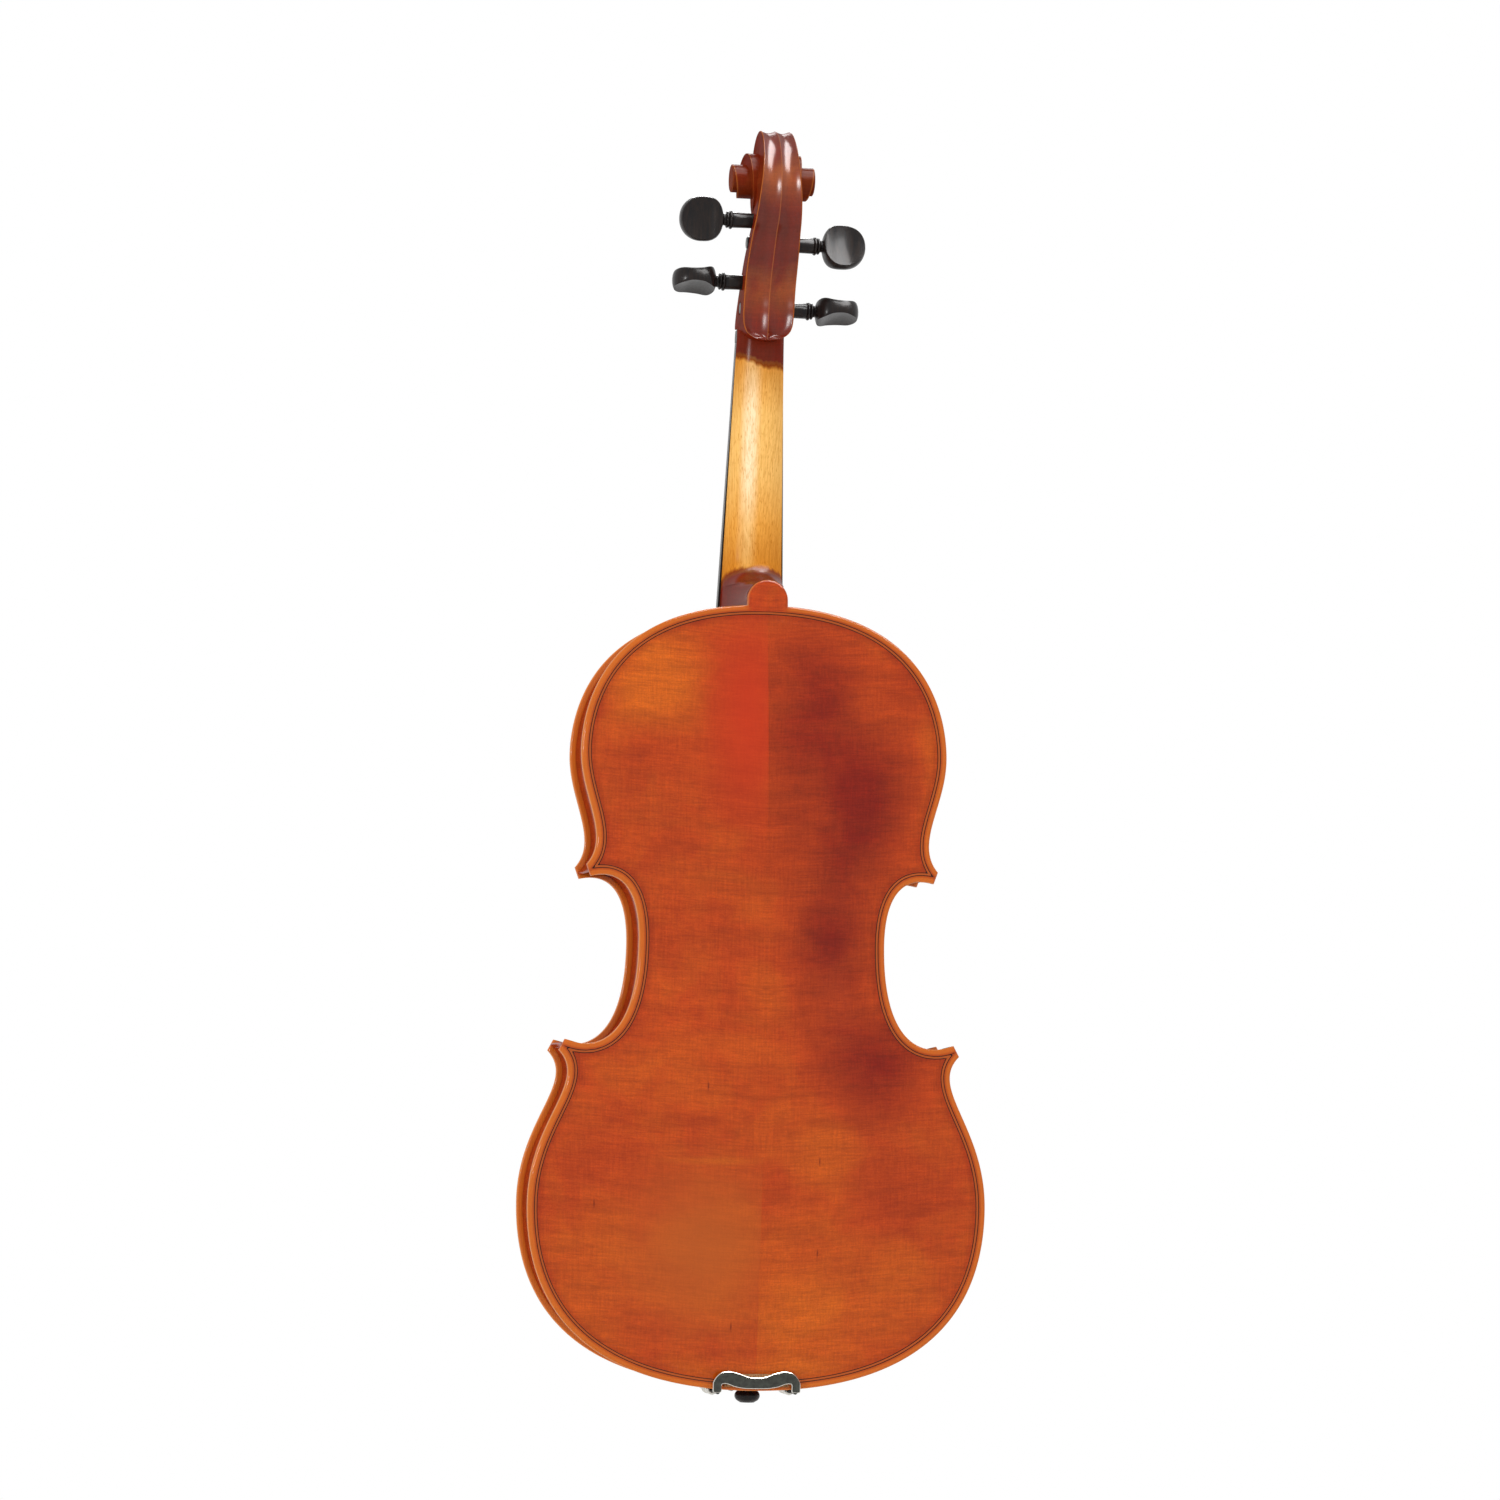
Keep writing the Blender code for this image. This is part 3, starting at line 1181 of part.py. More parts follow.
def build_peg(name):
    """A tapered peg with its collar rings and a thumb piece that is dished on both faces."""
    y, z = peg_axis(name)
    side = PEGS[name]["side"]
    tip = -(PEGBOX_HALF_WIDTH + PEG_TIP_STAND)
    collar = PEG_COLLAR_DIAMETER / 2
    start = PEG_COLLAR_START
    profile = [
        (0.0, PEG_HEAD_START + 0.004), (0.0030, PEG_HEAD_START + 0.004),
        (0.0034, PEG_HEAD_START), (0.0031, start + 0.0042), (collar * 0.86, start + 0.0038),
        (collar * 0.86, start + 0.0026), (collar * 0.78, start + 0.0023), (collar, start + 0.0019),
        (collar, start + 0.0003), (peg_radius(start), start), (peg_radius(tip), tip), (0.0, tip),
    ]
    shaft = turned(f"peg_{name}", profile, EBONY, 12)
    rings = []
    for share, height, thickness in PEG_HEAD_FORM:
        ring = []
        for step in range(12):
            angle = math.pi * step / 6
            dish = 0.82 + 0.18 * math.cos(angle) ** 2
            ring.append((
                PEG_HEAD_HEIGHT / 2 * height * math.cos(angle),
                PEG_HEAD_THICKNESS / 2 * thickness * dish * min(2 * abs(math.sin(angle)), 1.0)
                * math.copysign(1.0, math.sin(angle)),
                PEG_HEAD_START + PEG_HEAD_LENGTH * share,
            ))
        rings.append(ring)
    head = loft(f"thumb piece {name}", rings, EBONY)
    join(shaft, head)
    turn = Matrix.Rotation(math.radians(PEGS[name]["turn"]), 4, "X")
    lay = Matrix.Rotation(math.radians(90 * side), 4, "Y")
    for obj in (shaft, head):
        obj.matrix_world = Matrix.Translation((0, y, z)) @ turn @ lay


def tail_point(x, out, up):
    """A point given in the tailpiece's plane: across, outward from its crown line, up from its low end."""
    lean = TAILPIECE_TILT
    y = TAILPIECE_LOW_END_Y - out * math.cos(lean) - up * math.sin(lean)
    z = TAILPIECE_LOW_END - out * math.sin(lean) + up * math.cos(lean)
    return x, y, z


def tail_prism(name, outline, low, high, finish):
    """Push an outline of (up, out) in the tailpiece's plane across the instrument."""
    return loft(name, [[tail_point(x, out, up) for up, out in outline] for x in (low, high)], finish)


def tail_rod(name, x, up, low, high, radius, finish, sides=12):
    return rod(name, tail_point(x, low, up), tail_point(x, high, up), radius, finish, sides)


def tail_fall(x):
    """How far the tailpiece's arched face has fallen at a distance from its crown line."""
    return TAILPIECE_CROWN * (x / (TAILPIECE_WIDE_END / 2)) ** 2


def tuner_x(name):
    return STRINGS[name]["slot"] * RIDGE_SPACING / 3


AXLE_UP = TAILPIECE_LENGTH - TUNER_AXLE_FROM_END
RIDGE_UP = TAILPIECE_LENGTH - RIDGE_FROM_END
SCREW_UP = AXLE_UP - LEVER_ARM


def build_tailpiece():
    """The arched tailpiece with its string ridge, slots, screw holes, gut holes and axle lugs."""
    rings = []
    for up, share in ((0, 0.72), (0.003, 0.97), (0.006, 1.0), (0.045, 1.0), (0.085, 1.0),
                      (TAILPIECE_LENGTH - 0.003, 1.0), (TAILPIECE_LENGTH, 0.96)):
        width = np.interp(up, [0, TAILPIECE_LENGTH], [TAILPIECE_NARROW_END, TAILPIECE_WIDE_END])
        half = width / 2 * share
        across = [half * k for k in (-1, -0.7, -0.35, 0, 0.35, 0.7, 1)]
        ring = [tail_point(x, -tail_fall(x), up) for x in across]
        ring += [tail_point(x, -tail_fall(x) - TAILPIECE_THICKNESS, up) for x in across[::-1]]
        rings.append(ring)
    tailpiece = loft("tailpiece", rings, COMPOSITE)
    half = TAILPIECE_WIDE_END / 2 * 0.94
    ridge = []
    form = ((-0.0014, -0.001), (-0.0008, RIDGE_HEIGHT), (0.0008, RIDGE_HEIGHT), (0.0014, -0.001))
    for x in np.linspace(-half, half, 7):
        fall = tail_fall(x)
        ridge.append([tail_point(x, out - fall, RIDGE_UP + up) for up, out in form])
    join(tailpiece, loft("string ridge", ridge, COMPOSITE))
    lug = TUNER_LUG_WIDTH / 2
    for slot in (-1.88, -1, 0, 1, 1.88):
        x = slot * RIDGE_SPACING / 3
        out = -tail_fall(x) - TAILPIECE_THICKNESS * 0.5
        outline = [(AXLE_UP - 0.0042, out), (AXLE_UP + 0.0042, out),
                   (AXLE_UP + 0.0020, -TUNER_AXLE_DEPTH - 0.0022),
                   (AXLE_UP - 0.0020, -TUNER_AXLE_DEPTH - 0.0022)]
        join(tailpiece, tail_prism(f"axle lug {slot}", outline, x - lug, x + lug, COMPOSITE))
    reach = TAILPIECE_WIDE_END / 2 + 0.004
    bore = TUNER_AXLE_DIAMETER / 2 + GAP
    cut(tailpiece, rod("axle bore", tail_point(-reach, -TUNER_AXLE_DEPTH, AXLE_UP),
                       tail_point(reach, -TUNER_AXLE_DEPTH, AXLE_UP), bore, COMPOSITE, 12))
    for name in STRINGS:
        x = tuner_x(name)
        wide = LEVER_WIDTH / 2 + 0.0006
        slot = [(AXLE_UP - 0.0100, 0.004), (AXLE_UP + 0.0032, 0.004),
                (AXLE_UP + 0.0032, -0.0068), (AXLE_UP - 0.0100, -0.0068)]
        cut(tailpiece, tail_prism(f"lever slot {name}", slot, x - wide, x + wide, COMPOSITE))
        radius = TUNER_SCREW_DIAMETER / 2 + GAP
        cut(tailpiece, tail_rod(f"screw hole {name}", x, SCREW_UP, -0.012, 0.006, radius, COMPOSITE))
    for x in (-GUT_HALF_SPAN, GUT_HALF_SPAN):
        radius = TAIL_GUT_DIAMETER / 2 + GAP
        cut(tailpiece, tail_rod(f"gut hole {x}", x, 0.010, -0.012, 0.006, radius, COMPOSITE))


GUT_HALF_SPAN = BUTTON_NECK_DIAMETER / 2 + GAP + TAIL_GUT_DIAMETER / 2


def build_tuners():
    """Four fine tuners on one axle: each has a lever, a screw and the string's ball end."""
    half = TAILPIECE_WIDE_END / 2 - 0.0006
    rod("tuner_axle", tail_point(-half, -TUNER_AXLE_DEPTH, AXLE_UP),
        tail_point(half, -TUNER_AXLE_DEPTH, AXLE_UP), TUNER_AXLE_DIAMETER / 2, STEEL, 10)
    for name in STRINGS:
        x = tuner_x(name)
        fall = tail_fall(x)
        hook = LEVER_HOOK_STAND - fall
        arm = -TUNER_AXLE_DEPTH + LEVER_THICKNESS / 2
        outline = [
            (AXLE_UP + 0.0020, hook), (AXLE_UP - 0.0004, hook), (AXLE_UP - 0.0016, hook - 0.003),
            (AXLE_UP - 0.0022, arm + 0.0008), (AXLE_UP - 0.0034, arm),
            (SCREW_UP - 0.0022, arm), (SCREW_UP - 0.0022, arm - LEVER_THICKNESS * 0.7),
            (AXLE_UP - 0.0010, arm - LEVER_THICKNESS - 0.0008),
            (AXLE_UP + 0.0022, -TUNER_AXLE_DEPTH - 0.0014),
        ]
        wide = LEVER_WIDTH / 2
        lever = tail_prism(f"tuner_lever_{name}", outline, x - wide, x + wide, STEEL)
        bore = TUNER_AXLE_DIAMETER / 2 + GAP
        cut(lever, rod(f"lever bore {name}", tail_point(x - 0.01, -TUNER_AXLE_DEPTH, AXLE_UP),
                       tail_point(x + 0.01, -TUNER_AXLE_DEPTH, AXLE_UP), bore, STEEL, 12))
        notch = STRINGS[name]["diameter"] / 2 + GAP
        fork = [(AXLE_UP + 0.006, hook + 0.003), (AXLE_UP - 0.006, hook + 0.003),
                (AXLE_UP - 0.006, hook - 0.0030), (AXLE_UP + 0.006, hook - 0.0030)]
        cut(lever, tail_prism(f"fork {name}", fork, x - notch, x + notch, STEEL))
        stand = TUNER_HEAD_STAND - fall
        profile_low = arm + GAP
        head, shank = TUNER_HEAD_DIAMETER / 2, TUNER_SCREW_DIAMETER / 2
        top = stand + TUNER_HEAD_HEIGHT
        profile = [(0, top), (head * 0.86, top), (head, top - 0.0006), (head, stand + 0.0004),
                   (head * 0.9, stand), (shank, stand), (shank, profile_low + 0.0006),
                   (shank * 0.6, profile_low), (0, profile_low)]
        screw = turned(f"tuner_screw_{name}", profile, STEEL, 12)
        outward = Matrix.Rotation(math.radians(90) + TAILPIECE_TILT, 4, "X")
        screw.matrix_world = Matrix.Translation(tail_point(x, 0, SCREW_UP)) @ outward
        ball_up = AXLE_UP - 0.0016 - GAP - BALL_DIAMETER / 2 - 0.0006
        reach = LEVER_WIDTH / 2
        rod(f"string_ball_{name}", tail_point(x - reach, hook - 0.0017, ball_up),
            tail_point(x + reach, hook - 0.0017, ball_up), BALL_DIAMETER / 2, BRASS, 10)


def build_tail_gut():
    """The loop that ties the tailpiece over the saddle to the end button."""
    radius = TAIL_GUT_DIAMETER / 2
    span = GUT_HALF_SPAN
    crest = -RIB_HEIGHT - 0.0001 - EDGE_THICKNESS - SADDLE_STAND - GAP - radius
    under = -TAILPIECE_THICKNESS - GAP - radius
    one_side = [
        tail_point(span, -0.0010, 0.010), tail_point(span, under * 0.8, 0.010),
        tail_point(span, under - 0.0003, 0.0088), tail_point(span, under - 0.0004, 0.0050),
        (span, crest, 0.0040), (span, crest, 0.0018), (span, crest + 0.0012, -0.0004),
        (span, crest + 0.0035, -0.0014), (span, -RIB_HEIGHT - 0.0020, -0.0015),
        (span, -RIB_HEIGHT + 0.0030, -0.0012), (span, -RIB_HEIGHT + 0.0080, 0.0006),
        (span, BUTTON_AXIS_Y - 0.0040, 0.0013),
    ]
    loop = [
        (span * math.cos(angle), BUTTON_AXIS_Y + span * math.sin(angle), 0.0013)
        for angle in np.linspace(0, math.pi, 9)
    ]
    other = [(-x, y, z) for x, y, z in reversed(one_side)]
    tube("tail_gut", one_side + loop + other, radius, NYLON)


def string_route(name):
    """One string: from the fine tuner over ridge, bridge and nut, and in turns round its peg."""
    size = STRINGS[name]
    radius = size["diameter"] / 2
    x_tail, x_bridge, x_nut = tuner_x(name), string_x_at_bridge(name), string_x_at_nut(name)
    fall = tail_fall(x_tail)
    hook = LEVER_HOOK_STAND - fall
    ridge_out = RIDGE_HEIGHT - fall + GAP + radius
    points = [
        tail_point(x_tail, hook - 0.0017, AXLE_UP - 0.0012),
        tail_point(x_tail, ridge_out - 0.0005, RIDGE_UP - 0.0030),
        tail_point(x_tail, ridge_out, RIDGE_UP - 0.0006),
        tail_point(x_tail, ridge_out, RIDGE_UP + 0.0006),
    ]
    top = bridge_top_y(x_bridge) - GAP - radius
    points.append((x_bridge, top + 0.0002, BRIDGE_HEIGHT_ON_BODY - 0.0012))
    points.append((x_bridge, top, BRIDGE_HEIGHT_ON_BODY))
    points.append((x_bridge, top + 0.0001, BRIDGE_HEIGHT_ON_BODY + 0.0012))
    nut_y = nut_top_y(x_nut) - GAP - radius
    nut = BODY_LENGTH + NECK_LENGTH
    points.append((x_nut, nut_y, nut + 0.0006))
    points.append((x_nut, nut_y + 0.0002, nut + 0.0024))
    leave = np.array([nut_y + 0.0014, HEAD_Z + 0.0002])
    points.append((x_nut, *leave))
    peg_y, peg_z = peg_axis(name)
    side = PEGS[name]["side"]
    start_x = PEGBOX_HALF_WIDTH - PEGBOX_WALL - 0.0022
    coil = peg_radius(start_x) + GAP + 0.0001 + radius
    away = leave - (peg_y, peg_z)
    distance = float(np.linalg.norm(away))
    touch = math.atan2(away[1], away[0]) - math.acos(coil / distance)
    pitch = size["diameter"] + STRING_TURN_GAP
    for step in range(size["turns"] * TURN_POINTS + 1):
        angle = touch - 2 * math.pi * step / TURN_POINTS
        x = side * (start_x - pitch * step / TURN_POINTS)
        points.append((x, peg_y + coil * math.cos(angle), peg_z + coil * math.sin(angle)))
    return points, size["turns"] * TURN_POINTS


STRING_TURN_GAP = 0.0005
TURN_POINTS = 12


def least_gap(points, diameter):
    """The least clear distance between turns that lie one turn apart."""
    coil = np.array(points)
    least = 1.0
    for first in range(len(coil) - 1 - TURN_POINTS // 2):
        rest = coil[first + TURN_POINTS // 2:]
        for share in (0.0, 0.5):
            place = coil[first] * (1 - share) + coil[first + 1] * share
            least = min(least, float(np.linalg.norm(rest - place, axis=1).min()))
    return least - diameter


def build_strings():
    for name, size in STRINGS.items():
        points, wound = string_route(name)
        tube(f"string_{name}", points, size["diameter"] / 2, STRING_WIRE)
        gap = least_gap(points[-wound:], size["diameter"])
        print(f"string {name}: least gap between its turns {gap * 1000:.2f} mm")


def chinrest_section(x, low, high, dish):
    """One section across the chinrest: rounded rims, a dished upper face and a bellied underside."""
    span = high - low
    rim = CHINREST_TOP_Y
    belly = rim + CHINREST_THICKNESS
    ring = []
    for share in (0.05, 0.15, 0.35, 0.5, 0.65, 0.85, 0.95):
        hollow = (1 - abs(2 * share - 1) ** 2.5) * dish
        ring.append((x, rim + hollow, low + span * share))
    ring += [(x, rim + 0.0022, high), (x, belly - 0.0030, high)]
    for share in (0.90, 0.60, 0.40, 0.10):
        bulge = (1 - (2 * share - 1) ** 2) * dish * 0.6
        ring.append((x, belly + bulge - 0.0006, low + span * share))
    ring += [(x, belly - 0.0030, low), (x, rim + 0.0022, low)]
    return ring


CORK_TOP_Y = -RIB_HEIGHT - EDGE_THICKNESS - GAP - CORK_THICKNESS
HOOK_Y = CORK_TOP_Y - GAP - CLAMP_PLATE_THICKNESS


def build_chinrest():
    """An ebony rest: a cup beside the tailpiece, an arm over it, and a foot on each side of it."""
    cup, arm, start = CHINREST_CUP_LENGTH, CHINREST_ARM_LENGTH, CHINREST_LOW_EDGE
    left, right = CHINREST_LEFT, CHINREST_RIGHT
    stations = [
        (left, 0.53, 0.74, 0.1), (left * 0.965, 0.40, 0.86, 0.3), (left * 0.86, 0.26, 0.95, 0.8),
        (left * 0.70, 0.14, 1.0, 1.0), (left * 0.52, 0.065, 0.99, 1.0), (left * 0.36, 0.022, 0.92, 0.9),
        (left * 0.23, 0.006, 0.77, 0.7), (left * 0.14, 0.0, 0.61, 0.5), (left * 0.06, 0.0, 0.47, 0.25),
    ]
    rings = [
        chinrest_section(x, start + low * cup, start + high * cup, CHINREST_CUP_DEPTH * dish)
        for x, low, high, dish in stations
    ]
    for x, low, high in ((0.0020, 0.0, 1.06), (0.45 * right, 0.0, 1.0), (0.75 * right, 0.0, 0.97),
                         (0.93 * right, 0.10, 0.86), (right, 0.27, 0.66)):
        rings.append(chinrest_section(x, start + low * arm, start + high * arm, 0.0004))
    chinrest = loft("chinrest", rings, EBONY)
    foot_y = HOOK_Y - GAP
    inner, outer, deep = CHINREST_FOOT_INNER, CHINREST_FOOT_OUTER, CHINREST_FOOT_DEPTH
    for side in (-1, 1):
        rings = []
        into = CHINREST_TOP_Y + CHINREST_THICKNESS - 0.0015
        for y, spread in ((into, 1.6), (-0.0590, 1.25), (-0.0520, 1.05), (foot_y, 1.0)):
            wide, long = (outer - inner) / 2, deep * spread
            middle = (inner + outer) / 2 - 0.001 * (spread - 1)
            low, high = start + 0.0002 * spread, start + long
            rings.append([
                (side * (middle - wide), y, low + 0.001), (side * (middle - wide * 0.8), y, low),
                (side * (middle + wide * 0.8), y, low + 0.0002), (side * (middle + wide), y, low + 0.002),
                (side * (middle + wide), y, high - 0.002), (side * (middle + wide * 0.8), y, high),
                (side * (middle - wide * 0.8), y, high), (side * (middle - wide), y, high - 0.001),
            ])
        join(chinrest, loft(f"chinrest foot {side}", rings, EBONY))
        name = "treble" if side > 0 else "bass"
        rings = []
        for z in (start + 0.0006, start + 0.0040, start + 0.0075, start + deep - 0.0006):
            seat = -RIB_HEIGHT - outer_height(inner, z, TOP_ARCH) - GAP
            ends = (side * (inner + 0.0004), side * (outer - 0.0010))
            rings.append([(ends[0], seat, z), (ends[0], CORK_TOP_Y, z),
                          (ends[1], CORK_TOP_Y, z), (ends[1], seat, z)])
        loft(f"chinrest_cork_{name}", rings, CORK)


def build_clamp():
    """The clamp that holds the chinrest: two hooks, two screw barrels, and one foot on the back's edge."""
    post, barrel = CLAMP_POST_DIAMETER / 2, BARREL_DIAMETER / 2
    z, start = CLAMP_AXIS_HEIGHT, CHINREST_LOW_EDGE
    middle = -RIB_HEIGHT / 2
    ends = (middle - BARREL_LENGTH / 2, middle + BARREL_LENGTH / 2)
    hook_middle = HOOK_Y + CLAMP_PLATE_THICKNESS / 2
    for side, name in ((-1, "bass"), (1, "treble")):
        x = side * CLAMP_SPAN / 2
        inner, outer = CLAMP_SPAN / 2 - post * 0.9, CHINREST_FOOT_OUTER - 0.005
        low, high = start - 0.0010, start + CHINREST_FOOT_DEPTH - 0.0025
        outline = [(inner, low), (inner + 0.0030, low), (inner + 0.0055, start + 0.0014),
                   (outer, start + 0.0014), (outer, high), (inner, high)]
        plate_outline = [(side * px, pz) for px, pz in outline]
        hook = prism(f"clamp_hook_{name}", plate_outline, HOOK_Y, HOOK_Y + CLAMP_PLATE_THICKNESS, 1, STEEL)
        leg = [(x, hook_middle, start - 0.0004), (x, hook_middle, z + 0.0012),
               (x, hook_middle + 0.0004, z + 0.0004), (x, hook_middle + 0.0014, z),
               (x, ends[0] + POST_IN_BARREL, z)]
        join(hook, meshed(tube(f"clamp leg {name}", leg, post, STEEL)))
        groove, bore = barrel * 0.86, post + GAP
        half = BARREL_LENGTH / 2
        profile = [(bore, half), (groove, half), (barrel, half - 0.0006), (barrel, 0.0032),
                   (groove, 0.0028), (groove, -0.0028), (barrel, -0.0032), (barrel, -half + 0.0006),
                   (groove, -half), (bore, -half), (bore, half)]
        turnbuckle = turned(f"clamp_barrel_{name}", profile, STEEL, 12)
        place = Matrix.Translation((x, middle, z))
        turnbuckle.matrix_world = place @ Matrix.Rotation(math.radians(90), 4, "X")
        cut(turnbuckle, rod(f"pin hole {name}", (x, middle, z - 0.004), (x, middle, z + 0.004),
                            0.0008, STEEL, 8))
    seat = EDGE_THICKNESS + GAP
    face = seat + CORK_THICKNESS + GAP
    tip = CLAMP_SPAN / 2 + 0.0026
    half = [(0.0, 0.0069), (0.0045, 0.0074), (0.0090, 0.0090), (0.0125, 0.0099), (0.0155, 0.0101),
            (0.0188, 0.0093), (0.0212, 0.0072), (tip, 0.0042), (tip, 0.0003), (tip - 0.0008, -0.0007),
            (0.0191, -0.0007), (0.0183, 0.0003), (0.0183, 0.0030), (0.0175, 0.0038), (0.0150, 0.0036),
            (0.0110, 0.0022), (0.0060, 0.0014), (0.0, 0.0013)]
    outline = half + [(-px, pz) for px, pz in half[-2:0:-1]]
    foot = prism("clamp_foot", outline, face, face + CLAMP_PLATE_THICKNESS, 1, DARK_STEEL)
    for side in (-1, 1):
        x = side * CLAMP_SPAN / 2
        join(foot, rod(f"foot post {side}", (x, face + CLAMP_PLATE_THICKNESS * 0.8, z),
                       (x, ends[1] - POST_IN_BARREL, z), post, STEEL, 8))
    rings = []
    for height in (0.0022, 0.0050, 0.0072, 0.0088):
        wide = 0.0168 if height < 0.007 else 0.0165
        low = outer_height(0.0, height, BACK_ARCH) + GAP
        rings.append([(-wide, low, height), (wide, low, height), (wide, seat + CORK_THICKNESS, height),
                      (-wide, seat + CORK_THICKNESS, height)])
    loft("clamp_cork", rings, CORK)


def move_origin(name, place):
    """Put a piece's origin on its joint's axis, with its shape left where it is."""
    obj = bpy.data.objects[name]
    obj.data.transform(Matrix.Translation(Vector(place)).inverted())
    obj.location = place


def hang_up():
    """Bring the place where a hanger holds the neck to the origin, with everything hung from one empty."""
    height = HEAD_Z - HANGER_BELOW_NUT
    root = bpy.data.objects.new("viola root", None)
    PIECES.objects.link(root)
    for obj in list(PIECES.objects) + list(CUTTERS.objects):
        if obj != root:
            obj.parent = root
    root.location = (0, -glue_plane_y(height) - NECK_DEPTH_AT_NUT / 2, -height)
    return root


def report_places(root):
    """Print the points that the joints and mounts of this part's record are given at."""
    shift = np.array(root.location)
    places = {f"{name} peg axis": (0, *peg_axis(name)) for name in PEGS}
    for name in STRINGS:
        places[f"{name} lever axis"] = tail_point(tuner_x(name), -TUNER_AXLE_DEPTH, AXLE_UP)
        places[f"{name} screw"] = tail_point(tuner_x(name), 0, SCREW_UP)
    places["tailpiece outward"] = np.subtract(tail_point(0, 1, 0), tail_point(0, 0, 0)) - shift
    places["button end"] = (0, BUTTON_AXIS_Y, -BUTTON_GAP_BELOW_EDGE - BUTTON_KNOB_LENGTH)
    places["clamp axis"] = (CLAMP_SPAN / 2, -RIB_HEIGHT / 2, CLAMP_AXIS_HEIGHT)
    for name, place in places.items():
        print(name, " ".join(f"{value * 1000:.2f}" for value in np.add(place, shift)), "mm")


build_back()
build_top()
build_ribs()
build_blocks()
build_inside()
build_neck()
build_fingerboard()
build_nut()
build_saddle()
build_end_button()
build_bridge()
for peg_name in PEGS:
    build_peg(peg_name)
build_tailpiece()
build_tuners()
build_tail_gut()
build_strings()
build_chinrest()
build_clamp()
for string_name in STRINGS:
    lever_axis = tail_point(tuner_x(string_name), -TUNER_AXLE_DEPTH, AXLE_UP)
    move_origin(f"tuner_lever_{string_name}", lever_axis)
    move_origin(f"string_ball_{string_name}", lever_axis)
report_places(hang_up())
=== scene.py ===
"""The looks of a viola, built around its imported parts. It is laid out as an add-on and run as a script.

Sizes are in metres. While a piece is modelled, z = 0 is the lower edge of the body and y = 0 is the face
of the ribs that the back is glued to, and placed() then brings it to the frame's own origin.
"""

import math

import bmesh
import bpy
import numpy as np
from mathutils import Matrix, Vector


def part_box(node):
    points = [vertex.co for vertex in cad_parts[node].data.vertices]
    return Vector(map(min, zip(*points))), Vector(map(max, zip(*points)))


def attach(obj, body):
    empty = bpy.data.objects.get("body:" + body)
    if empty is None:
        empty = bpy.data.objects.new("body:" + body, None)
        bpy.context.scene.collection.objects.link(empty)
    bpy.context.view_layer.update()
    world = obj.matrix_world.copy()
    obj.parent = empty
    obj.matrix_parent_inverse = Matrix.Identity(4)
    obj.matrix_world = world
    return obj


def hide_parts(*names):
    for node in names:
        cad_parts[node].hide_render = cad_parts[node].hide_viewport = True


bl_info = {
    "name": "Viola",
    "version": (1, 0, 0),
    "blender": (4, 5, 0),
    "location": "View3D > Sidebar > Viola",
    "description": "Builds the wood, varnish, strings and fittings of a viola",
    "category": "Object",
}

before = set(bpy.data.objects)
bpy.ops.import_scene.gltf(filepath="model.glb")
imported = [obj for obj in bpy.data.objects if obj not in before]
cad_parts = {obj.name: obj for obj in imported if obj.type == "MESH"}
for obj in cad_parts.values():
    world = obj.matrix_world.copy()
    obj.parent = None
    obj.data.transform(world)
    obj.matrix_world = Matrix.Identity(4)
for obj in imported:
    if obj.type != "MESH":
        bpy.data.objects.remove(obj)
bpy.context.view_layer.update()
BACK_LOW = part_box("back_bass_half")[0]
OFFSET = Vector((0.0, BACK_LOW.y, BACK_LOW.z))
ROOT = "instrument"
STRING_NAMES = ("a", "d", "g", "c")
SIDES = (("bass", -1), ("treble", 1))

# Body, in the sizes of the part
BODY_LENGTH = 0.406
UPPER_HALF_WIDTH, UPPER_WIDTH_HEIGHT = 0.0964, 0.3279
WAIST_HALF_WIDTH, WAIST_HEIGHT = 0.0645, 0.2300
LOWER_HALF_WIDTH, LOWER_WIDTH_HEIGHT = 0.1200, 0.0945
UPPER_CORNER_X, UPPER_CORNER_HEIGHT = 0.0915, 0.2660
LOWER_CORNER_X, LOWER_CORNER_HEIGHT = 0.1037, 0.1761
CORNER_WIDTH = 0.0064
UPPER_CORNER_LEAN, LOWER_CORNER_LEAN = math.radians(20), math.radians(28)
RIB_HEIGHT, RIB_THICKNESS, OVERHANG = 0.037, 0.0012, 0.003
EDGE_THICKNESS = 0.0045
BACK_ARCH, TOP_ARCH = 0.0160, 0.0170
BACK_THICKNESS, TOP_THICKNESS = 0.0038, 0.0031
CHANNEL_INSET, INSIDE_INSET = 0.0075, 0.0130
BUTTON_WIDTH, BUTTON_HEIGHT = 0.0212, 0.0133
F_HOLE_HEIGHT, F_HOLE_STEM_WIDTH = 0.186, 0.0068
F_HOLE_UPPER_EYE, F_HOLE_LOWER_EYE = 0.0082, 0.0104

# Neck and head
NECK_LENGTH, MORTISE_DEPTH, OVERSTAND, NECK_TILT = 0.143, 0.006, 0.0065, 0.115
NECK_WIDTH_AT_NUT, NECK_WIDTH_AT_BODY = 0.0252, 0.0330
NECK_DEPTH_AT_NUT, NECK_DEPTH_AT_HEEL, HEEL_TOP_REACH = 0.0112, 0.0128, 0.036
NUT_LENGTH, NUT_STAND = 0.0062, 0.0006
EYE_REACH, EYE_BACK, EYE_RADIUS, EYE_HALF_WIDTH = 0.0758, 0.0258, 0.0073, 0.0219
PEGBOX_HALF_WIDTH, PEGBOX_WALL = 0.0136, 0.0048
FLUTE_DEPTH, RIM_CHAMFER = 0.0032, 0.0006

# Places on the finished plates
EDGE_SCOOP_DEPTH = 0.0006
EDGE_SCOOP_INSET = 0.0058
PURFLING_INSET = 0.0042
PURFLING_WIDTH = 0.0017


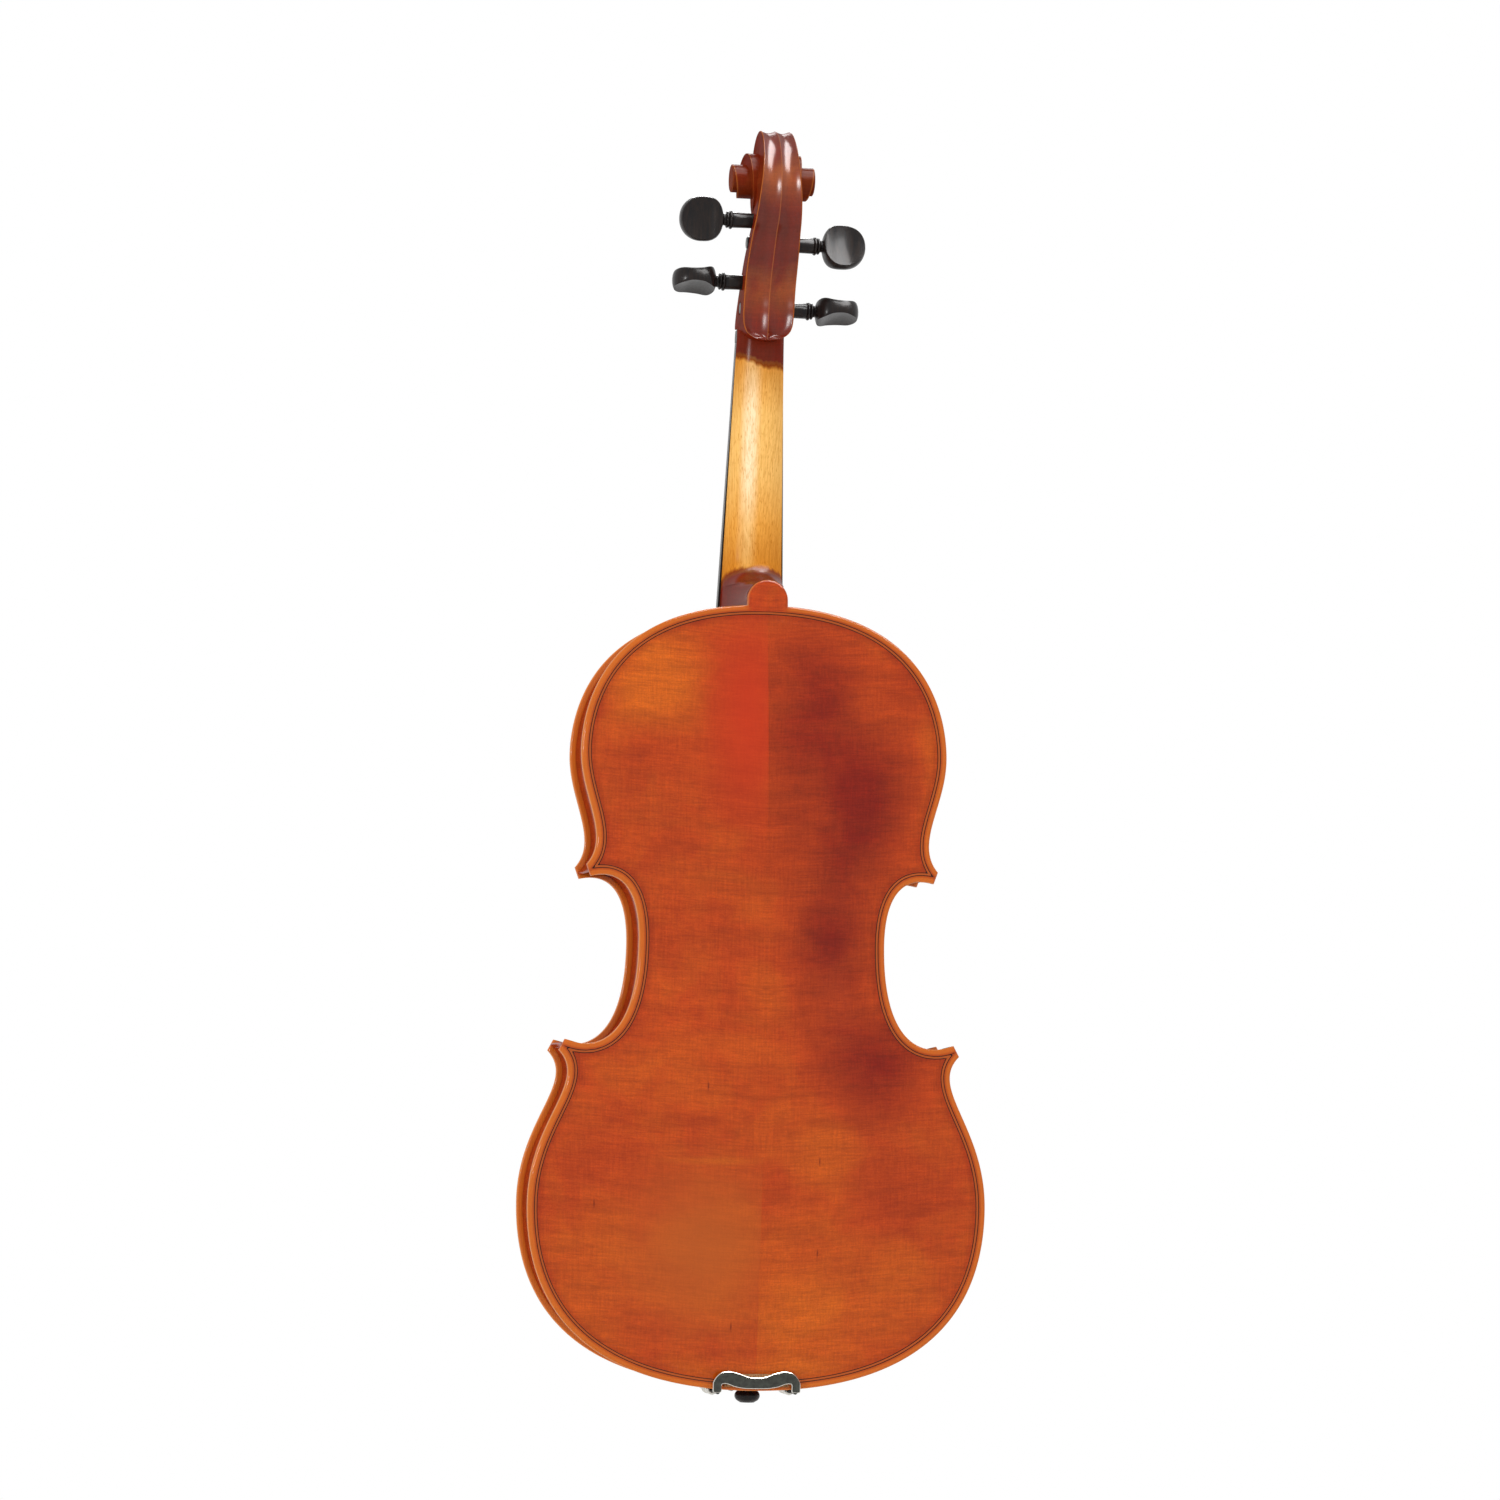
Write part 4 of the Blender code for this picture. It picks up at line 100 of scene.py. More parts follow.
def linear(hex_colour):
    """The linear colour of an sRGB hex value such as #C2562A."""
    values = [int(hex_colour[k:k + 2], 16) / 255 for k in (1, 3, 5)]
    return tuple(v / 12.92 if v <= 0.04045 else ((v + 0.055) / 1.055) ** 2.4 for v in values)


def colour_prop(name, description, hex_colour):
    return bpy.props.FloatVectorProperty(
        name=name, description=description, subtype="COLOR", size=3, min=0, max=1, default=linear(hex_colour)
    )


def size_prop(name, description, metres):
    return bpy.props.FloatProperty(name=name, description=description, default=metres, unit="LENGTH", precision=4)


class ViolaVarnish(bpy.types.PropertyGroup):
    """Colours of the varnished and bare wood."""

    amber: colour_prop("Amber", "Varnish where it is thin, over pale wood", "#C55A10")
    orange: colour_prop("Orange", "Varnish over most of the body", "#AF3D0C")
    red: colour_prop("Red", "Varnish where it is thick", "#811804")
    head: colour_prop("Head", "Varnish on pegbox, scroll and heel", "#6A2210")
    honey: colour_prop("Honey", "Thinner varnish in the middle of the pegbox", "#96481A")
    rim: colour_prop("Rim", "Worn edges outside the purfling", "#C0621C")
    neck: colour_prop("Neck", "Oiled bare maple of the neck", "#F0BC6C")
    spruce: colour_prop("Spruce", "Varnish over the spruce top", "#CF762F")
    bare: colour_prop("Bare wood", "Maple of the bridge and the inside", "#D9B57E")


class ViolaFittings(bpy.types.PropertyGroup):
    """Colours of the fittings."""

    ebony: colour_prop("Ebony", "Pegs, fingerboard, chinrest and button", "#131112")
    composite: colour_prop("Composite", "Moulded tailpiece", "#19191A")
    nickel: colour_prop("Nickel", "Clamp, levers and screws", "#C9C6BE")
    # Painted reflection: the clamp foot's flat face is painted this dark colour, as if its nickel mirrored a dark room.
    dark_plate: colour_prop("Dark plate", "Face of the clamp's foot", "#3E413B")
    wire: colour_prop("Wire", "Flat wire round the strings", "#B9B4AA")
    silk: colour_prop("Silk", "Thread on the strings' ends", "#5A2A52")
    cork: colour_prop("Cork", "Pads under the chinrest and clamp", "#A9794A")


class ViolaStage(bpy.types.PropertyGroup):
    """Camera and light."""

    distance: size_prop("Camera distance", "From the camera to the middle of the picture", 2.541)
    azimuth: bpy.props.FloatProperty(
        name="Azimuth", description="Way round the viola that the camera stands", subtype="ANGLE",
        default=math.radians(169.53))
    elevation: bpy.props.FloatProperty(
        name="Elevation", description="Height of the camera over the middle", subtype="ANGLE",
        default=math.radians(-4.1))
    roll: bpy.props.FloatProperty(
        name="Roll", description="Lean of the viola in the picture", subtype="ANGLE",
        default=math.radians(0.95))
    lens: bpy.props.FloatProperty(name="Lens", description="Focal length", default=117.4, unit="CAMERA")
    floor_drop: size_prop("Floor", "From the end button down to the floor", 0.45)


# Modelling


def bezier(p0, p1, p2, p3, steps):
    """Points of one cubic curve, both ends included."""
    t = np.linspace(0.0, 1.0, steps + 1)[:, None]
    p0, p1, p2, p3 = (np.array(p, float) for p in (p0, p1, p2, p3))
    return (1 - t) ** 3 * p0 + 3 * (1 - t) ** 2 * t * p1 + 3 * (1 - t) * t**2 * p2 + t**3 * p3


def inset(curve, distance):
    """A path moved to its right, which is into the body."""
    ahead = np.gradient(curve, axis=0)
    ahead /= np.linalg.norm(ahead, axis=1)[:, None]
    return curve + distance * np.stack([ahead[:, 1], -ahead[:, 0]], axis=1)


def lengthened(curve, reach=0.015):
    first = curve[0] - (curve[1] - curve[0]) * reach / np.linalg.norm(curve[1] - curve[0])
    last = curve[-1] + (curve[-1] - curve[-2]) * reach / np.linalg.norm(curve[-1] - curve[-2])
    return np.vstack([first, curve, last])


def smoothed(points, steps):
    """Points of a Catmull-Rom curve through rows of numbers."""
    points = np.array(points, float)
    padded = np.vstack([2 * points[0] - points[1], points, 2 * points[-1] - points[-2]])
    found = []
    for k in range(1, len(padded) - 2):
        a, b, c, d = padded[k - 1:k + 3]
        for t in np.linspace(0, 1, steps, endpoint=False):
            found.append(0.5 * (2 * b + (c - a) * t + (2 * a - 5 * b + 4 * c - d) * t**2
                                + (3 * b - a - 3 * c + d) * t**3))
    found.append(padded[-2])
    return np.array(found)


class Shape:
    """Vertices, faces and named vertex values of a mesh that is being built."""

    def __init__(self):
        self.verts, self.faces, self.values = [], [], {}

    def add(self, points, **values):
        start = len(self.verts)
        self.verts.extend(tuple(float(v) for v in point) for point in points)
        for name, numbers in values.items():
            listed = self.values.setdefault(name, [0.0] * start)
            listed.extend([0.0] * (start - len(listed)))
            listed.extend(float(v) for v in numbers)
        return start

    def grid(self, rows, closed=False, **values):
        """Faces between rows of points that have the same count. Values are given row by row."""
        count = len(rows[0])
        flat = {name: np.array(numbers, float).reshape(-1) for name, numbers in values.items()}
        start = self.add(np.array(rows, float).reshape(-1, 3), **flat)
        for i in range(len(rows) - 1):
            for j in range(count if closed else count - 1):
                after = (j + 1) % count
                a, b = start + i * count, start + (i + 1) * count
                self.faces.append((a + j, a + after, b + after, b + j))
        return start, count

    def tube(self, rings, **values):
        """A closed skin over rings of points, with a flat cap on each end."""
        start, count = self.grid(rings, True, **values)
        last = start + (len(rings) - 1) * count
        self.faces.append(tuple(range(start, start + count)))
        self.faces.append(tuple(range(last, last + count)))

    def mesh(self, name, weld=1e-6, sharp=32):
        """The shape as a mesh in the frame: doubles merged, faces outward, round forms smooth."""
        mesh = bpy.data.meshes.new(name)
        mesh.from_pydata(self.verts, [], self.faces)
        for value, numbers in self.values.items():
            layer = mesh.attributes.new(value, "FLOAT", "POINT")
            layer.data.foreach_set("value", list(numbers) + [0.0] * (len(self.verts) - len(numbers)))
        tidy(mesh, weld)
        mesh.transform(Matrix.Translation(OFFSET))
        shade(mesh, sharp)
        return mesh


def tidy(mesh, weld=1e-6):
    """Merge doubles, drop faces with no area and turn all faces outward."""
    bm = bmesh.new()
    bm.from_mesh(mesh)
    bmesh.ops.remove_doubles(bm, verts=bm.verts, dist=weld)
    bmesh.ops.recalc_face_normals(bm, faces=bm.faces)
    bm.to_mesh(mesh)
    bm.free()


def shade(mesh, sharp=32):
    mesh.shade_smooth()
    mesh.set_sharp_from_angle(angle=math.radians(sharp))


def linked(name, mesh):
    obj = bpy.data.objects.new(name, mesh)
    bpy.context.scene.collection.objects.link(obj)
    return obj


def finished(obj, material, nodes, body=ROOT):
    """Give a piece its material and its place on a body, in place of the CAD nodes that it stands for."""
    obj.data.materials.clear()
    obj.data.materials.append(material)
    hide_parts(*nodes)
    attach(obj, body)
    return obj


def applied(obj):
    """Turn an object with modifiers into one with a plain mesh."""
    graph = bpy.context.evaluated_depsgraph_get()
    mesh = bpy.data.meshes.new_from_object(obj.evaluated_get(graph))
    obj.modifiers.clear()
    obj.data = mesh
    return obj


def carved(obj, tools, operation="DIFFERENCE"):
    """Cut a piece with closed tools, or join them to it, and remove the tools."""
    for tool in tools:
        modifier = obj.modifiers.new("carve", "BOOLEAN")
        modifier.operation = operation
        modifier.object = tool
        modifier.solver = "MANIFOLD"
    applied(obj)
    for tool in tools:
        bpy.data.objects.remove(tool)
    return obj


def tool(name, rings):
    shape = Shape()
    shape.tube(rings)
    return linked(name, shape.mesh(name))


def pushed(outline, low, high, axis):
    """Two rings: a flat outline at both ends of its push along an axis."""
    return [[np.insert(np.array(point, float), axis, end) for point in outline] for end in (low, high)]


def round_ring(centre, radius, axis, steps):
    """A circle of points round one of the three axes."""
    turns = np.linspace(0, 2 * math.pi, steps, endpoint=False)
    flat = np.stack([np.cos(turns), np.sin(turns)], axis=1) * radius
    ring = np.insert(flat, axis, 0.0, axis=1)
    return ring + np.array(centre, float)


def add(tree, kind, *given, points=(), take=0, **settings):
    """Add one node with its settings, ramp points and inputs, and return one of the outputs that it then has.

    The inputs, values or links, come in order or in one dictionary by name. A list is linked one by one.
    """
    node = tree.nodes.new(kind if kind.startswith(("Geometry", "NodeGroup")) else "ShaderNode" + kind)
    for name, value in settings.items():
        setattr(node, name, value)
    for k, (position, colour) in enumerate(points):
        element = node.color_ramp.elements[k] if k < 2 else node.color_ramp.elements.new(position)
        element.position, element.color = position, (*colour, 1.0)
    named = given[0] if given and isinstance(given[0], dict) else {}
    in_order = {} if named else zip([socket for socket in node.inputs if socket.enabled], given)
    for socket, value in [*((node.inputs[name], value) for name, value in named.items()), *in_order]:
        for one in value if isinstance(value, list) else [value]:
            if isinstance(one, bpy.types.NodeSocket):
                tree.links.new(one, socket)
            else:
                socket.default_value = (*one, 1.0) if socket.type == "RGBA" else one
    return node.outputs[take] if isinstance(take, str) else next(iter(s for s in node.outputs if s.enabled), None)


def new_material(name, **sockets):
    material = bpy.data.materials.new(name)
    material.use_nodes = True
    shader = material.node_tree.nodes["Principled BSDF"]
    for key, value in sockets.items():
        shader.inputs[key.replace("_", " ")].default_value = value
    return material, material.node_tree, shader


def grey(value):
    return (value, value, value)


def curl(tree, place, scale, stretch, detail=3.0, distortion=0.4):
    """Noise on stretched Object coordinates."""
    mapping = add(tree, "Mapping", {"Vector": place, "Scale": stretch})
    return add(
        tree, "TexNoise",
        {"Vector": mapping, "Scale": scale, "Detail": detail, "Distortion": distortion})


def patch(tree, place, centre, reach, strength):
    """A soft round factor about a place. It is used for patches of varnish, for flecks, and for painted light and
    shade.
    """
    flat = add(
        tree, "Mapping",
        {
            "Vector": place, "Location": tuple(-c / r if r else 0.0 for c, r in zip(centre, reach)),
            "Scale": tuple(1 / r if r else 0.0 for r in reach)})
    away = add(tree, "VectorMath", {0: flat}, operation="LENGTH")
    return add(
        tree, "MapRange",
        {"Value": away, "From Min": 1.0, "From Max": 0.0, "To Min": 0.0, "To Max": strength},
        interpolation_type="SMOOTHSTEP")


# The body's outline and arching


def corner_points(x, height, lean, below):
    """The two ends of a corner's cut edge: the one on the bout, and the one on the waist."""
    reach = CORNER_WIDTH / 2 * np.array([math.sin(lean), math.cos(lean)])
    if below:
        reach[0] = -reach[0]
        return np.array([x, height]) - reach, np.array([x, height]) + reach
    return np.array([x, height]) + reach, np.array([x, height]) - reach


UPPER_BOUT_TIP, WAIST_UPPER_TIP = corner_points(UPPER_CORNER_X, UPPER_CORNER_HEIGHT, UPPER_CORNER_LEAN, False)
LOWER_BOUT_TIP, WAIST_LOWER_TIP = corner_points(LOWER_CORNER_X, LOWER_CORNER_HEIGHT, LOWER_CORNER_LEAN, True)


def half_outline(fine):
    """The treble half of the plates' edge in (x, z): upper bout, waist and lower bout, top to bottom."""
    upper = np.array([UPPER_HALF_WIDTH, UPPER_WIDTH_HEIGHT])
    waist = np.array([WAIST_HALF_WIDTH, WAIST_HEIGHT])
    lower = np.array([LOWER_HALF_WIDTH, LOWER_WIDTH_HEIGHT])
    over, under = BODY_LENGTH - UPPER_WIDTH_HEIGHT, UPPER_WIDTH_HEIGHT - UPPER_CORNER_HEIGHT
    above, below = UPPER_CORNER_HEIGHT - WAIST_HEIGHT, WAIST_HEIGHT - LOWER_CORNER_HEIGHT
    fall = LOWER_CORNER_HEIGHT - LOWER_WIDTH_HEIGHT
    upper_bout = np.vstack([
        bezier((0, BODY_LENGTH), (UPPER_HALF_WIDTH * 0.913, BODY_LENGTH), upper + (0, over * 0.257), upper,
               9 * fine)[:-1],
        bezier(upper, upper - (0, under * 0.388), UPPER_BOUT_TIP + (-0.21 * under, 0.24 * under),
               UPPER_BOUT_TIP, 5 * fine),
    ])
    waist_bout = np.vstack([
        bezier(WAIST_UPPER_TIP, WAIST_UPPER_TIP + (-0.556 * above, 0.139 * above),
               waist + (0, above * 0.569), waist, 5 * fine)[:-1],
        bezier(waist, waist - (0, below * 0.965), WAIST_LOWER_TIP - (0.288 * below, 0.117 * below),
               WAIST_LOWER_TIP, 6 * fine),
    ])
    lower_bout = np.vstack([
        bezier(LOWER_BOUT_TIP, LOWER_BOUT_TIP - (0.202 * fall, 0.206 * fall), lower + (0, fall * 0.528),
               lower, 6 * fine)[:-1],
        bezier(lower, lower * (1, 0.313), (LOWER_HALF_WIDTH * 0.613, 0), (0, 0), 9 * fine),
    ])
    return upper_bout, waist_bout, lower_bout


UPPER_BOUT, WAIST_BOUT, LOWER_BOUT = half_outline(6)
PURFLED = [
    np.vstack([UPPER_BOUT, lengthened(UPPER_BOUT)[-1:]]),
    lengthened(WAIST_BOUT),
    np.vstack([lengthened(LOWER_BOUT)[:1], LOWER_BOUT]),
]


def arch_boundary(distance):
    """Half widths and heights of the line that the arching rises from, without the corners."""
    upper = np.array([UPPER_HALF_WIDTH, UPPER_WIDTH_HEIGHT])
    waist = np.array([WAIST_HALF_WIDTH, (WAIST_HEIGHT + LOWER_CORNER_HEIGHT + UPPER_CORNER_HEIGHT) / 3])
    lower = np.array([LOWER_HALF_WIDTH, LOWER_WIDTH_HEIGHT])
    rise, fall = upper[1] - waist[1], waist[1] - lower[1]
    path = np.vstack([
        bezier((0, BODY_LENGTH), (UPPER_HALF_WIDTH * 0.913, BODY_LENGTH),
               upper + (0, (BODY_LENGTH - UPPER_WIDTH_HEIGHT) * 0.257), upper, 96)[:-1],
        bezier(upper, upper - (0, rise * 0.45), waist + (0, rise * 0.40), waist, 96)[:-1],
        bezier(waist, waist - (0, fall * 0.42), lower + (0, fall * 0.38), lower, 96)[:-1],
        bezier(lower, lower * (1, 0.313), (LOWER_HALF_WIDTH * 0.613, 0), (0, 0), 96),
    ])
    moved = inset(path, distance)
    moved[:, 0] = np.maximum(moved[:, 0], 0.0)
    return moved[np.argsort(moved[:, 1])]


ARCH_LINES = {distance: arch_boundary(distance) for distance in (CHANNEL_INSET, INSIDE_INSET)}


def arch_share(x, z, distance):
    """How much of the full arch height a plate has at each place, from 0 in the channel to 1."""
    line = ARCH_LINES[distance]
    low, high = line[0, 1], line[-1, 1]
    half_width = np.maximum(np.interp(z, line[:, 1], line[:, 0]), 1e-6)
    across = np.minimum(np.abs(x) / half_width, 1.0)
    length = np.minimum(np.abs(2 * (z - low) / (high - low) - 1), 1.0)
    return (1 + np.cos(math.pi * across**1.3)) / 2 * (1 - length**2.8) ** 1.2


def distance_to_path(x, z, path):
    """Least distance from each place to a path of straight steps."""
    places = np.stack([x, z], axis=-1)
    least = np.full(places.shape[:-1], 1.0)
    for a, b in zip(path, path[1:]):
        step = b - a
        share = np.clip((places - a) @ step / (step @ step), 0, 1)
        least = np.minimum(least, np.linalg.norm(places - a - share[..., None] * step, axis=-1))
    return least


def inset_of(x, z):
    """How far inside the edge each place is, with the bouts' edges carried on past the corners."""
    return np.min([distance_to_path(np.abs(x), z, path) for path in PURFLED], axis=0)


def outer_height(x, z, arch, edge_inset=None):
    """Height of a plate's outer face over the ribs, with the scoop that the purfling lies in."""
    x, z = np.asarray(x, float), np.asarray(z, float)
    flat = EDGE_THICKNESS + (arch - EDGE_THICKNESS) * arch_share(x, z, CHANNEL_INSET)
    if edge_inset is None:
        return flat
    return flat - EDGE_SCOOP_DEPTH * np.exp(-(((edge_inset - EDGE_SCOOP_INSET) / 0.0022) ** 2))


def inner_height(x, z, arch, thickness):
    return (arch - thickness) * arch_share(x, z, INSIDE_INSET)


def edge_line():
    """The whole half edge with, for each point, the height on the centre joint that it is ruled to."""
    upper_end, waist_start = UPPER_CORNER_HEIGHT + CORNER_WIDTH * 4.1, UPPER_CORNER_HEIGHT + CORNER_WIDTH * 3.1
    waist_end, lower_start = LOWER_CORNER_HEIGHT - CORNER_WIDTH * 4.0, LOWER_CORNER_HEIGHT - CORNER_WIDTH * 5.0
    upper, waist, lower = (np.linspace(0, 1, len(line)) for line in (UPPER_BOUT, WAIST_BOUT, LOWER_BOUT))
    joint = [
        np.interp(upper, [0, 0.5, 1], [BODY_LENGTH * 0.97, UPPER_WIDTH_HEIGHT, upper_end]),
        np.linspace(upper_end, waist_start, 8)[1:-1],
        np.interp(waist, [0, 0.5, 1], [waist_start, WAIST_HEIGHT - CORNER_WIDTH * 0.7, waist_end]),
        np.linspace(waist_end, lower_start, 8)[1:-1],
        np.interp(lower, [0, 0.4, 1], [lower_start, LOWER_WIDTH_HEIGHT, BODY_LENGTH * 0.03]),
    ]
    corners = [np.linspace(a, b, 8)[1:-1] for a, b in ((UPPER_BOUT_TIP, WAIST_UPPER_TIP),
                                                      (WAIST_LOWER_TIP, LOWER_BOUT_TIP))]
    edge = np.vstack([UPPER_BOUT, corners[0], WAIST_BOUT, corners[1], LOWER_BOUT])
    return edge, np.concatenate(joint)


def half_plate(name, side, arch, thickness, outward):
    """One half of the top or the back, with its rounded edge, as an object without its material."""
    edge, joint = edge_line()
    base = 0.0 if outward > 0 else -RIB_HEIGHT
    middle = np.stack([np.zeros(len(joint)), joint], axis=1)
    reach = np.linalg.norm(edge - middle, axis=1)
    shrink = np.minimum(reach / 0.03, 1.0)[:, None]
    rounding = 0.0016
    turns = np.radians([90, 70, 50, 32, 15, 0])
    rim = rounding * (1 - np.cos(turns))
    fall = rounding * (1 - np.sin(turns))
    near = np.array([1.9, 2.3, 2.8, 3.3, 3.8, 4.3, 4.8, 5.4, 6.0, 6.8, 7.8, 9.0, 10.5, 12.5]) / 1000
    first = 1 - near[-1] * shrink / reach[:, None]
    outer = np.hstack([
        first * np.linspace(0, 1, 24)[:-1], 1 - near[::-1] * shrink / reach[:, None],
        1 - rim * shrink / reach[:, None],
    ])
    inner = np.hstack([
        1 - rim[::-1] * 0.6 * shrink / reach[:, None], first * np.linspace(1, 0, 14),
    ])
    rings = []
    for shares, outside in ((outer, True), (inner, False)):
        places = middle[:, None] + (edge - middle)[:, None] * shares[:, :, None]
        x, z = places[..., 0], places[..., 1]
        if outside:
            height = outer_height(x, z, arch, inset_of(x, z))
            height[:, -len(turns):] -= fall
        else:
            height = inner_height(x, z, arch, thickness)
            height[:, :len(turns)] += fall[::-1] * 0.6
        rings.append(np.stack([side * (x + 0.00001), base + outward * height, z], axis=-1))
    shape = Shape()
    shape.tube(np.concatenate(rings, axis=1))
    return linked(name, shape.mesh(name, weld=2e-7))


def measured(mesh):
    """Write each point's distance from the body's edge, for the purfling and the wear to follow."""
    count = len(mesh.vertices)
    place = np.empty(count * 3)
    mesh.vertices.foreach_get("co", place)
    place = place.reshape(-1, 3) - np.array(OFFSET)
    found = np.full(count, 1.0)
    for k in range(0, count, 20000):
        found[k:k + 20000] = inset_of(place[k:k + 20000, 0], place[k:k + 20000, 2])
    over_edge = place[:, 2] - BODY_LENGTH
    tab = (np.abs(place[:, 0]) < BUTTON_WIDTH / 2 + 0.0002) & (over_edge > -PURFLING_INSET + PURFLING_WIDTH / 2)
    round_part = np.hypot(place[:, 0], np.maximum(over_edge - BUTTON_HEIGHT + BUTTON_WIDTH / 2, 0))
    found = np.where(tab, np.clip(BUTTON_WIDTH / 2 - round_part, 0.0, 0.0031), found)
    for label, values in (("inset", found), ("tab", tab)):
        layer = mesh.attributes.get(label) or mesh.attributes.new(label, "FLOAT", "POINT")
        layer.data.foreach_set("value", values.astype(np.float32))


def f_hole_tools(side):
    """The tools that saw one sound hole: its curved stem, its two eyes and its two nicks."""
    eye_up = np.array([0.0250, F_HOLE_HEIGHT + 0.0320])
    eye_low = np.array([0.0600, F_HOLE_HEIGHT - 0.0330])
    middle = np.array([0.0430, F_HOLE_HEIGHT])
    upper = bezier(eye_up + (0.0005, 0.004), (0.0275, eye_up[1] + 0.0135),
                   (0.0375, eye_up[1] + 0.0090), middle, 40)
    lower = bezier(middle, (0.0485, eye_low[1] - 0.0090), (0.0585, eye_low[1] - 0.0135),
                   eye_low - (0.0005, 0.004), 40)
    centre = np.vstack([upper[:-1], lower])
    ahead = np.gradient(centre, axis=0)
    ahead /= np.linalg.norm(ahead, axis=1)[:, None]
    share = np.sin(np.linspace(0, math.pi, len(centre))) ** 1.5
    half = (0.0008 + (F_HOLE_STEM_WIDTH / 2 - 0.0008) * share)[:, None]
    beside = np.stack([ahead[:, 1], -ahead[:, 0]], axis=1) * half
    outline = np.vstack([centre + beside, (centre - beside)[::-1]]) * (side, 1)
    far, near = -RIB_HEIGHT - TOP_ARCH - 0.01, -RIB_HEIGHT + 0.01
    tools = [tool("stem", pushed(outline, far, near, 1))]
    for place, diameter in ((eye_up, F_HOLE_UPPER_EYE), (eye_low, F_HOLE_LOWER_EYE)):
        ring = round_ring((place[0] * side, 0, place[1]), diameter / 2, 1, 48)
        tools.append(tool("eye", [ring + (0, far, 0), ring + (0, near, 0)]))
    nick = [(side * (middle[0] + dx), middle[1] + dz)
            for dx, dz in ((-0.0050, 0), (0, -0.0007), (0.0050, 0), (0, 0.0007))]
    tools.append(tool("nicks", pushed(nick, far, near, 1)))
    return tools


def neck_half_width(z):
    """Half width of the neck at the fingerboard."""
    nut = BODY_LENGTH + NECK_LENGTH
    return float(np.interp(z, [BODY_LENGTH, nut], [NECK_WIDTH_AT_BODY / 2, NECK_WIDTH_AT_NUT / 2]))


def glue_plane_y(z):
    """Where the fingerboard is glued to the neck."""
    return -RIB_HEIGHT - EDGE_THICKNESS - OVERSTAND + NECK_TILT * (z - BODY_LENGTH)


HEAD_Z = BODY_LENGTH + NECK_LENGTH + NUT_LENGTH
HEAD_Y = glue_plane_y(HEAD_Z)
EYE_HEIGHT, EYE_Y = HEAD_Z + EYE_REACH, HEAD_Y + EYE_BACK


def neck_section(z, grow=0.0, steps=24):
    """One cross section of the neck: flat at the fingerboard, and an ellipse, or the heel's flat U."""
    glue = glue_plane_y(z) - grow
    plain = float(np.interp(z, [BODY_LENGTH, BODY_LENGTH + NECK_LENGTH],
                            [NECK_DEPTH_AT_HEEL, NECK_DEPTH_AT_NUT]))
    top = BODY_LENGTH + BUTTON_HEIGHT
    risen = max(0.0, z - top + 0.0022) / HEEL_TOP_REACH
    heel = max(0.0, 1.04 - math.hypot(risen, 0.04)) ** 8
    full = -glue_plane_y(z) - 0.00005
    depth = plain + (full - plain) * heel
    width = neck_half_width(z)
    button = BUTTON_WIDTH / 2
    over = min(max(z - top + button, 0.0), button)
    bottom = max(math.sqrt(button**2 - over**2), 0.0004)
    straight_share = (1 - over / button) ** 0.6
    ring = []
    for step in range(steps + 1):
        share = math.sin(math.pi / 2 * step / steps)
        rounded = width * math.sqrt(1 - share**2)
        straight = width + (bottom - width) * share
        x = max(rounded * (1 - straight_share) + straight * straight_share, bottom)
        ring.append((x + grow, glue + depth * share + (2 * grow if step == steps else 0), z))
    return ring + [(-x, y, z) for x, y, z in reversed(ring)]


def neck_root_tool(name):
    low = BODY_LENGTH - MORTISE_DEPTH
    section = neck_section(BODY_LENGTH, 0.00005)
    return tool(name, [[(x, y, z) for x, y, _ in section] for z in (low, BODY_LENGTH + 0.012)])


def along(curve, start, end):
    """The part of a path between two distances along it."""
    walked = np.concatenate([[0.0], np.cumsum(np.linalg.norm(np.diff(curve, axis=0), axis=1))])
    marks = np.unique(np.concatenate([[start], walked[(walked > start) & (walked < end)], [end]]))
    return np.stack([np.interp(marks, walked, curve[:, k]) for k in range(curve.shape[1])], axis=1)


def path_length(curve):
    return float(np.linalg.norm(np.diff(curve, axis=0), axis=1).sum())


def meeting(first, second):
    """How far along the first path it crosses the second, and how far along the second."""
    walked = 0.0
    for a, b in zip(first, first[1:]):
        along_second = 0.0
        for c, d in zip(second, second[1:]):
            sides = np.array([b - a, c - d]).T
            if abs(np.linalg.det(sides)) > 1e-14:
                s, t = np.linalg.solve(sides, c - a)
                if 0 <= s <= 1 and 0 <= t <= 1:
                    return walked + s * np.linalg.norm(b - a), along_second + t * np.linalg.norm(d - c)
            along_second += np.linalg.norm(d - c)
        walked += np.linalg.norm(b - a)
    raise ValueError("the two paths do not cross")


def rib_paths():
    """The outer face of the upper, waist and lower rib on the treble side, in (x, z)."""
    lines = [inset(path, OVERHANG) for path in (UPPER_BOUT, WAIST_BOUT, LOWER_BOUT)]
    upper, waist, lower = lines[0], lengthened(lines[1]), lines[2]
    upper = np.vstack([upper, lengthened(upper)[-1:]])
    lower = np.vstack([lengthened(lower)[:1], lower])
    upper_end, waist_start = meeting(upper, waist)
    waist_end, lower_start = meeting(waist, lower)
    lap = 0.0019
    return (
        along(upper, 0.00001, upper_end - 0.0001),
        along(waist, waist_start + lap, waist_end - lap),
        along(lower, lower_start + 0.0001, path_length(lower) - 0.00001),
    )


def strip_rings(path, thickness, low, high, side):
    """Rings of a bent strip of wood, whose outer face follows the path."""
    inside = inset(path, thickness)
    return [
        [(side * a[0], low, a[1]), (side * a[0], high, a[1]), (side * b[0], high, b[1]), (side * b[0], low, b[1])]
        for a, b in zip(path, inside)
    ]


# The scroll


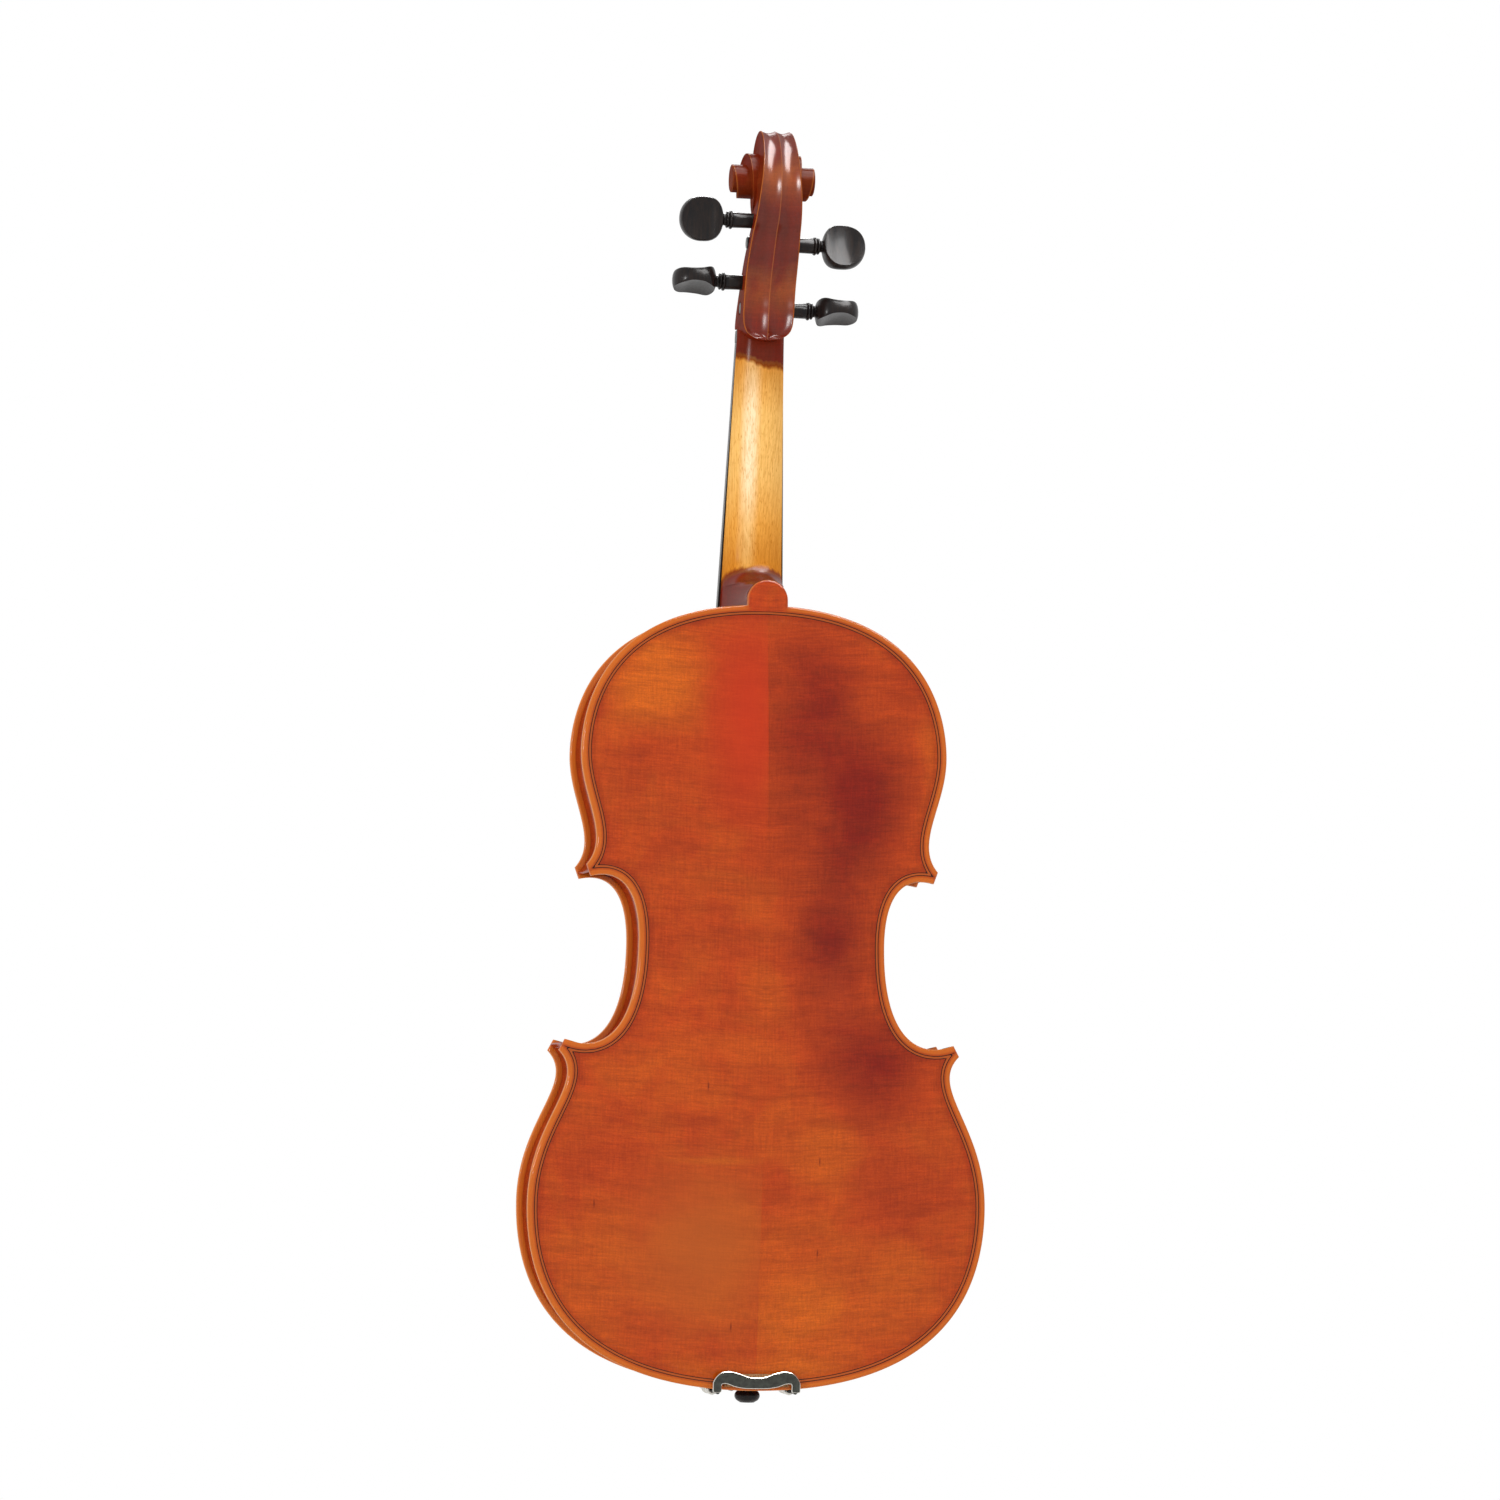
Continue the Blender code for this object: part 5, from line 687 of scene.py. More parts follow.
def spiral_radius(angle):
    """Distance of the scroll's outer face from the eye, by the angle in degrees from straight back."""
    marks = (-60, -30, 0, 90, 180, 270, 360, 450, 540, 630, 720, 780)
    radii = (35.2, 31.6, 29.0, 25.5, 22.0, 18.0, 15.2, 13.4, 11.8, 10.2, 8.4, 7.4)
    return eased(angle, marks, radii) / 7.43 * EYE_RADIUS


def turn_half_width(angle):
    """Half width of the scroll's turn: narrow over the top, wider as it winds out to the eye."""
    marks = (-60, -30, 0, 45, 90, 180, 225, 270, 300, 360, 450, 540, 630, 720, 780)
    widths = (12.6, 11.4, 9.9, 8.5, 7.8, 7.6, 8.6, 10.3, 11.3, 12.9, 14.6, 16.6, 18.6, 20.8, 21.9)
    return eased(angle, marks, widths) / 21.9 * EYE_HALF_WIDTH


def eased(at, marks, values):
    """Smooth value between marks, by cubic steps that keep the slope from mark to mark."""
    marks, values = np.array(marks, float), np.array(values, float)
    at = min(max(at, marks[0]), marks[-1])
    k = min(int(np.searchsorted(marks, at, side="right")) - 1, len(marks) - 2)
    slopes = np.gradient(values, marks)
    span = marks[k + 1] - marks[k]
    t = (at - marks[k]) / span
    return float(
        (2 * t**3 - 3 * t**2 + 1) * values[k] + (t**3 - 2 * t**2 + t) * span * slopes[k]
        + (3 * t**2 - 2 * t**3) * values[k + 1] + (t**3 - t**2) * span * slopes[k + 1]
    )


def spiral_place(angle, radius):
    turn = math.radians(angle)
    return np.array([EYE_Y + radius * math.cos(turn), EYE_HEIGHT + radius * math.sin(turn)])


def pegbox_rows(fine):
    """Back y, back z, back half width, front y, front z and front half width of each section.

    The last row is where the scroll's turn starts, and its front is the lip under the scroll.
    """
    full = PEGBOX_HALF_WIDTH
    front = neck_half_width(HEAD_Z) + 0.0002
    rows = [
        (0.0198, -0.0077, full * 0.20, 0.0088, -0.0072, 0.0018),
        (0.0209, -0.0070, full * 0.54, 0.0078, -0.0062, 0.0062),
        (0.0217, -0.0047, full * 0.81, 0.0063, -0.0042, 0.0095),
        (0.0223, -0.0010, full * 0.95, 0.0048, -0.0017, 0.0112),
        (0.0230, 0.0048, full, 0.0006, 0.0006, front),
        (0.0239, 0.0088, full, -0.0058, 0.0014, front),
        (0.0253, 0.0148, full, -0.0025, 0.0095, full * 0.94),
        (0.0288, 0.0238, full, 0.0040, 0.0198, full * 0.92),
        (0.0353, 0.0343, full * 0.98, 0.0136, 0.0348, full * 0.88),
    ]
    rows = np.array(rows) + np.array([HEAD_Y, HEAD_Z, 0, HEAD_Y, HEAD_Z, 0])
    lip = spiral_place(270, spiral_radius(270)) + (-0.0035, -0.0075)
    for angle in (-60, -40):
        turn = [*spiral_place(angle, spiral_radius(angle)), turn_half_width(angle)]
        rows = np.vstack([rows, [*turn, *lip, turn_half_width(270) * 0.98]])
    rows = smoothed(rows, fine)[:-fine]
    rows[:, 2] = np.minimum(rows[:, 2], full)
    return rows


def flute_share(share):
    """Depth of a flute from the centre spine, 0, to the rim, 1: a gouge's hollow between two rounded ridges."""
    return math.sin(math.pi * share) ** 0.96


def head_mesh():
    """The treble half of pegbox and scroll, open on the centre plane."""
    bm = bmesh.new()
    worn, polish = bm.verts.layers.float.new("worn"), bm.verts.layers.float.new("polish")

    def vert(x, place, wear=0.0, gloss=0.1):
        made = bm.verts.new((x, place[0], place[1]))
        made[worn], made[polish] = wear, gloss
        return made

    def face(*corners):
        listed = tuple(dict.fromkeys(corners))
        if len(listed) > 2:
            bm.faces.new(listed)

    def strip(first, second):
        for a, b, c, d in zip(first, first[1:], second[1:], second):
            face(a, b, c, d)

    step, first, last = 3, -60, 780
    rows = pegbox_rows(5)
    angles = list(range(first, last + 1, step))
    places = [row[:2] for row in rows] + [spiral_place(a, spiral_radius(a)) for a in angles[1:] if a <= 270]
    start = len(rows) - 1
    backs = []
    for k, place in enumerate(places):
        before, after = places[max(k - 1, 0)], places[min(k + 1, len(places) - 1)]
        ahead = (after - before) / np.linalg.norm(after - before)
        inward = np.array([-ahead[1], ahead[0]])
        half = rows[k][2] if k <= start else turn_half_width(angles[k - start])
        angle = angles[k - start] if k > start else -60
        flute = FLUTE_DEPTH * min(eased(angle, (-60, 0, 40, 80, 270), (0.95, 0.66, 0.47, 0.34, 0.30)), k / 9)
        gloss = eased(angle, (-60, 45, 68, 90, 270), (1.0, 1.0, 0.15, 0.0, 0.0))
        chamfer = RIM_CHAMFER * half / PEGBOX_HALF_WIDTH
        flat = half - chamfer
        # The wear value is 0.85 on the spine (s = 0) and falls to 0 a little way out. On the spine it paints a thin
        # light line, a painted highlight along the ridge; the values on the chamfer below are wear.
        row = [vert(flat * s, place + inward * flute * flute_share(s), max(0.0, 0.85 - s * 9), gloss)
               for s in (0.0, 0.04, 0.10, 0.18, 0.28, 0.39, 0.50, 0.61, 0.72, 0.82, 0.90, 0.96, 0.992)]
        row.append(vert(flat + chamfer * 0.15, place + inward * chamfer * 0.08, 0.9))
        row.append(vert(half - chamfer * 0.30, place + inward * chamfer * 0.35, 1.0))
        row.append(vert(half, place + inward * chamfer, 0.7))
        row.append(vert(half, place + inward * chamfer * 1.4))
        backs.append(row)
    for one, other in zip(backs, backs[1:]):
        strip(one, other)
    rims = [row[-1] for row in backs]

    sides = []
    for rim, row in zip(rims, rows):
        y, z, width = row[3:]
        back, line = rim.co, [rim]
        for share in (0.06, 0.2, 0.4, 0.6, 0.8, 0.96):
            line.append(vert(back.x + (width - back.x) * share**1.5,
                             (back.y + (y - back.y) * share, back.z + (z - back.z) * share)))
        line += [vert(width, (y, z), 0.8), vert(width * 0.5, (y, z)), vert(0.0, (y, z))]
        sides.append(line)
    for one, other in zip(sides, sides[1:]):
        strip(one, other)
    entry = sides[start]
    turned_under = rims[-1]
    under = backs[-1][::-1]
    for a, b in zip(entry[:-3], entry[1:-2]):
        face(a, b, turned_under)
    face(entry[-3], *under[:4], entry[-2])
    face(entry[-2], *under[3:], entry[-1])
    for line in (backs[0], sides[0]):
        for a, b in zip(line, line[1:]):
            face(a, b, sides[0][-1])

    tops = {270: turned_under}
    for angle in range(270 + step, last + 361, step):
        inside = angle > last
        radius = EYE_RADIUS if inside else spiral_radius(angle)
        width = EYE_HALF_WIDTH if inside else turn_half_width(angle)
        tops[angle] = vert(width, spiral_place(angle, radius), 1.0)
    tops[last + 360] = tops[last]
    rim_of = {a: rims[start + k] for k, a in enumerate(angles) if a <= 270}
    rim_of.update({a: tops[a] for a in angles if a > 270})
    cheeks, walls = {}, {}
    for angle in angles[:-1]:
        top = tops[angle + 360].co
        wall = min(0.0017, max(angle + 90, 0) / 30 * 0.0009)
        foot = vert(min(turn_half_width(angle), top.x - wall), top.yz)
        outer, inner = rim_of[angle].co, foot.co
        hollow = 0.0011 * min(1.0, (angle + 60) / 60) * min(1.0, (inner - outer).length / 0.006)
        cheek = [rim_of[angle]]
        for share in (0.10, 0.3, 0.5, 0.7, 0.9):
            at = outer.lerp(inner, share)
            cheek.append(vert(at.x - hollow * math.sin(math.pi * share), at.yz))
        cheeks[angle] = [*cheek, foot]
        rise = [vert(foot.co.x + (top.x - foot.co.x) * share, top.yz, wear) for share, wear in ((0.45, 0), (0.85, 0.4))]
        walls[angle] = [foot, *rise, tops[angle + 360]]
    cheeks[last] = [tops[last]] * len(cheeks[first])
    walls[last] = [tops[last]] * len(walls[first])
    for angle in angles[:-1]:
        strip(cheeks[angle], cheeks[angle + step])
        strip(walls[angle], walls[angle + step])
    side_foot = vert(turn_half_width(285) - 0.0004, spiral_place(285, spiral_radius(285)))
    for a, b in zip(cheeks[first], cheeks[first][1:]):
        face(a, b, side_foot)
    face(rim_of[first], side_foot, turned_under)
    for angle in range(270, 300, step):
        face(side_foot, tops[angle], tops[angle + step])
    face(side_foot, *walls[first])

    rings = [[tops[a] for a in range(last, last + 360, step)]]
    for share, stand in ((0.93, 0.0), (0.5, 0.0), (0.12, 0.0002)):
        rings.append([
            vert(EYE_HALF_WIDTH - stand, spiral_place(a, EYE_RADIUS * share)) for a in range(last, last + 360, step)
        ])
    for one, other in zip(rings, rings[1:]):
        strip([*one, one[0]], [*other, other[0]])
    for vertex in rings[0]:
        vertex.co.x -= 0.0003
    bm.faces.new(rings[-1])
    return bm


def mirrored_head():
    """Both halves of the head as one closed object."""
    bm = head_mesh()
    copied = bmesh.ops.duplicate(bm, geom=bm.verts[:] + bm.edges[:] + bm.faces[:])["geom"]
    for vertex in copied:
        if isinstance(vertex, bmesh.types.BMVert):
            vertex.co.x = -vertex.co.x
    bmesh.ops.remove_doubles(bm, verts=bm.verts, dist=2e-6)
    bmesh.ops.recalc_face_normals(bm, faces=bm.faces)
    mesh = bpy.data.meshes.new("head")
    bm.to_mesh(mesh)
    bm.free()
    mesh.transform(Matrix.Translation(OFFSET))
    return linked("head", mesh)


def pegbox_tool():
    """The trough that the pegs cross, open to the front, narrower towards the scroll."""
    profile = [
        (-0.0200, 0.0007), (-0.0050, 0.0009), (0.0020, 0.0028), (0.0165, 0.0034), (0.0176, 0.0090),
        (0.0216, 0.0235), (0.0280, 0.0343), (0.0372, 0.0455), (0.0418, 0.0530), (0.0408, 0.0572),
        (0.0368, 0.0590), (0.0308, 0.0575), (0.0258, 0.0530), (0.0170, 0.0450), (-0.0050, 0.0330),
        (-0.0200, 0.0120),
    ]
    rings = []
    for side in (-1, 1):
        ring = []
        for back, reach in profile:
            half = PEGBOX_HALF_WIDTH - 0.0018 * min(max(reach / 0.06, 0), 1)
            ring.append((side * (half - PEGBOX_WALL), HEAD_Y + back, HEAD_Z + reach))
        rings.append(ring)
    return tool("trough", rings)


# Fittings of the neck, in the sizes of the part
FINGERBOARD_LENGTH, FINGERBOARD_EDGE = 0.308, 0.0055
FINGERBOARD_END_WIDTH, FINGERBOARD_RADIUS, FINGERBOARD_HOLLOW = 0.0470, 0.0420, 0.0030
BRIDGE_HEIGHT_ON_BODY, BRIDGE_WIDTH, BRIDGE_RADIUS = 0.186, 0.0500, 0.0420
BRIDGE_FOOT_THICKNESS, BRIDGE_TOP_THICKNESS = 0.0050, 0.0016
PEG_DIAMETER, PEG_TAPER = 0.0081, 1 / 30
PEG_COLLAR_START, PEG_COLLAR_DIAMETER = 0.0223, 0.0097
PEG_HEAD_START, PEG_HEAD_LENGTH, PEG_HEAD_HEIGHT = 0.0272, 0.0230, 0.0236
PEG_TIP_STAND = -0.0004
NUT_SPACING, BRIDGE_SPACING, RIDGE_SPACING = 0.0170, 0.0370, 0.0330
STRING_OVER_FINGERBOARD, STRING_TURN_GAP, STRING_CLEAR = 0.0052, 0.0005, 0.0003
STRINGS = {
    "a": {"slot": 1.5, "diameter": 0.0007, "turns": 5},
    "d": {"slot": 0.5, "diameter": 0.0009, "turns": 4},
    "g": {"slot": -0.5, "diameter": 0.0010, "turns": 4},
    "c": {"slot": -1.5, "diameter": 0.0012, "turns": 4},
}
PEGS = {
    "a": {"reach": 0.0228, "back": 0.0150, "side": 1, "turn": -81},
    "d": {"reach": 0.0523, "back": 0.0338, "side": 1, "turn": -8},
    "g": {"reach": 0.0418, "back": 0.0266, "side": -1, "turn": 12},
    "c": {"reach": 0.0098, "back": 0.0108, "side": -1, "turn": 99},
}


# Half thickness of a thumb piece along its length, from the collar (-1) to the round end (1)
THUMB_THICKNESS = (-1.0, -0.82, -0.30, 0.25, 0.72, 1.0), (0.0050, 0.0053, 0.0038, 0.0034, 0.0042, 0.0042)


def peg_axis(name):
    return HEAD_Y + PEGS[name]["back"], HEAD_Z + PEGS[name]["reach"]


def peg_radius(x):
    """Radius of a peg's tapered shaft at a signed distance from the centre plane, head side positive."""
    return PEG_DIAMETER / 2 - (PEG_COLLAR_START - x) * PEG_TAPER / 2


def peg_hole_tool(name):
    y, z = peg_axis(name)
    side = PEGS[name]["side"]
    rings = []
    for x in (-0.020, 0.020):
        rings.append(round_ring((side * x, y, z), peg_radius(x) + 0.00005, 0, 48))
    return tool("peg hole", rings)


def fingerboard_half_width(z):
    share = (BODY_LENGTH + NECK_LENGTH - z) / FINGERBOARD_LENGTH
    return NECK_WIDTH_AT_NUT / 2 + (FINGERBOARD_END_WIDTH - NECK_WIDTH_AT_NUT) / 2 * share


def crown(x, half_width, radius):
    """How far an arched face stands over its edges."""
    return math.sqrt(radius**2 - x**2) - math.sqrt(radius**2 - half_width**2)


def fingerboard_top_y(x, z):
    half = fingerboard_half_width(z)
    return glue_plane_y(z) - 0.0003 - FINGERBOARD_EDGE - crown(x, half, FINGERBOARD_RADIUS)


def nut_top_y(x):
    return fingerboard_top_y(x, BODY_LENGTH + NECK_LENGTH) - NUT_STAND


def bridge_crest_y():
    """Where the middle of the bridge's top edge lies, from the strings' height over the fingerboard."""
    nut = BODY_LENGTH + NECK_LENGTH
    end = nut - FINGERBOARD_LENGTH
    end_y = fingerboard_top_y(0, end) - STRING_OVER_FINGERBOARD
    return end_y + (end_y - nut_top_y(0)) / (nut - end) * (end - BRIDGE_HEIGHT_ON_BODY)


def bridge_top_y(x):
    return bridge_crest_y() + BRIDGE_RADIUS - math.sqrt(BRIDGE_RADIUS**2 - x**2)


def fingerboard_mesh(name):
    """The arched board with eased edges, flat where it is glued and hollowed under its free end."""
    nut = BODY_LENGTH + NECK_LENGTH
    end, free = nut - FINGERBOARD_LENGTH, BODY_LENGTH - MORTISE_DEPTH
    rings = []
    stops = [(nut, 0, 0.0005), (nut - 0.0004, 0, 0), (free + 0.001, 0, 0), (free - 0.002, 1, 0), (end + 0.002, 1, 0),
             (end + 0.0006, 0.95, 0.0001), (end, 0.9, 0.0006)]
    for z, hollow, ease in stops:
        half = fingerboard_half_width(z) - ease
        arched = np.linspace(-1, 1, 33) * (1 - 0.0006 / half)
        ring = [(half * s, fingerboard_top_y(half * s, z) + ease, z) for s in arched]
        edge_y = fingerboard_top_y(half, z)
        ring += [(half - 0.00015, edge_y + 0.00015, z), (half, edge_y + 0.0006, z)]
        for share in (1, 0.72, *np.linspace(0.5, -0.5, 9), -0.72, -1):
            depth = max(0.0, 1 - (share / 0.66) ** 2) if abs(share) < 0.66 else 0.0
            ring.append((half * share, glue_plane_y(z) - 0.0003 - FINGERBOARD_HOLLOW * hollow * depth, z))
        ring += [(-half, edge_y + 0.0006, z), (-half + 0.00015, edge_y + 0.00015, z)]
        rings.append(ring)
    shape = Shape()
    shape.tube(rings)
    return shape.mesh(name)


def nut_mesh(name):
    """The nut, rounded over towards the pegbox, with a shallow groove for each string."""
    half = NECK_WIDTH_AT_NUT / 2
    low, high = BODY_LENGTH + NECK_LENGTH + 0.00002, HEAD_Z
    spread_x = np.unique(np.concatenate([
        np.linspace(-half, half, 41),
        *(STRINGS[n]["slot"] * NUT_SPACING / 3 + np.linspace(-0.001, 0.001, 13) for n in STRINGS),
    ]))
    rings = []
    for share in np.linspace(0, 1, 13):
        z = low + (high - low) * share
        fall = 0.0012 * max(0.0, share - 0.3) ** 1.6 / 0.7**1.6
        ring = []
        for x in spread_x:
            ease = 0.0006 * max(0.0, (abs(x) / half - 0.93) / 0.07) ** 2
            groove = 0.0
            for string, size in STRINGS.items():
                away = (x - size["slot"] * NUT_SPACING / 3) / (size["diameter"] * 0.75)
                groove += 0.35 * size["diameter"] * math.exp(-(away**2))
            ring.append((x, nut_top_y(x) + fall + ease + groove * 0.6, z))
        ring += [(half, glue_plane_y(z) - 0.0001, z), (-half, glue_plane_y(z) - 0.0001, z)]
        rings.append(ring)
    shape = Shape()
    shape.tube(rings)
    return shape.mesh(name)


def peg_object(name):
    """A turned peg: tapered shaft, two collar rings, and a thumb piece that is dished on both faces."""
    y, z = peg_axis(name)
    start, collar = PEG_COLLAR_START, PEG_COLLAR_DIAMETER / 2
    tip = -(PEGBOX_HALF_WIDTH + PEG_TIP_STAND)
    profile = [(0.0, tip), (peg_radius(tip) * 0.8, tip), (peg_radius(tip), tip + 0.0006)]
    profile += [(peg_radius(x), x) for x in np.linspace(tip + 0.001, start - 0.0002, 12)]
    for low, high, size in ((0.0001, 0.0016, 1.0), (0.0021, 0.0033, 0.90)):
        middle, half = start + (low + high) / 2, (high - low) / 2
        profile.append((collar * 0.80 * size, middle - half))
        for turn in np.radians([-75, -45, -15, 15, 45, 75]):
            profile.append((collar * size * (0.86 + 0.14 * math.cos(turn)), middle + half * math.sin(turn)))
        profile.append((collar * 0.80 * size, middle + half))
    profile += [(0.0031, start + 0.0038), (0.0030, start + 0.0046), (0.0036, PEG_HEAD_START + 0.0004),
                (0.0048, PEG_HEAD_START + 0.0020), (0.0, PEG_HEAD_START + 0.0050)]
    rings = []
    for radius, x in profile:
        rings.append(round_ring((x, 0, 0), max(radius, 1e-5), 0, 40))
    shaft = Shape()
    shaft.tube(rings)
    shaft = linked(f"turned_peg_{name}", shaft.mesh(name))
    head = Shape()
    length, height = PEG_HEAD_LENGTH / 2, PEG_HEAD_HEIGHT / 2
    turns = np.linspace(0, 2 * math.pi, 96, endpoint=False)
    lengthwise, across = np.cos(turns), np.sin(turns)
    u_edge = np.sign(lengthwise) * np.abs(lengthwise) ** np.where(lengthwise < 0, 0.66, 0.98)
    v_edge = np.sign(across) * np.abs(across) ** 0.94
    faces = []
    arris = 0.93
    for share in (0.03, 0.12, 0.25, 0.38, 0.50, 0.61, 0.71, 0.80, 0.87, 0.91, arris, 0.945, 0.96, 0.975, 0.987, 0.996, 1.0):
        thick = np.array([eased(u, *THUMB_THICKNESS) for u in u_edge * share])
        bowl = 0.0008 * max(0.0, 1 - (share / arris) ** 2)
        fallen = max(0.0, share - arris) / (1 - arris)
        round_off = math.sqrt(1 - (0.45 + 0.55 * fallen) ** 2) / math.sqrt(1 - 0.45**2) if fallen else 1.0
        faces.append((u_edge * share, v_edge * share, (thick - bowl) * round_off))
    rings = []
    for sign, order in ((1, faces), (-1, faces[-2::-1])):
        for u, v, h in order:
            x = PEG_HEAD_START + length + u * length
            rings.append(np.stack([x, sign * h, v * height], axis=1))
    head.tube(rings)
    head = linked("thumb piece", head.mesh("thumb piece"))
    for part in (shaft, head):
        part.data.transform(Matrix.Translation(-OFFSET))
    carved(shaft, [head], "UNION")
    if PEGS[name]["side"] < 0:
        shaft.data.transform(Matrix.Rotation(math.pi, 4, "Y"))
    shaft.data.transform(Matrix.Rotation(math.radians(PEGS[name]["turn"]), 4, "X"))
    shaft.data.transform(Matrix.Translation(Vector((0, y, z)) + OFFSET))
    shade(shaft.data, 40)
    return shaft


def bridge_object(name):
    """The bridge: arched top, waist notches, heart, legs, and feet that follow the top's arching."""
    foot, crest, belly = BRIDGE_WIDTH / 2, bridge_crest_y(), -RIB_HEIGHT - TOP_ARCH
    height = belly - crest
    seats = np.linspace(1.0, 0.53, 12)

    def seat(share):
        return -RIB_HEIGHT - float(outer_height(foot * share, BRIDGE_HEIGHT_ON_BODY, TOP_ARCH)) - 0.00005

    top_half = BRIDGE_SPACING / 2 + 0.0022
    half = [(x, bridge_top_y(x)) for x in np.linspace(0, top_half, 40)]
    flank = smoothed([
        (0.90, 0.80), (0.85, 0.70), (0.71, 0.645), (0.62, 0.575), (0.68, 0.50), (0.80, 0.465),
        (0.865, 0.385), (0.80, 0.30), (0.86, 0.21), (0.98, 0.11), (1.0, 0.05),
    ], 6)
    half += [(foot * x, belly - height * h) for x, h in flank]
    half += [(foot * x, seat(x)) for x in seats]
    legs = smoothed([(0.525, 0.06), (0.57, 0.17), (0.43, 0.27), (0.22, 0.325), (0.0, 0.34)], 8)
    half += [(foot * x, belly - height * h) for x, h in legs]
    outline = half + [(-x, y) for x, y in half[-2:0:-1]]
    shape = Shape()
    rings = []
    slim = BRIDGE_TOP_THICKNESS / BRIDGE_FOOT_THICKNESS
    for layer in np.linspace(-1, 1, 5):
        ring = []
        for x, y in outline:
            share = min(max((belly - y) / height, 0.0), 1.0)
            thick = BRIDGE_FOOT_THICKNESS / 2 * (1 - (1 - slim) * share)
            ring.append((x, y, BRIDGE_HEIGHT_ON_BODY + layer * thick))
        rings.append(ring)
    shape.tube(rings)
    bridge = linked(name, shape.mesh(name))
    heart = smoothed([(0.0, 0.50), (0.10, 0.545), (0.19, 0.60), (0.21, 0.66), (0.15, 0.70), (0.06, 0.69),
                      (0.0, 0.655)], 6)
    heart = [(foot * x, belly - height * h) for x, h in heart]
    heart += [(-x, y) for x, y in heart[-2:0:-1]]
    middle = BRIDGE_HEIGHT_ON_BODY
    return carved(bridge, [tool("heart", pushed(heart, middle - 0.006, middle + 0.006, 2))])


def saddle_mesh(name):
    """The saddle let into the edge of the top, with a rounded crest for the tail gut."""
    seat = -RIB_HEIGHT - 0.0001
    crest = seat - EDGE_THICKNESS - SADDLE_STAND
    low, high = 0.0002, SADDLE_DEPTH - 0.0001
    arch = [(crest + 0.0024 * (1 - math.sin(t)), (low + high) / 2 - (high - low) / 2 * math.cos(t))
            for t in np.linspace(0.05, math.pi - 0.05, 17)]
    profile = [(seat, low), (seat - EDGE_THICKNESS, low), *arch, (seat - EDGE_THICKNESS, high), (seat, high)]
    rings = []
    for share in np.linspace(-1, 1, 41):
        drop = 0.55 + 0.45 * (1 - abs(share) ** 5)
        keep = seat - EDGE_THICKNESS * 0.9
        rings.append([(share * SADDLE_WIDTH / 2, keep + (y - keep) * drop if y < keep else y, z)
                      for y, z in profile])
    shape = Shape()
    shape.tube(rings)
    return shape.mesh(name)


def button_mesh(name):
    """The end button: shank, neck for the tail gut, and a round knob with a ring turned in its flat end."""
    neck, knob = BUTTON_NECK_DIAMETER / 2, BUTTON_KNOB_DIAMETER / 2
    top, start = OVERHANG + BUTTON_SHANK_LENGTH, -BUTTON_GAP_BELOW_EDGE
    end = start - BUTTON_KNOB_LENGTH
    profile = [(1e-5, top), (neck * 0.75, top), (neck * 0.82, top - 0.001), (neck * 0.97, OVERHANG),
               (neck * 0.97, start + 0.0003), (neck * 1.05, start + 0.0001), (neck * 1.35, start)]
    for turn in np.radians(np.linspace(64, -66, 22)):
        profile.append((knob * (0.38 + 0.62 * math.cos(turn)), start - 0.0031 + 0.0034 * math.sin(turn)))
    profile += [(knob * 0.58, end + 0.00005), (knob * 0.5, end), (knob * 0.30, end), (knob * 0.28, end + 0.00025),
                (knob * 0.26, end + 0.00025), (knob * 0.24, end), (1e-5, end)]
    rings = []
    for radius, z in profile:
        rings.append(round_ring((0, BUTTON_AXIS_Y, min(z, top)), radius, 2, 64))
    shape = Shape()
    shape.tube(rings)
    return shape.mesh(name)


# Tail, chinrest and clamp, in the sizes of the part
TAILPIECE_LENGTH, TAILPIECE_LOW_END, TAILPIECE_LOW_END_Y = 0.120, 0.0100, -0.0530
TAILPIECE_TILT = math.radians(11.5)
TAILPIECE_WIDE_END, TAILPIECE_NARROW_END = 0.0450, 0.0240
TAILPIECE_THICKNESS, TAILPIECE_CROWN = 0.0038, 0.0035
RIDGE_HEIGHT = 0.0016
TUNER_AXLE_DEPTH, TUNER_AXLE_DIAMETER, TUNER_LUG_WIDTH = 0.0085, 0.0018, 0.0022
LEVER_WIDTH, LEVER_HOOK_STAND, LEVER_ARM, LEVER_THICKNESS = 0.0034, 0.0030, 0.0180, 0.0024
TUNER_SCREW_DIAMETER, TUNER_HEAD_DIAMETER = 0.0030, 0.0074
TUNER_HEAD_STAND, TUNER_HEAD_HEIGHT = 0.0062, 0.0040
BALL_DIAMETER, TAIL_GUT_DIAMETER = 0.0030, 0.0020
AXLE_UP = TAILPIECE_LENGTH - 0.0130
RIDGE_UP = TAILPIECE_LENGTH - 0.0035
SCREW_UP = AXLE_UP - LEVER_ARM
SADDLE_WIDTH, SADDLE_DEPTH, SADDLE_STAND = 0.0380, 0.0060, 0.0048
BUTTON_AXIS_Y = -0.0190
BUTTON_KNOB_DIAMETER, BUTTON_KNOB_LENGTH = 0.0132, 0.0066
BUTTON_NECK_DIAMETER, BUTTON_SHANK_LENGTH, BUTTON_GAP_BELOW_EDGE = 0.0078, 0.0190, 0.0006
GUT_HALF_SPAN = BUTTON_NECK_DIAMETER / 2 + 0.0003 + TAIL_GUT_DIAMETER / 2
CHINREST_LEFT, CHINREST_RIGHT, CHINREST_LOW_EDGE = -0.0900, 0.0400, 0.0036
CHINREST_CUP_LENGTH, CHINREST_ARM_LENGTH = 0.0610, 0.0240
CHINREST_TOP_Y, CHINREST_CUP_DEPTH, CHINREST_THICKNESS = -0.0735, 0.0055, 0.0085
CHINREST_FOOT_INNER, CHINREST_FOOT_OUTER, CHINREST_FOOT_DEPTH = 0.0196, 0.0370, 0.0110
CORK_THICKNESS = 0.0015
CLAMP_SPAN, CLAMP_AXIS_HEIGHT = 0.0405, -0.00055
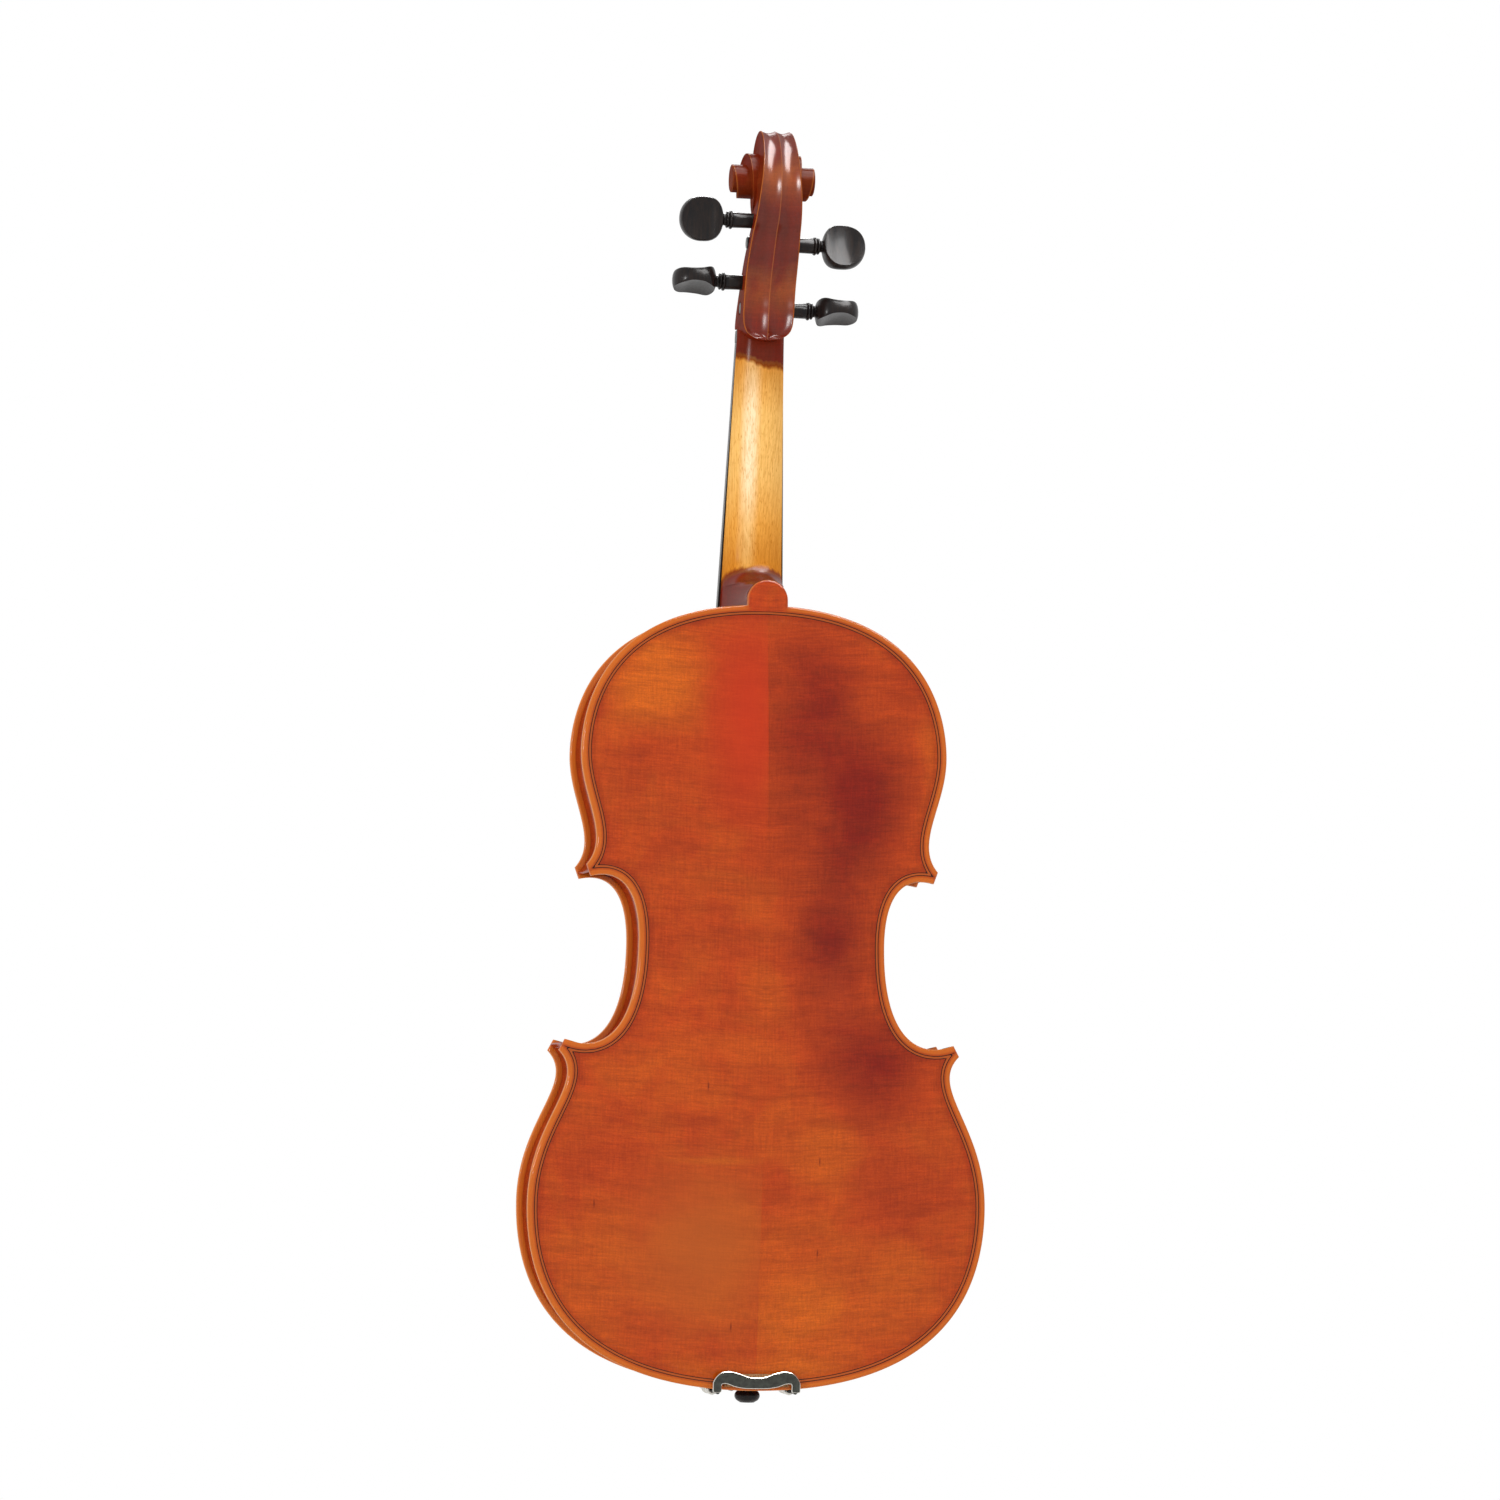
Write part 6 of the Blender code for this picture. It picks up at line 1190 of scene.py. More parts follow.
CLAMP_POST_DIAMETER, CLAMP_PLATE_THICKNESS = 0.0020, 0.0014
BARREL_DIAMETER, BARREL_LENGTH, POST_IN_BARREL = 0.0046, 0.0200, 0.0040
CORK_TOP_Y = -RIB_HEIGHT - EDGE_THICKNESS - 0.0003 - CORK_THICKNESS
HOOK_Y = CORK_TOP_Y - 0.0003 - CLAMP_PLATE_THICKNESS


def tail_point(x, out, up):
    """A point given in the tailpiece's plane: across, outward from its crown line, and up from its low end."""
    lean = TAILPIECE_TILT
    y = TAILPIECE_LOW_END_Y - out * math.cos(lean) - up * math.sin(lean)
    return x, y, TAILPIECE_LOW_END - out * math.sin(lean) + up * math.cos(lean)


def tail_fall(x):
    """How far the tailpiece's arched face has fallen at a distance from its crown line."""
    return TAILPIECE_CROWN * (x / (TAILPIECE_WIDE_END / 2)) ** 2


def tuner_x(name):
    return STRINGS[name]["slot"] * RIDGE_SPACING / 3


def tail_tool(name, outline, low, high):
    return tool(name, [[tail_point(x, out, up) for up, out in outline] for x in (low, high)])


def tail_ring(x, out, up, radius, steps):
    """A circle round the outward direction of the tailpiece."""
    turns = np.linspace(0, 2 * math.pi, steps, endpoint=False)
    return [tail_point(x + radius * math.cos(t), out, up + radius * math.sin(t)) for t in turns]


def tail_rod(name, x, up, low, high, radius, steps=32):
    return tool(name, [tail_ring(x, out, up, radius, steps) for out in (low, high)])


def cross_rod(low, high, out, up, radius, steps, ease=0.0):
    """Rings of a rod that lies across the tailpiece."""
    turns = np.linspace(0, 2 * math.pi, steps, endpoint=False)
    rings = []
    for x, size in ((low, radius - ease), (low + ease, radius), (high - ease, radius), (high, radius - ease)):
        rings.append([tail_point(x, out + size * math.cos(t), up + size * math.sin(t)) for t in turns])
    return rings if ease else [rings[0], rings[-1]]


def tailpiece_object(name):
    """The arched tailpiece with its string ridge, slots, screw holes, gut holes and axle lugs."""
    outline = smoothed([(0, 0.70), (0.0006, 0.84), (0.003, 0.97), (0.006, 1.0)], 5)
    stops = [*outline, *((up, 1.0) for up in np.linspace(0.008, TAILPIECE_LENGTH - 0.004, 24)),
             (TAILPIECE_LENGTH - 0.002, 0.995), (TAILPIECE_LENGTH - 0.0007, 0.985), (TAILPIECE_LENGTH, 0.96)]
    rings = []
    for up, share in stops:
        half = np.interp(up, [0, TAILPIECE_LENGTH], [TAILPIECE_NARROW_END, TAILPIECE_WIDE_END]) / 2 * share
        ease = 0.0007 * max(0.0, 1 - min(up, TAILPIECE_LENGTH - up) / 0.0008)
        across = half * np.sin(np.radians(np.linspace(-90, 90, 33)))
        soft = np.clip((np.abs(across) / half - 0.955) / 0.045, 0, 1) ** 2 * 0.0012
        ring = [tail_point(x, -tail_fall(x) - s - ease, up) for x, s in zip(across, soft)]
        low = zip(across[::-1], soft[::-1])
        ring += [tail_point(x, -tail_fall(x) - TAILPIECE_THICKNESS + s * 0.7 + ease * 0.5, up) for x, s in low]
        rings.append(ring)
    shape = Shape()
    shape.tube(rings)
    tailpiece = linked(name, shape.mesh(name))
    half = TAILPIECE_WIDE_END / 2 * 0.94
    ridge = []
    for x in np.linspace(-half, half, 33):
        drop = 0.0006 * max(0.0, (abs(x) / half - 0.93) / 0.07)
        arc = [(0.0013 * -math.cos(t), RIDGE_HEIGHT * math.sin(t) ** 0.8 - drop) for t in np.linspace(0.06, 3.08, 9)]
        ridge.append([tail_point(x, out - tail_fall(x), RIDGE_UP + up)
                      for up, out in [(-0.0014, -0.001), *arc, (0.0014, -0.001)]])
    joined = [tool("ridge", ridge)]
    lug = TUNER_LUG_WIDTH / 2
    for slot in (-1.88, -1, 0, 1, 1.88):
        x = slot * RIDGE_SPACING / 3
        out = -tail_fall(x) - TAILPIECE_THICKNESS * 0.5
        round_end = [(AXLE_UP + 0.0030 * math.cos(t), -TUNER_AXLE_DEPTH + 0.0001 - 0.0023 * math.sin(t))
                     for t in np.linspace(0, math.pi, 11)]
        outline = [(AXLE_UP - 0.0042, out), (AXLE_UP + 0.0042, out), *round_end]
        joined.append(tail_tool("lug", outline, x - lug, x + lug))
    carved(tailpiece, joined, "UNION")
    reach = TAILPIECE_WIDE_END / 2 + 0.004
    cuts = [tool("bore", cross_rod(-reach, reach, -TUNER_AXLE_DEPTH, AXLE_UP, TUNER_AXLE_DIAMETER / 2 + 0.0001, 24))]
    for string in STRINGS:
        x, wide = tuner_x(string), LEVER_WIDTH / 2 + 0.0006
        slot = [(AXLE_UP - 0.0100, 0.004), (AXLE_UP + 0.0032, 0.004),
                (AXLE_UP + 0.0032, -0.0068), (AXLE_UP - 0.0100, -0.0068)]
        cuts.append(tail_tool("slot", slot, x - wide, x + wide))
        cuts.append(tail_rod("hole", x, SCREW_UP, -0.012, 0.006, TUNER_SCREW_DIAMETER / 2 + 0.0003))
    for x in (-GUT_HALF_SPAN, GUT_HALF_SPAN):
        cuts.append(tail_rod("gut hole", x, 0.010, -0.012, 0.006, TAIL_GUT_DIAMETER / 2 + 0.0001))
    return carved(tailpiece, cuts)


def lever_object(name, string):
    """A tuner's bent lever, bored for the axle and forked for the string."""
    x = tuner_x(string)
    hook = LEVER_HOOK_STAND - tail_fall(x)
    arm = -TUNER_AXLE_DEPTH + LEVER_THICKNESS / 2
    outline = smoothed([
        (AXLE_UP + 0.0020, hook), (AXLE_UP + 0.0008, hook + 0.0), (AXLE_UP - 0.0004, hook),
        (AXLE_UP - 0.0016, hook - 0.003), (AXLE_UP - 0.0022, arm + 0.0008), (AXLE_UP - 0.0034, arm),
        (AXLE_UP - 0.0100, arm), (SCREW_UP - 0.0016, arm), (SCREW_UP - 0.0022, arm - LEVER_THICKNESS * 0.35),
        (SCREW_UP - 0.0016, arm - LEVER_THICKNESS * 0.7), (AXLE_UP - 0.0080, arm - LEVER_THICKNESS * 0.9),
        (AXLE_UP - 0.0010, arm - LEVER_THICKNESS - 0.0008), (AXLE_UP + 0.0014, -TUNER_AXLE_DEPTH - 0.0018),
        (AXLE_UP + 0.0022, -TUNER_AXLE_DEPTH - 0.0002), (AXLE_UP + 0.0021, -TUNER_AXLE_DEPTH + 0.0050),
        (AXLE_UP + 0.0020, hook),
    ], 4)[:-1]
    wide, ease = LEVER_WIDTH / 2, 0.00025
    middle = np.mean(outline, axis=0)
    rings = []
    for place, shrink in ((x - wide, ease), (x - wide + ease, 0), (x + wide - ease, 0), (x + wide, ease)):
        ring = []
        for up, out in outline:
            toward = np.array(middle) - (up, out)
            near = np.array([up, out]) + toward / max(np.linalg.norm(toward), 1e-9) * shrink * 0.6
            ring.append(tail_point(place, near[1], near[0]))
        rings.append(ring)
    lever = tool(name, rings)
    bore = cross_rod(x - 0.01, x + 0.01, -TUNER_AXLE_DEPTH, AXLE_UP, TUNER_AXLE_DIAMETER / 2 + 0.0001, 24)
    notch = STRINGS[string]["diameter"] / 2 + 0.0002
    fork = [(AXLE_UP + 0.006, hook + 0.003), (AXLE_UP - 0.006, hook + 0.003),
            (AXLE_UP - 0.006, hook - 0.0030), (AXLE_UP + 0.006, hook - 0.0030)]
    return carved(lever, [tool("bore", bore), tail_tool("fork", fork, x - notch, x + notch)])


def screw_mesh(name, string):
    """A tuner's screw: a shank with its thread's crests, and the plain drum that gets its knurl later."""
    x = tuner_x(string)
    stand = TUNER_HEAD_STAND - tail_fall(x)
    low = -TUNER_AXLE_DEPTH + LEVER_THICKNESS / 2 + 0.0003
    head, shank = TUNER_HEAD_DIAMETER / 2 - 0.0003, TUNER_SCREW_DIAMETER / 2
    top = stand + TUNER_HEAD_HEIGHT
    profile = [(1e-5, low), (shank * 0.55, low), (shank * 0.9, low + 0.0006)]
    pitch = 0.0006
    for k in range(int((stand - low - 0.0016) / pitch)):
        base = low + 0.0008 + k * pitch
        profile += [(shank * 0.90, base), (shank, base + pitch * 0.5)]
    profile += [(shank * 0.9, stand - 0.0005), (shank * 1.25, stand - 0.0003), (shank * 1.3, stand), (head * 0.88, stand),
                (head, stand + 0.0004), (head, top - 0.0006), (head * 0.86, top), (head * 0.45, top),
                (head * 0.40, top - 0.00035), (1e-5, top - 0.00035)]
    shape = Shape()
    shape.tube([tail_ring(x, out, SCREW_UP, radius, 48) for radius, out in profile])
    return shape.mesh(name)


def gut_route():
    """The loop that ties the tailpiece over the saddle to the end button."""
    radius, span = TAIL_GUT_DIAMETER / 2, GUT_HALF_SPAN
    crest = -RIB_HEIGHT - 0.0001 - EDGE_THICKNESS - SADDLE_STAND - 0.0003 - radius
    under = -TAILPIECE_THICKNESS - 0.0003 - radius
    one_side = [
        tail_point(span, -0.0010, 0.010), tail_point(span, under * 0.8, 0.010),
        tail_point(span, under - 0.0003, 0.0088), tail_point(span, under - 0.0004, 0.0050),
        (span, crest, 0.0040), (span, crest, 0.0018), (span, crest + 0.0012, -0.0004),
        (span, crest + 0.0035, -0.0014), (span, -RIB_HEIGHT - 0.0020, -0.0015),
        (span, -RIB_HEIGHT + 0.0030, -0.0012), (span, -RIB_HEIGHT + 0.0080, 0.0006),
        (span, BUTTON_AXIS_Y - 0.0040, 0.0013),
    ]
    turns = np.linspace(0, math.pi, 9)
    loop = [(span * math.cos(t), BUTTON_AXIS_Y + span * math.sin(t), 0.0013) for t in turns]
    return smoothed(one_side + loop + [(-x, y, z) for x, y, z in reversed(one_side)], 6)


def string_route(name):
    """One string: from the fine tuner over ridge, bridge and nut, and in turns round its peg."""
    size = STRINGS[name]
    radius = size["diameter"] / 2
    x_tail, x_bridge, x_nut = tuner_x(name), size["slot"] * BRIDGE_SPACING / 3, size["slot"] * NUT_SPACING / 3
    fall = tail_fall(x_tail)
    hook = LEVER_HOOK_STAND - fall
    ridge_out = RIDGE_HEIGHT - fall + STRING_CLEAR + radius
    top = bridge_top_y(x_bridge) - STRING_CLEAR * 0.7 - radius
    nut_y = nut_top_y(x_nut) - STRING_CLEAR - radius
    nut = BODY_LENGTH + NECK_LENGTH
    straight = [
        tail_point(x_tail, hook - 0.0017, AXLE_UP - 0.0012),
        tail_point(x_tail, ridge_out - 0.0005, RIDGE_UP - 0.0030),
        tail_point(x_tail, ridge_out, RIDGE_UP - 0.0006),
        tail_point(x_tail, ridge_out, RIDGE_UP + 0.0006),
        (x_bridge, top + 0.0002, BRIDGE_HEIGHT_ON_BODY - 0.0012),
        (x_bridge, top, BRIDGE_HEIGHT_ON_BODY),
        (x_bridge, top + 0.0001, BRIDGE_HEIGHT_ON_BODY + 0.0012),
        (x_nut, nut_y, nut + 0.0006),
        (x_nut, nut_y + 0.0002, nut + 0.0024),
        (x_nut, nut_y + 0.0014, HEAD_Z + 0.0002),
    ]
    peg_y, peg_z = peg_axis(name)
    start_x = PEGBOX_HALF_WIDTH - PEGBOX_WALL - 0.0022
    coil = peg_radius(start_x) + STRING_CLEAR + 0.0001 + radius
    away = np.array(straight[-1][1:]) - (peg_y, peg_z)
    touch = math.atan2(away[1], away[0]) - math.acos(coil / float(np.linalg.norm(away)))
    pitch = size["diameter"] + STRING_TURN_GAP
    points = 48
    wound = []
    for step in range(size["turns"] * points + 1):
        angle = touch - 2 * math.pi * step / points
        x = PEGS[name]["side"] * (start_x - pitch * step / points)
        wound.append((x, peg_y + coil * math.cos(angle), peg_z + coil * math.sin(angle)))
    return straight + wound


def looped(points, steps):
    """Points of a closed Catmull-Rom curve."""
    points = np.array(points, float)
    around = np.vstack([points[-1:], points, points[:2]])
    return smoothed(around, steps)[steps:steps + len(points) * steps]


def chinrest_section(x, low, high, dish, shrink=1.0):
    """One section across the chinrest: rounded rims, a dished upper face and a bellied underside."""
    span, rim = high - low, CHINREST_TOP_Y
    belly = rim + CHINREST_THICKNESS
    ring = []
    for share in (0.05, 0.15, 0.35, 0.5, 0.65, 0.85, 0.95):
        ring.append((x, rim + (1 - abs(2 * share - 1) ** 2.5) * dish, low + span * share))
    ring += [(x, rim + 0.0022, high), (x, belly - 0.0030, high)]
    for share in (0.90, 0.60, 0.40, 0.10):
        ring.append((x, belly + (1 - (2 * share - 1) ** 2) * dish * 0.6 - 0.0006, low + span * share))
    ring += [(x, belly - 0.0030, low), (x, rim + 0.0022, low)]
    ring = looped(ring, 4)
    ring[:, 1] = np.maximum(ring[:, 1], rim)
    middle = ring.mean(axis=0)
    return middle + (ring - middle) * (1, shrink, shrink)


def chinrest_object(name):
    """The rest: a cup beside the tailpiece, an arm over it, and a foot on each side of it."""
    cup, arm, start = CHINREST_CUP_LENGTH, CHINREST_ARM_LENGTH, CHINREST_LOW_EDGE
    left, right = CHINREST_LEFT, CHINREST_RIGHT
    stations = [
        (left, 0.53 * cup, 0.74 * cup, 0.1), (left * 0.965, 0.40 * cup, 0.86 * cup, 0.3),
        (left * 0.86, 0.26 * cup, 0.95 * cup, 0.8), (left * 0.70, 0.14 * cup, cup, 1.0),
        (left * 0.52, 0.065 * cup, 0.99 * cup, 1.0), (left * 0.36, 0.022 * cup, 0.92 * cup, 0.9),
        (left * 0.23, 0.006 * cup, 0.77 * cup, 0.7), (left * 0.14, 0.0, 0.61 * cup, 0.5),
        (left * 0.06, 0.0, 0.47 * cup, 0.25), (0.0020, 0.0, 1.06 * arm, 0.07), (0.45 * right, 0.0, arm, 0.07),
        (0.75 * right, 0.0, 0.97 * arm, 0.07), (0.93 * right, 0.10 * arm, 0.86 * arm, 0.07),
        (right, 0.27 * arm, 0.66 * arm, 0.07),
    ]
    rings = []
    for x, low, high, dish in smoothed(stations, 5):
        end = min(x - left, right - x)
        shrink = 0.45 + 0.55 * math.sqrt(min(1.0, max(0.0, end + 0.0002) / 0.0030))
        rings.append(chinrest_section(x, start + low, start + high, CHINREST_CUP_DEPTH * max(dish, 0.02), shrink))
    shape = Shape()
    shape.tube(rings)
    chinrest = linked(name, shape.mesh(name))
    foot_y = HOOK_Y - 0.0003
    inner, outer, deep = CHINREST_FOOT_INNER, CHINREST_FOOT_OUTER, CHINREST_FOOT_DEPTH
    feet = []
    for side in (-1, 1):
        rows = smoothed([(CHINREST_TOP_Y + CHINREST_THICKNESS - 0.0015, 1.6), (-0.0590, 1.25), (-0.0520, 1.05),
                         (foot_y - 0.0004, 1.0), (foot_y, 0.96)], 5)
        rings = []
        for y, spread_out in rows:
            wide, long = (outer - inner) / 2 * min(1.0, spread_out), deep * spread_out
            middle = (inner + outer) / 2 - 0.001 * (spread_out - 1)
            low, high = start + 0.0002 * spread_out, start + long
            ring = looped([
                (side * (middle - wide), y, low + 0.001), (side * (middle - wide * 0.8), y, low),
                (side * (middle + wide * 0.8), y, low + 0.0002), (side * (middle + wide), y, low + 0.002),
                (side * (middle + wide), y, high - 0.002), (side * (middle + wide * 0.8), y, high),
                (side * (middle - wide * 0.8), y, high), (side * (middle - wide), y, high - 0.001),
            ], 4)
            rings.append(ring)
        feet.append(tool("foot", rings))
    return carved(chinrest, feet, "UNION")


def inward(outline, distance):
    """A closed outline, listed clockwise or not, drawn in by a distance."""
    outline = np.array(outline, float)
    ahead = np.roll(outline, -1, axis=0) - np.roll(outline, 1, axis=0)
    ahead /= np.maximum(np.linalg.norm(ahead, axis=1), 1e-12)[:, None]
    area = np.sum(outline[:, 0] * np.roll(outline[:, 1], -1) - np.roll(outline[:, 0], -1) * outline[:, 1])
    turned = np.stack([-ahead[:, 1], ahead[:, 0]], axis=1) * (1 if area > 0 else -1)
    return outline + turned * distance


def plate_shape(outline, low, high, ease=0.0003):
    """A flat plate across Y with eased edges. Its value "bright" is 1 on the eased edges, where bare nickel shows, and
    0 on the flat faces.
    """
    small, smaller = inward(outline, ease), inward(outline, ease * 1.25)
    rows = [(smaller, low, 0), (small, low, 1), (outline, low + ease, 1),
            (outline, high - ease, 1), (small, high, 1), (smaller, high, 0)]
    shape = Shape()
    rings = [[(x, y, z) for x, z in line] for line, y, _ in rows]
    shape.tube(rings, bright=[[value] * len(outline) for _, _, value in rows])
    return shape


def clamp_foot_object(name):
    """The foot that pulls on the back's edge: a dark plate with bright edges, and its two posts."""
    face = EDGE_THICKNESS + 0.0003 + CORK_THICKNESS + 0.0003
    tip = CLAMP_SPAN / 2 + 0.0026
    rows = [(0.0, 0.0069), (0.0045, 0.0074), (0.0090, 0.0090), (0.0125, 0.0099), (0.0155, 0.0101),
            (0.0188, 0.0093), (0.0212, 0.0072), (tip, 0.0042), (tip, 0.0003), (tip - 0.0008, -0.0007),
            (0.0191, -0.0007), (0.0183, 0.0003), (0.0183, 0.0030), (0.0175, 0.0038), (0.0150, 0.0036),
            (0.0110, 0.0022), (0.0060, 0.0014), (0.0, 0.0013)]
    both = rows + [(-x, z) for x, z in rows[-2:0:-1]]
    outline = looped(both, 5)
    outline[:, 0] = np.clip(outline[:, 0], -tip, tip)
    plate = linked(name, plate_shape(outline, face, face + CLAMP_PLATE_THICKNESS).mesh(name))
    end = -RIB_HEIGHT / 2 + BARREL_LENGTH / 2 - POST_IN_BARREL
    posts = []
    for x in (-CLAMP_SPAN / 2, CLAMP_SPAN / 2):
        z = CLAMP_AXIS_HEIGHT
        posts.append(tool("post", threaded(x, end, face + CLAMP_PLATE_THICKNESS * 0.8, z)))
    return carved(plate, posts, "UNION")


def threaded(x, low, high, z, steps=24):
    """Rings of a clamp post along Y, with shallow crests where it is threaded."""
    radius, pitch = CLAMP_POST_DIAMETER / 2, 0.0005
    rings = [round_ring((x, low, z), radius * 0.8, 1, steps)]
    y = low + pitch / 2
    while y < high - 0.006:
        rings.append(round_ring((x, y, z), radius, 1, steps))
        rings.append(round_ring((x, y + pitch / 2, z), radius * 0.9, 1, steps))
        y += pitch
    rings += [round_ring((x, y, z), radius, 1, steps), round_ring((x, high, z), radius, 1, steps)]
    return rings


def swept(points, radius, steps=20):
    """Rings round a path that lies in a plane of constant x."""
    points = np.array(points, float)
    ahead = np.gradient(points, axis=0)
    ahead /= np.linalg.norm(ahead, axis=1)[:, None]
    rings = []
    turns = np.linspace(0, 2 * math.pi, steps, endpoint=False)
    for place, way in zip(points, ahead):
        beside, across = np.array([1.0, 0, 0]), np.cross(way, (1.0, 0, 0))
        rings.append([place + radius * (math.cos(t) * beside + math.sin(t) * across) for t in turns])
    return rings


def hook_object(name, side):
    """One of the clamp's bent wires, brazed to the plate under the chinrest's foot."""
    post, z, start = CLAMP_POST_DIAMETER / 2, CLAMP_AXIS_HEIGHT, CHINREST_LOW_EDGE
    middle = HOOK_Y + CLAMP_PLATE_THICKNESS / 2
    x = side * CLAMP_SPAN / 2
    end = -RIB_HEIGHT / 2 - BARREL_LENGTH / 2 + POST_IN_BARREL
    inner, outer = CLAMP_SPAN / 2 - post * 0.9, CHINREST_FOOT_OUTER - 0.005
    low, high = start - 0.0010, start + CHINREST_FOOT_DEPTH - 0.0025
    outline = [(inner, low), (inner + 0.0030, low), (inner + 0.0055, start + 0.0014),
               (outer, start + 0.0014), (outer, high), (inner, high)]
    plate = plate_shape([(side * a, b) for a, b in outline], HOOK_Y, HOOK_Y + CLAMP_PLATE_THICKNESS, 0.0002)
    hook = linked(name, plate.mesh(name))
    bend = bezier((x, middle, start - 0.0004), (x, middle, z - 0.0002), (x, middle - 0.0002, z),
                  (x, middle + 0.0024, z), 10)
    leg = swept(np.vstack([bend, [(x, middle + 0.004, z)]]), post)
    wire = [ring * (1, -1, 1) for ring in threaded(x, -end, -middle - 0.0035, z)]
    return carved(hook, [tool("bend", leg), tool("leg", wire)], "UNION")


def barrel_object(name, side):
    """A clamp barrel with its grooves, its bore and the cross hole for the key."""
    post, barrel = CLAMP_POST_DIAMETER / 2, BARREL_DIAMETER / 2
    x, middle, z = side * CLAMP_SPAN / 2, -RIB_HEIGHT / 2, CLAMP_AXIS_HEIGHT
    half, groove, bore = BARREL_LENGTH / 2, barrel * 0.86, post + 0.0003
    profile = [(bore, half), (groove, half), (barrel * 0.97, half - 0.0004), (barrel, half - 0.0009)]
    for top in (0.0075, 0.0062, 0.0049):
        profile += [(barrel, top + 0.0003), (barrel * 0.93, top), (barrel, top - 0.0003)]
    profile += [(barrel, 0.0032), (groove, 0.0028), (groove, -0.0028), (barrel, -0.0032)]
    for top in (0.0049, 0.0062, 0.0075):
        profile += [(barrel, -top + 0.0003), (barrel * 0.93, -top), (barrel, -top - 0.0003)]
    profile += [(barrel, -half + 0.0009), (barrel * 0.97, -half + 0.0004), (groove, -half), (bore, -half)]
    rings = [round_ring((x, middle + at, z), radius, 1, 48) for radius, at in profile]
    shape = Shape()
    start, count = shape.grid([*rings, rings[0]], True)
    body = linked(name, shape.mesh(name))
    pin = [round_ring((x, middle, z + end), 0.0008, 2, 20) for end in (-0.004, 0.004)]
    return carved(body, [tool("pin", pin)])


# Geometry Nodes


def new_tree(name, inputs):
    """An empty modifier tree with a geometry in and out, and the named inputs (name, socket type, default)."""
    tree = bpy.data.node_groups.new(name, "GeometryNodeTree")
    tree.interface.new_socket("Geometry", in_out="INPUT", socket_type="NodeSocketGeometry")
    tree.interface.new_socket("Geometry", in_out="OUTPUT", socket_type="NodeSocketGeometry")
    for label, kind, default in inputs:
        tree.interface.new_socket(label, in_out="INPUT", socket_type=kind).default_value = default
    return tree, add(tree, "NodeGroupInput").node.outputs


def closed_tree(tree, geometry, material):
    real = add(tree, "GeometryNodeRealizeInstances", {"Geometry": geometry})
    painted = add(tree, "GeometryNodeSetMaterial", {"Geometry": real, "Material": material})
    add(tree, "NodeGroupOutput", {0: painted})


def grown(obj, tree, **values):
    """Run a tree on an object and keep its result as a plain mesh."""
    modifier = obj.modifiers.new(tree.name, "NODES")
    modifier.node_group = tree
    for item in tree.interface.items_tree:
        label = item.name.lower().replace(" ", "_")
        if item.in_out == "INPUT" and label in values:
            modifier[item.identifier] = values[label]
    return applied(obj)


def wire_tree(name, material):
    """A round wire along the object's edges, which remembers how far along it each point is."""
    tree, given = new_tree(name, [("Radius", "NodeSocketFloat", 0.0005), ("Sides", "NodeSocketInt", 16)])
    curve = add(tree, "GeometryNodeMeshToCurve", {"Mesh": given["Geometry"]})
    length = add(tree, "GeometryNodeSplineParameter", take="Length")
    marked = add(tree, "GeometryNodeStoreNamedAttribute", {
        "Geometry": curve, "Name": "along", "Value": length,
    }, data_type="FLOAT", domain="POINT")
    ring = add(tree, "GeometryNodeCurvePrimitiveCircle", {"Resolution": given["Sides"], "Radius": given["Radius"]})
    skin = add(tree, "GeometryNodeCurveToMesh", {
        "Curve": marked, "Profile Curve": ring, "Fill Caps": True,
    })
    closed_tree(tree, skin, material)
    return tree


def knurl_tree(material):
    """Fine ridges round a screw's head, added to the plain screw."""
    tree, given = new_tree("Knurled head", [
        ("Ridges", "NodeSocketInt", 32), ("Radius", "NodeSocketFloat", 0.0034),
        ("Height", "NodeSocketFloat", 0.0028), ("Ridge radius", "NodeSocketFloat", 0.0003),
        ("Place", "NodeSocketVector", (0.0, 0.0, 0.0)), ("Turn", "NodeSocketVector", (0.0, 0.0, 0.0)),
    ])
    circle = add(tree, "GeometryNodeMeshCircle", {"Vertices": given["Ridges"], "Radius": given["Radius"]})
    ridge = add(tree, "GeometryNodeMeshCylinder", {
        "Vertices": 6, "Side Segments": 1, "Radius": given["Ridge radius"], "Depth": given["Height"],
    })
    copies = add(tree, "GeometryNodeInstanceOnPoints", {"Points": circle, "Instance": ridge})
    placed = add(tree, "GeometryNodeTransform", {
        "Geometry": copies, "Translation": given["Place"], "Rotation": given["Turn"],
    })
    both = add(tree, "GeometryNodeJoinGeometry", [given["Geometry"], placed])
    closed_tree(tree, both, material)
    return tree


def path_object(name, points):
    """An object whose mesh is only the edges of a path, in the frame."""
    mesh = bpy.data.meshes.new(name)
    mesh.from_pydata([Vector(point) + OFFSET for point in points], [(k, k + 1) for k in range(len(points) - 1)], [])
    return linked(name, mesh)


# Finishes


def places_of(tree):
    """Object coordinates, and their parts with x mirrored, as the two matched halves of a plate are."""
    place = add(tree, "TexCoord", take="Object")
    parts = add(tree, "SeparateXYZ", place).node.outputs
    mirrored_x = add(tree, "Math", {0: parts["X"]}, operation="ABSOLUTE")
    matched = add(tree, "CombineXYZ", {"X": mirrored_x, "Y": parts["Y"], "Z": parts["Z"]})
    return place, parts, matched


def millimetres(across, deep, tall):
    """Texture scale from the size of one feature along each axis, in millimetres."""
    return (1000 / across, 1000 / deep, 1000 / tall)
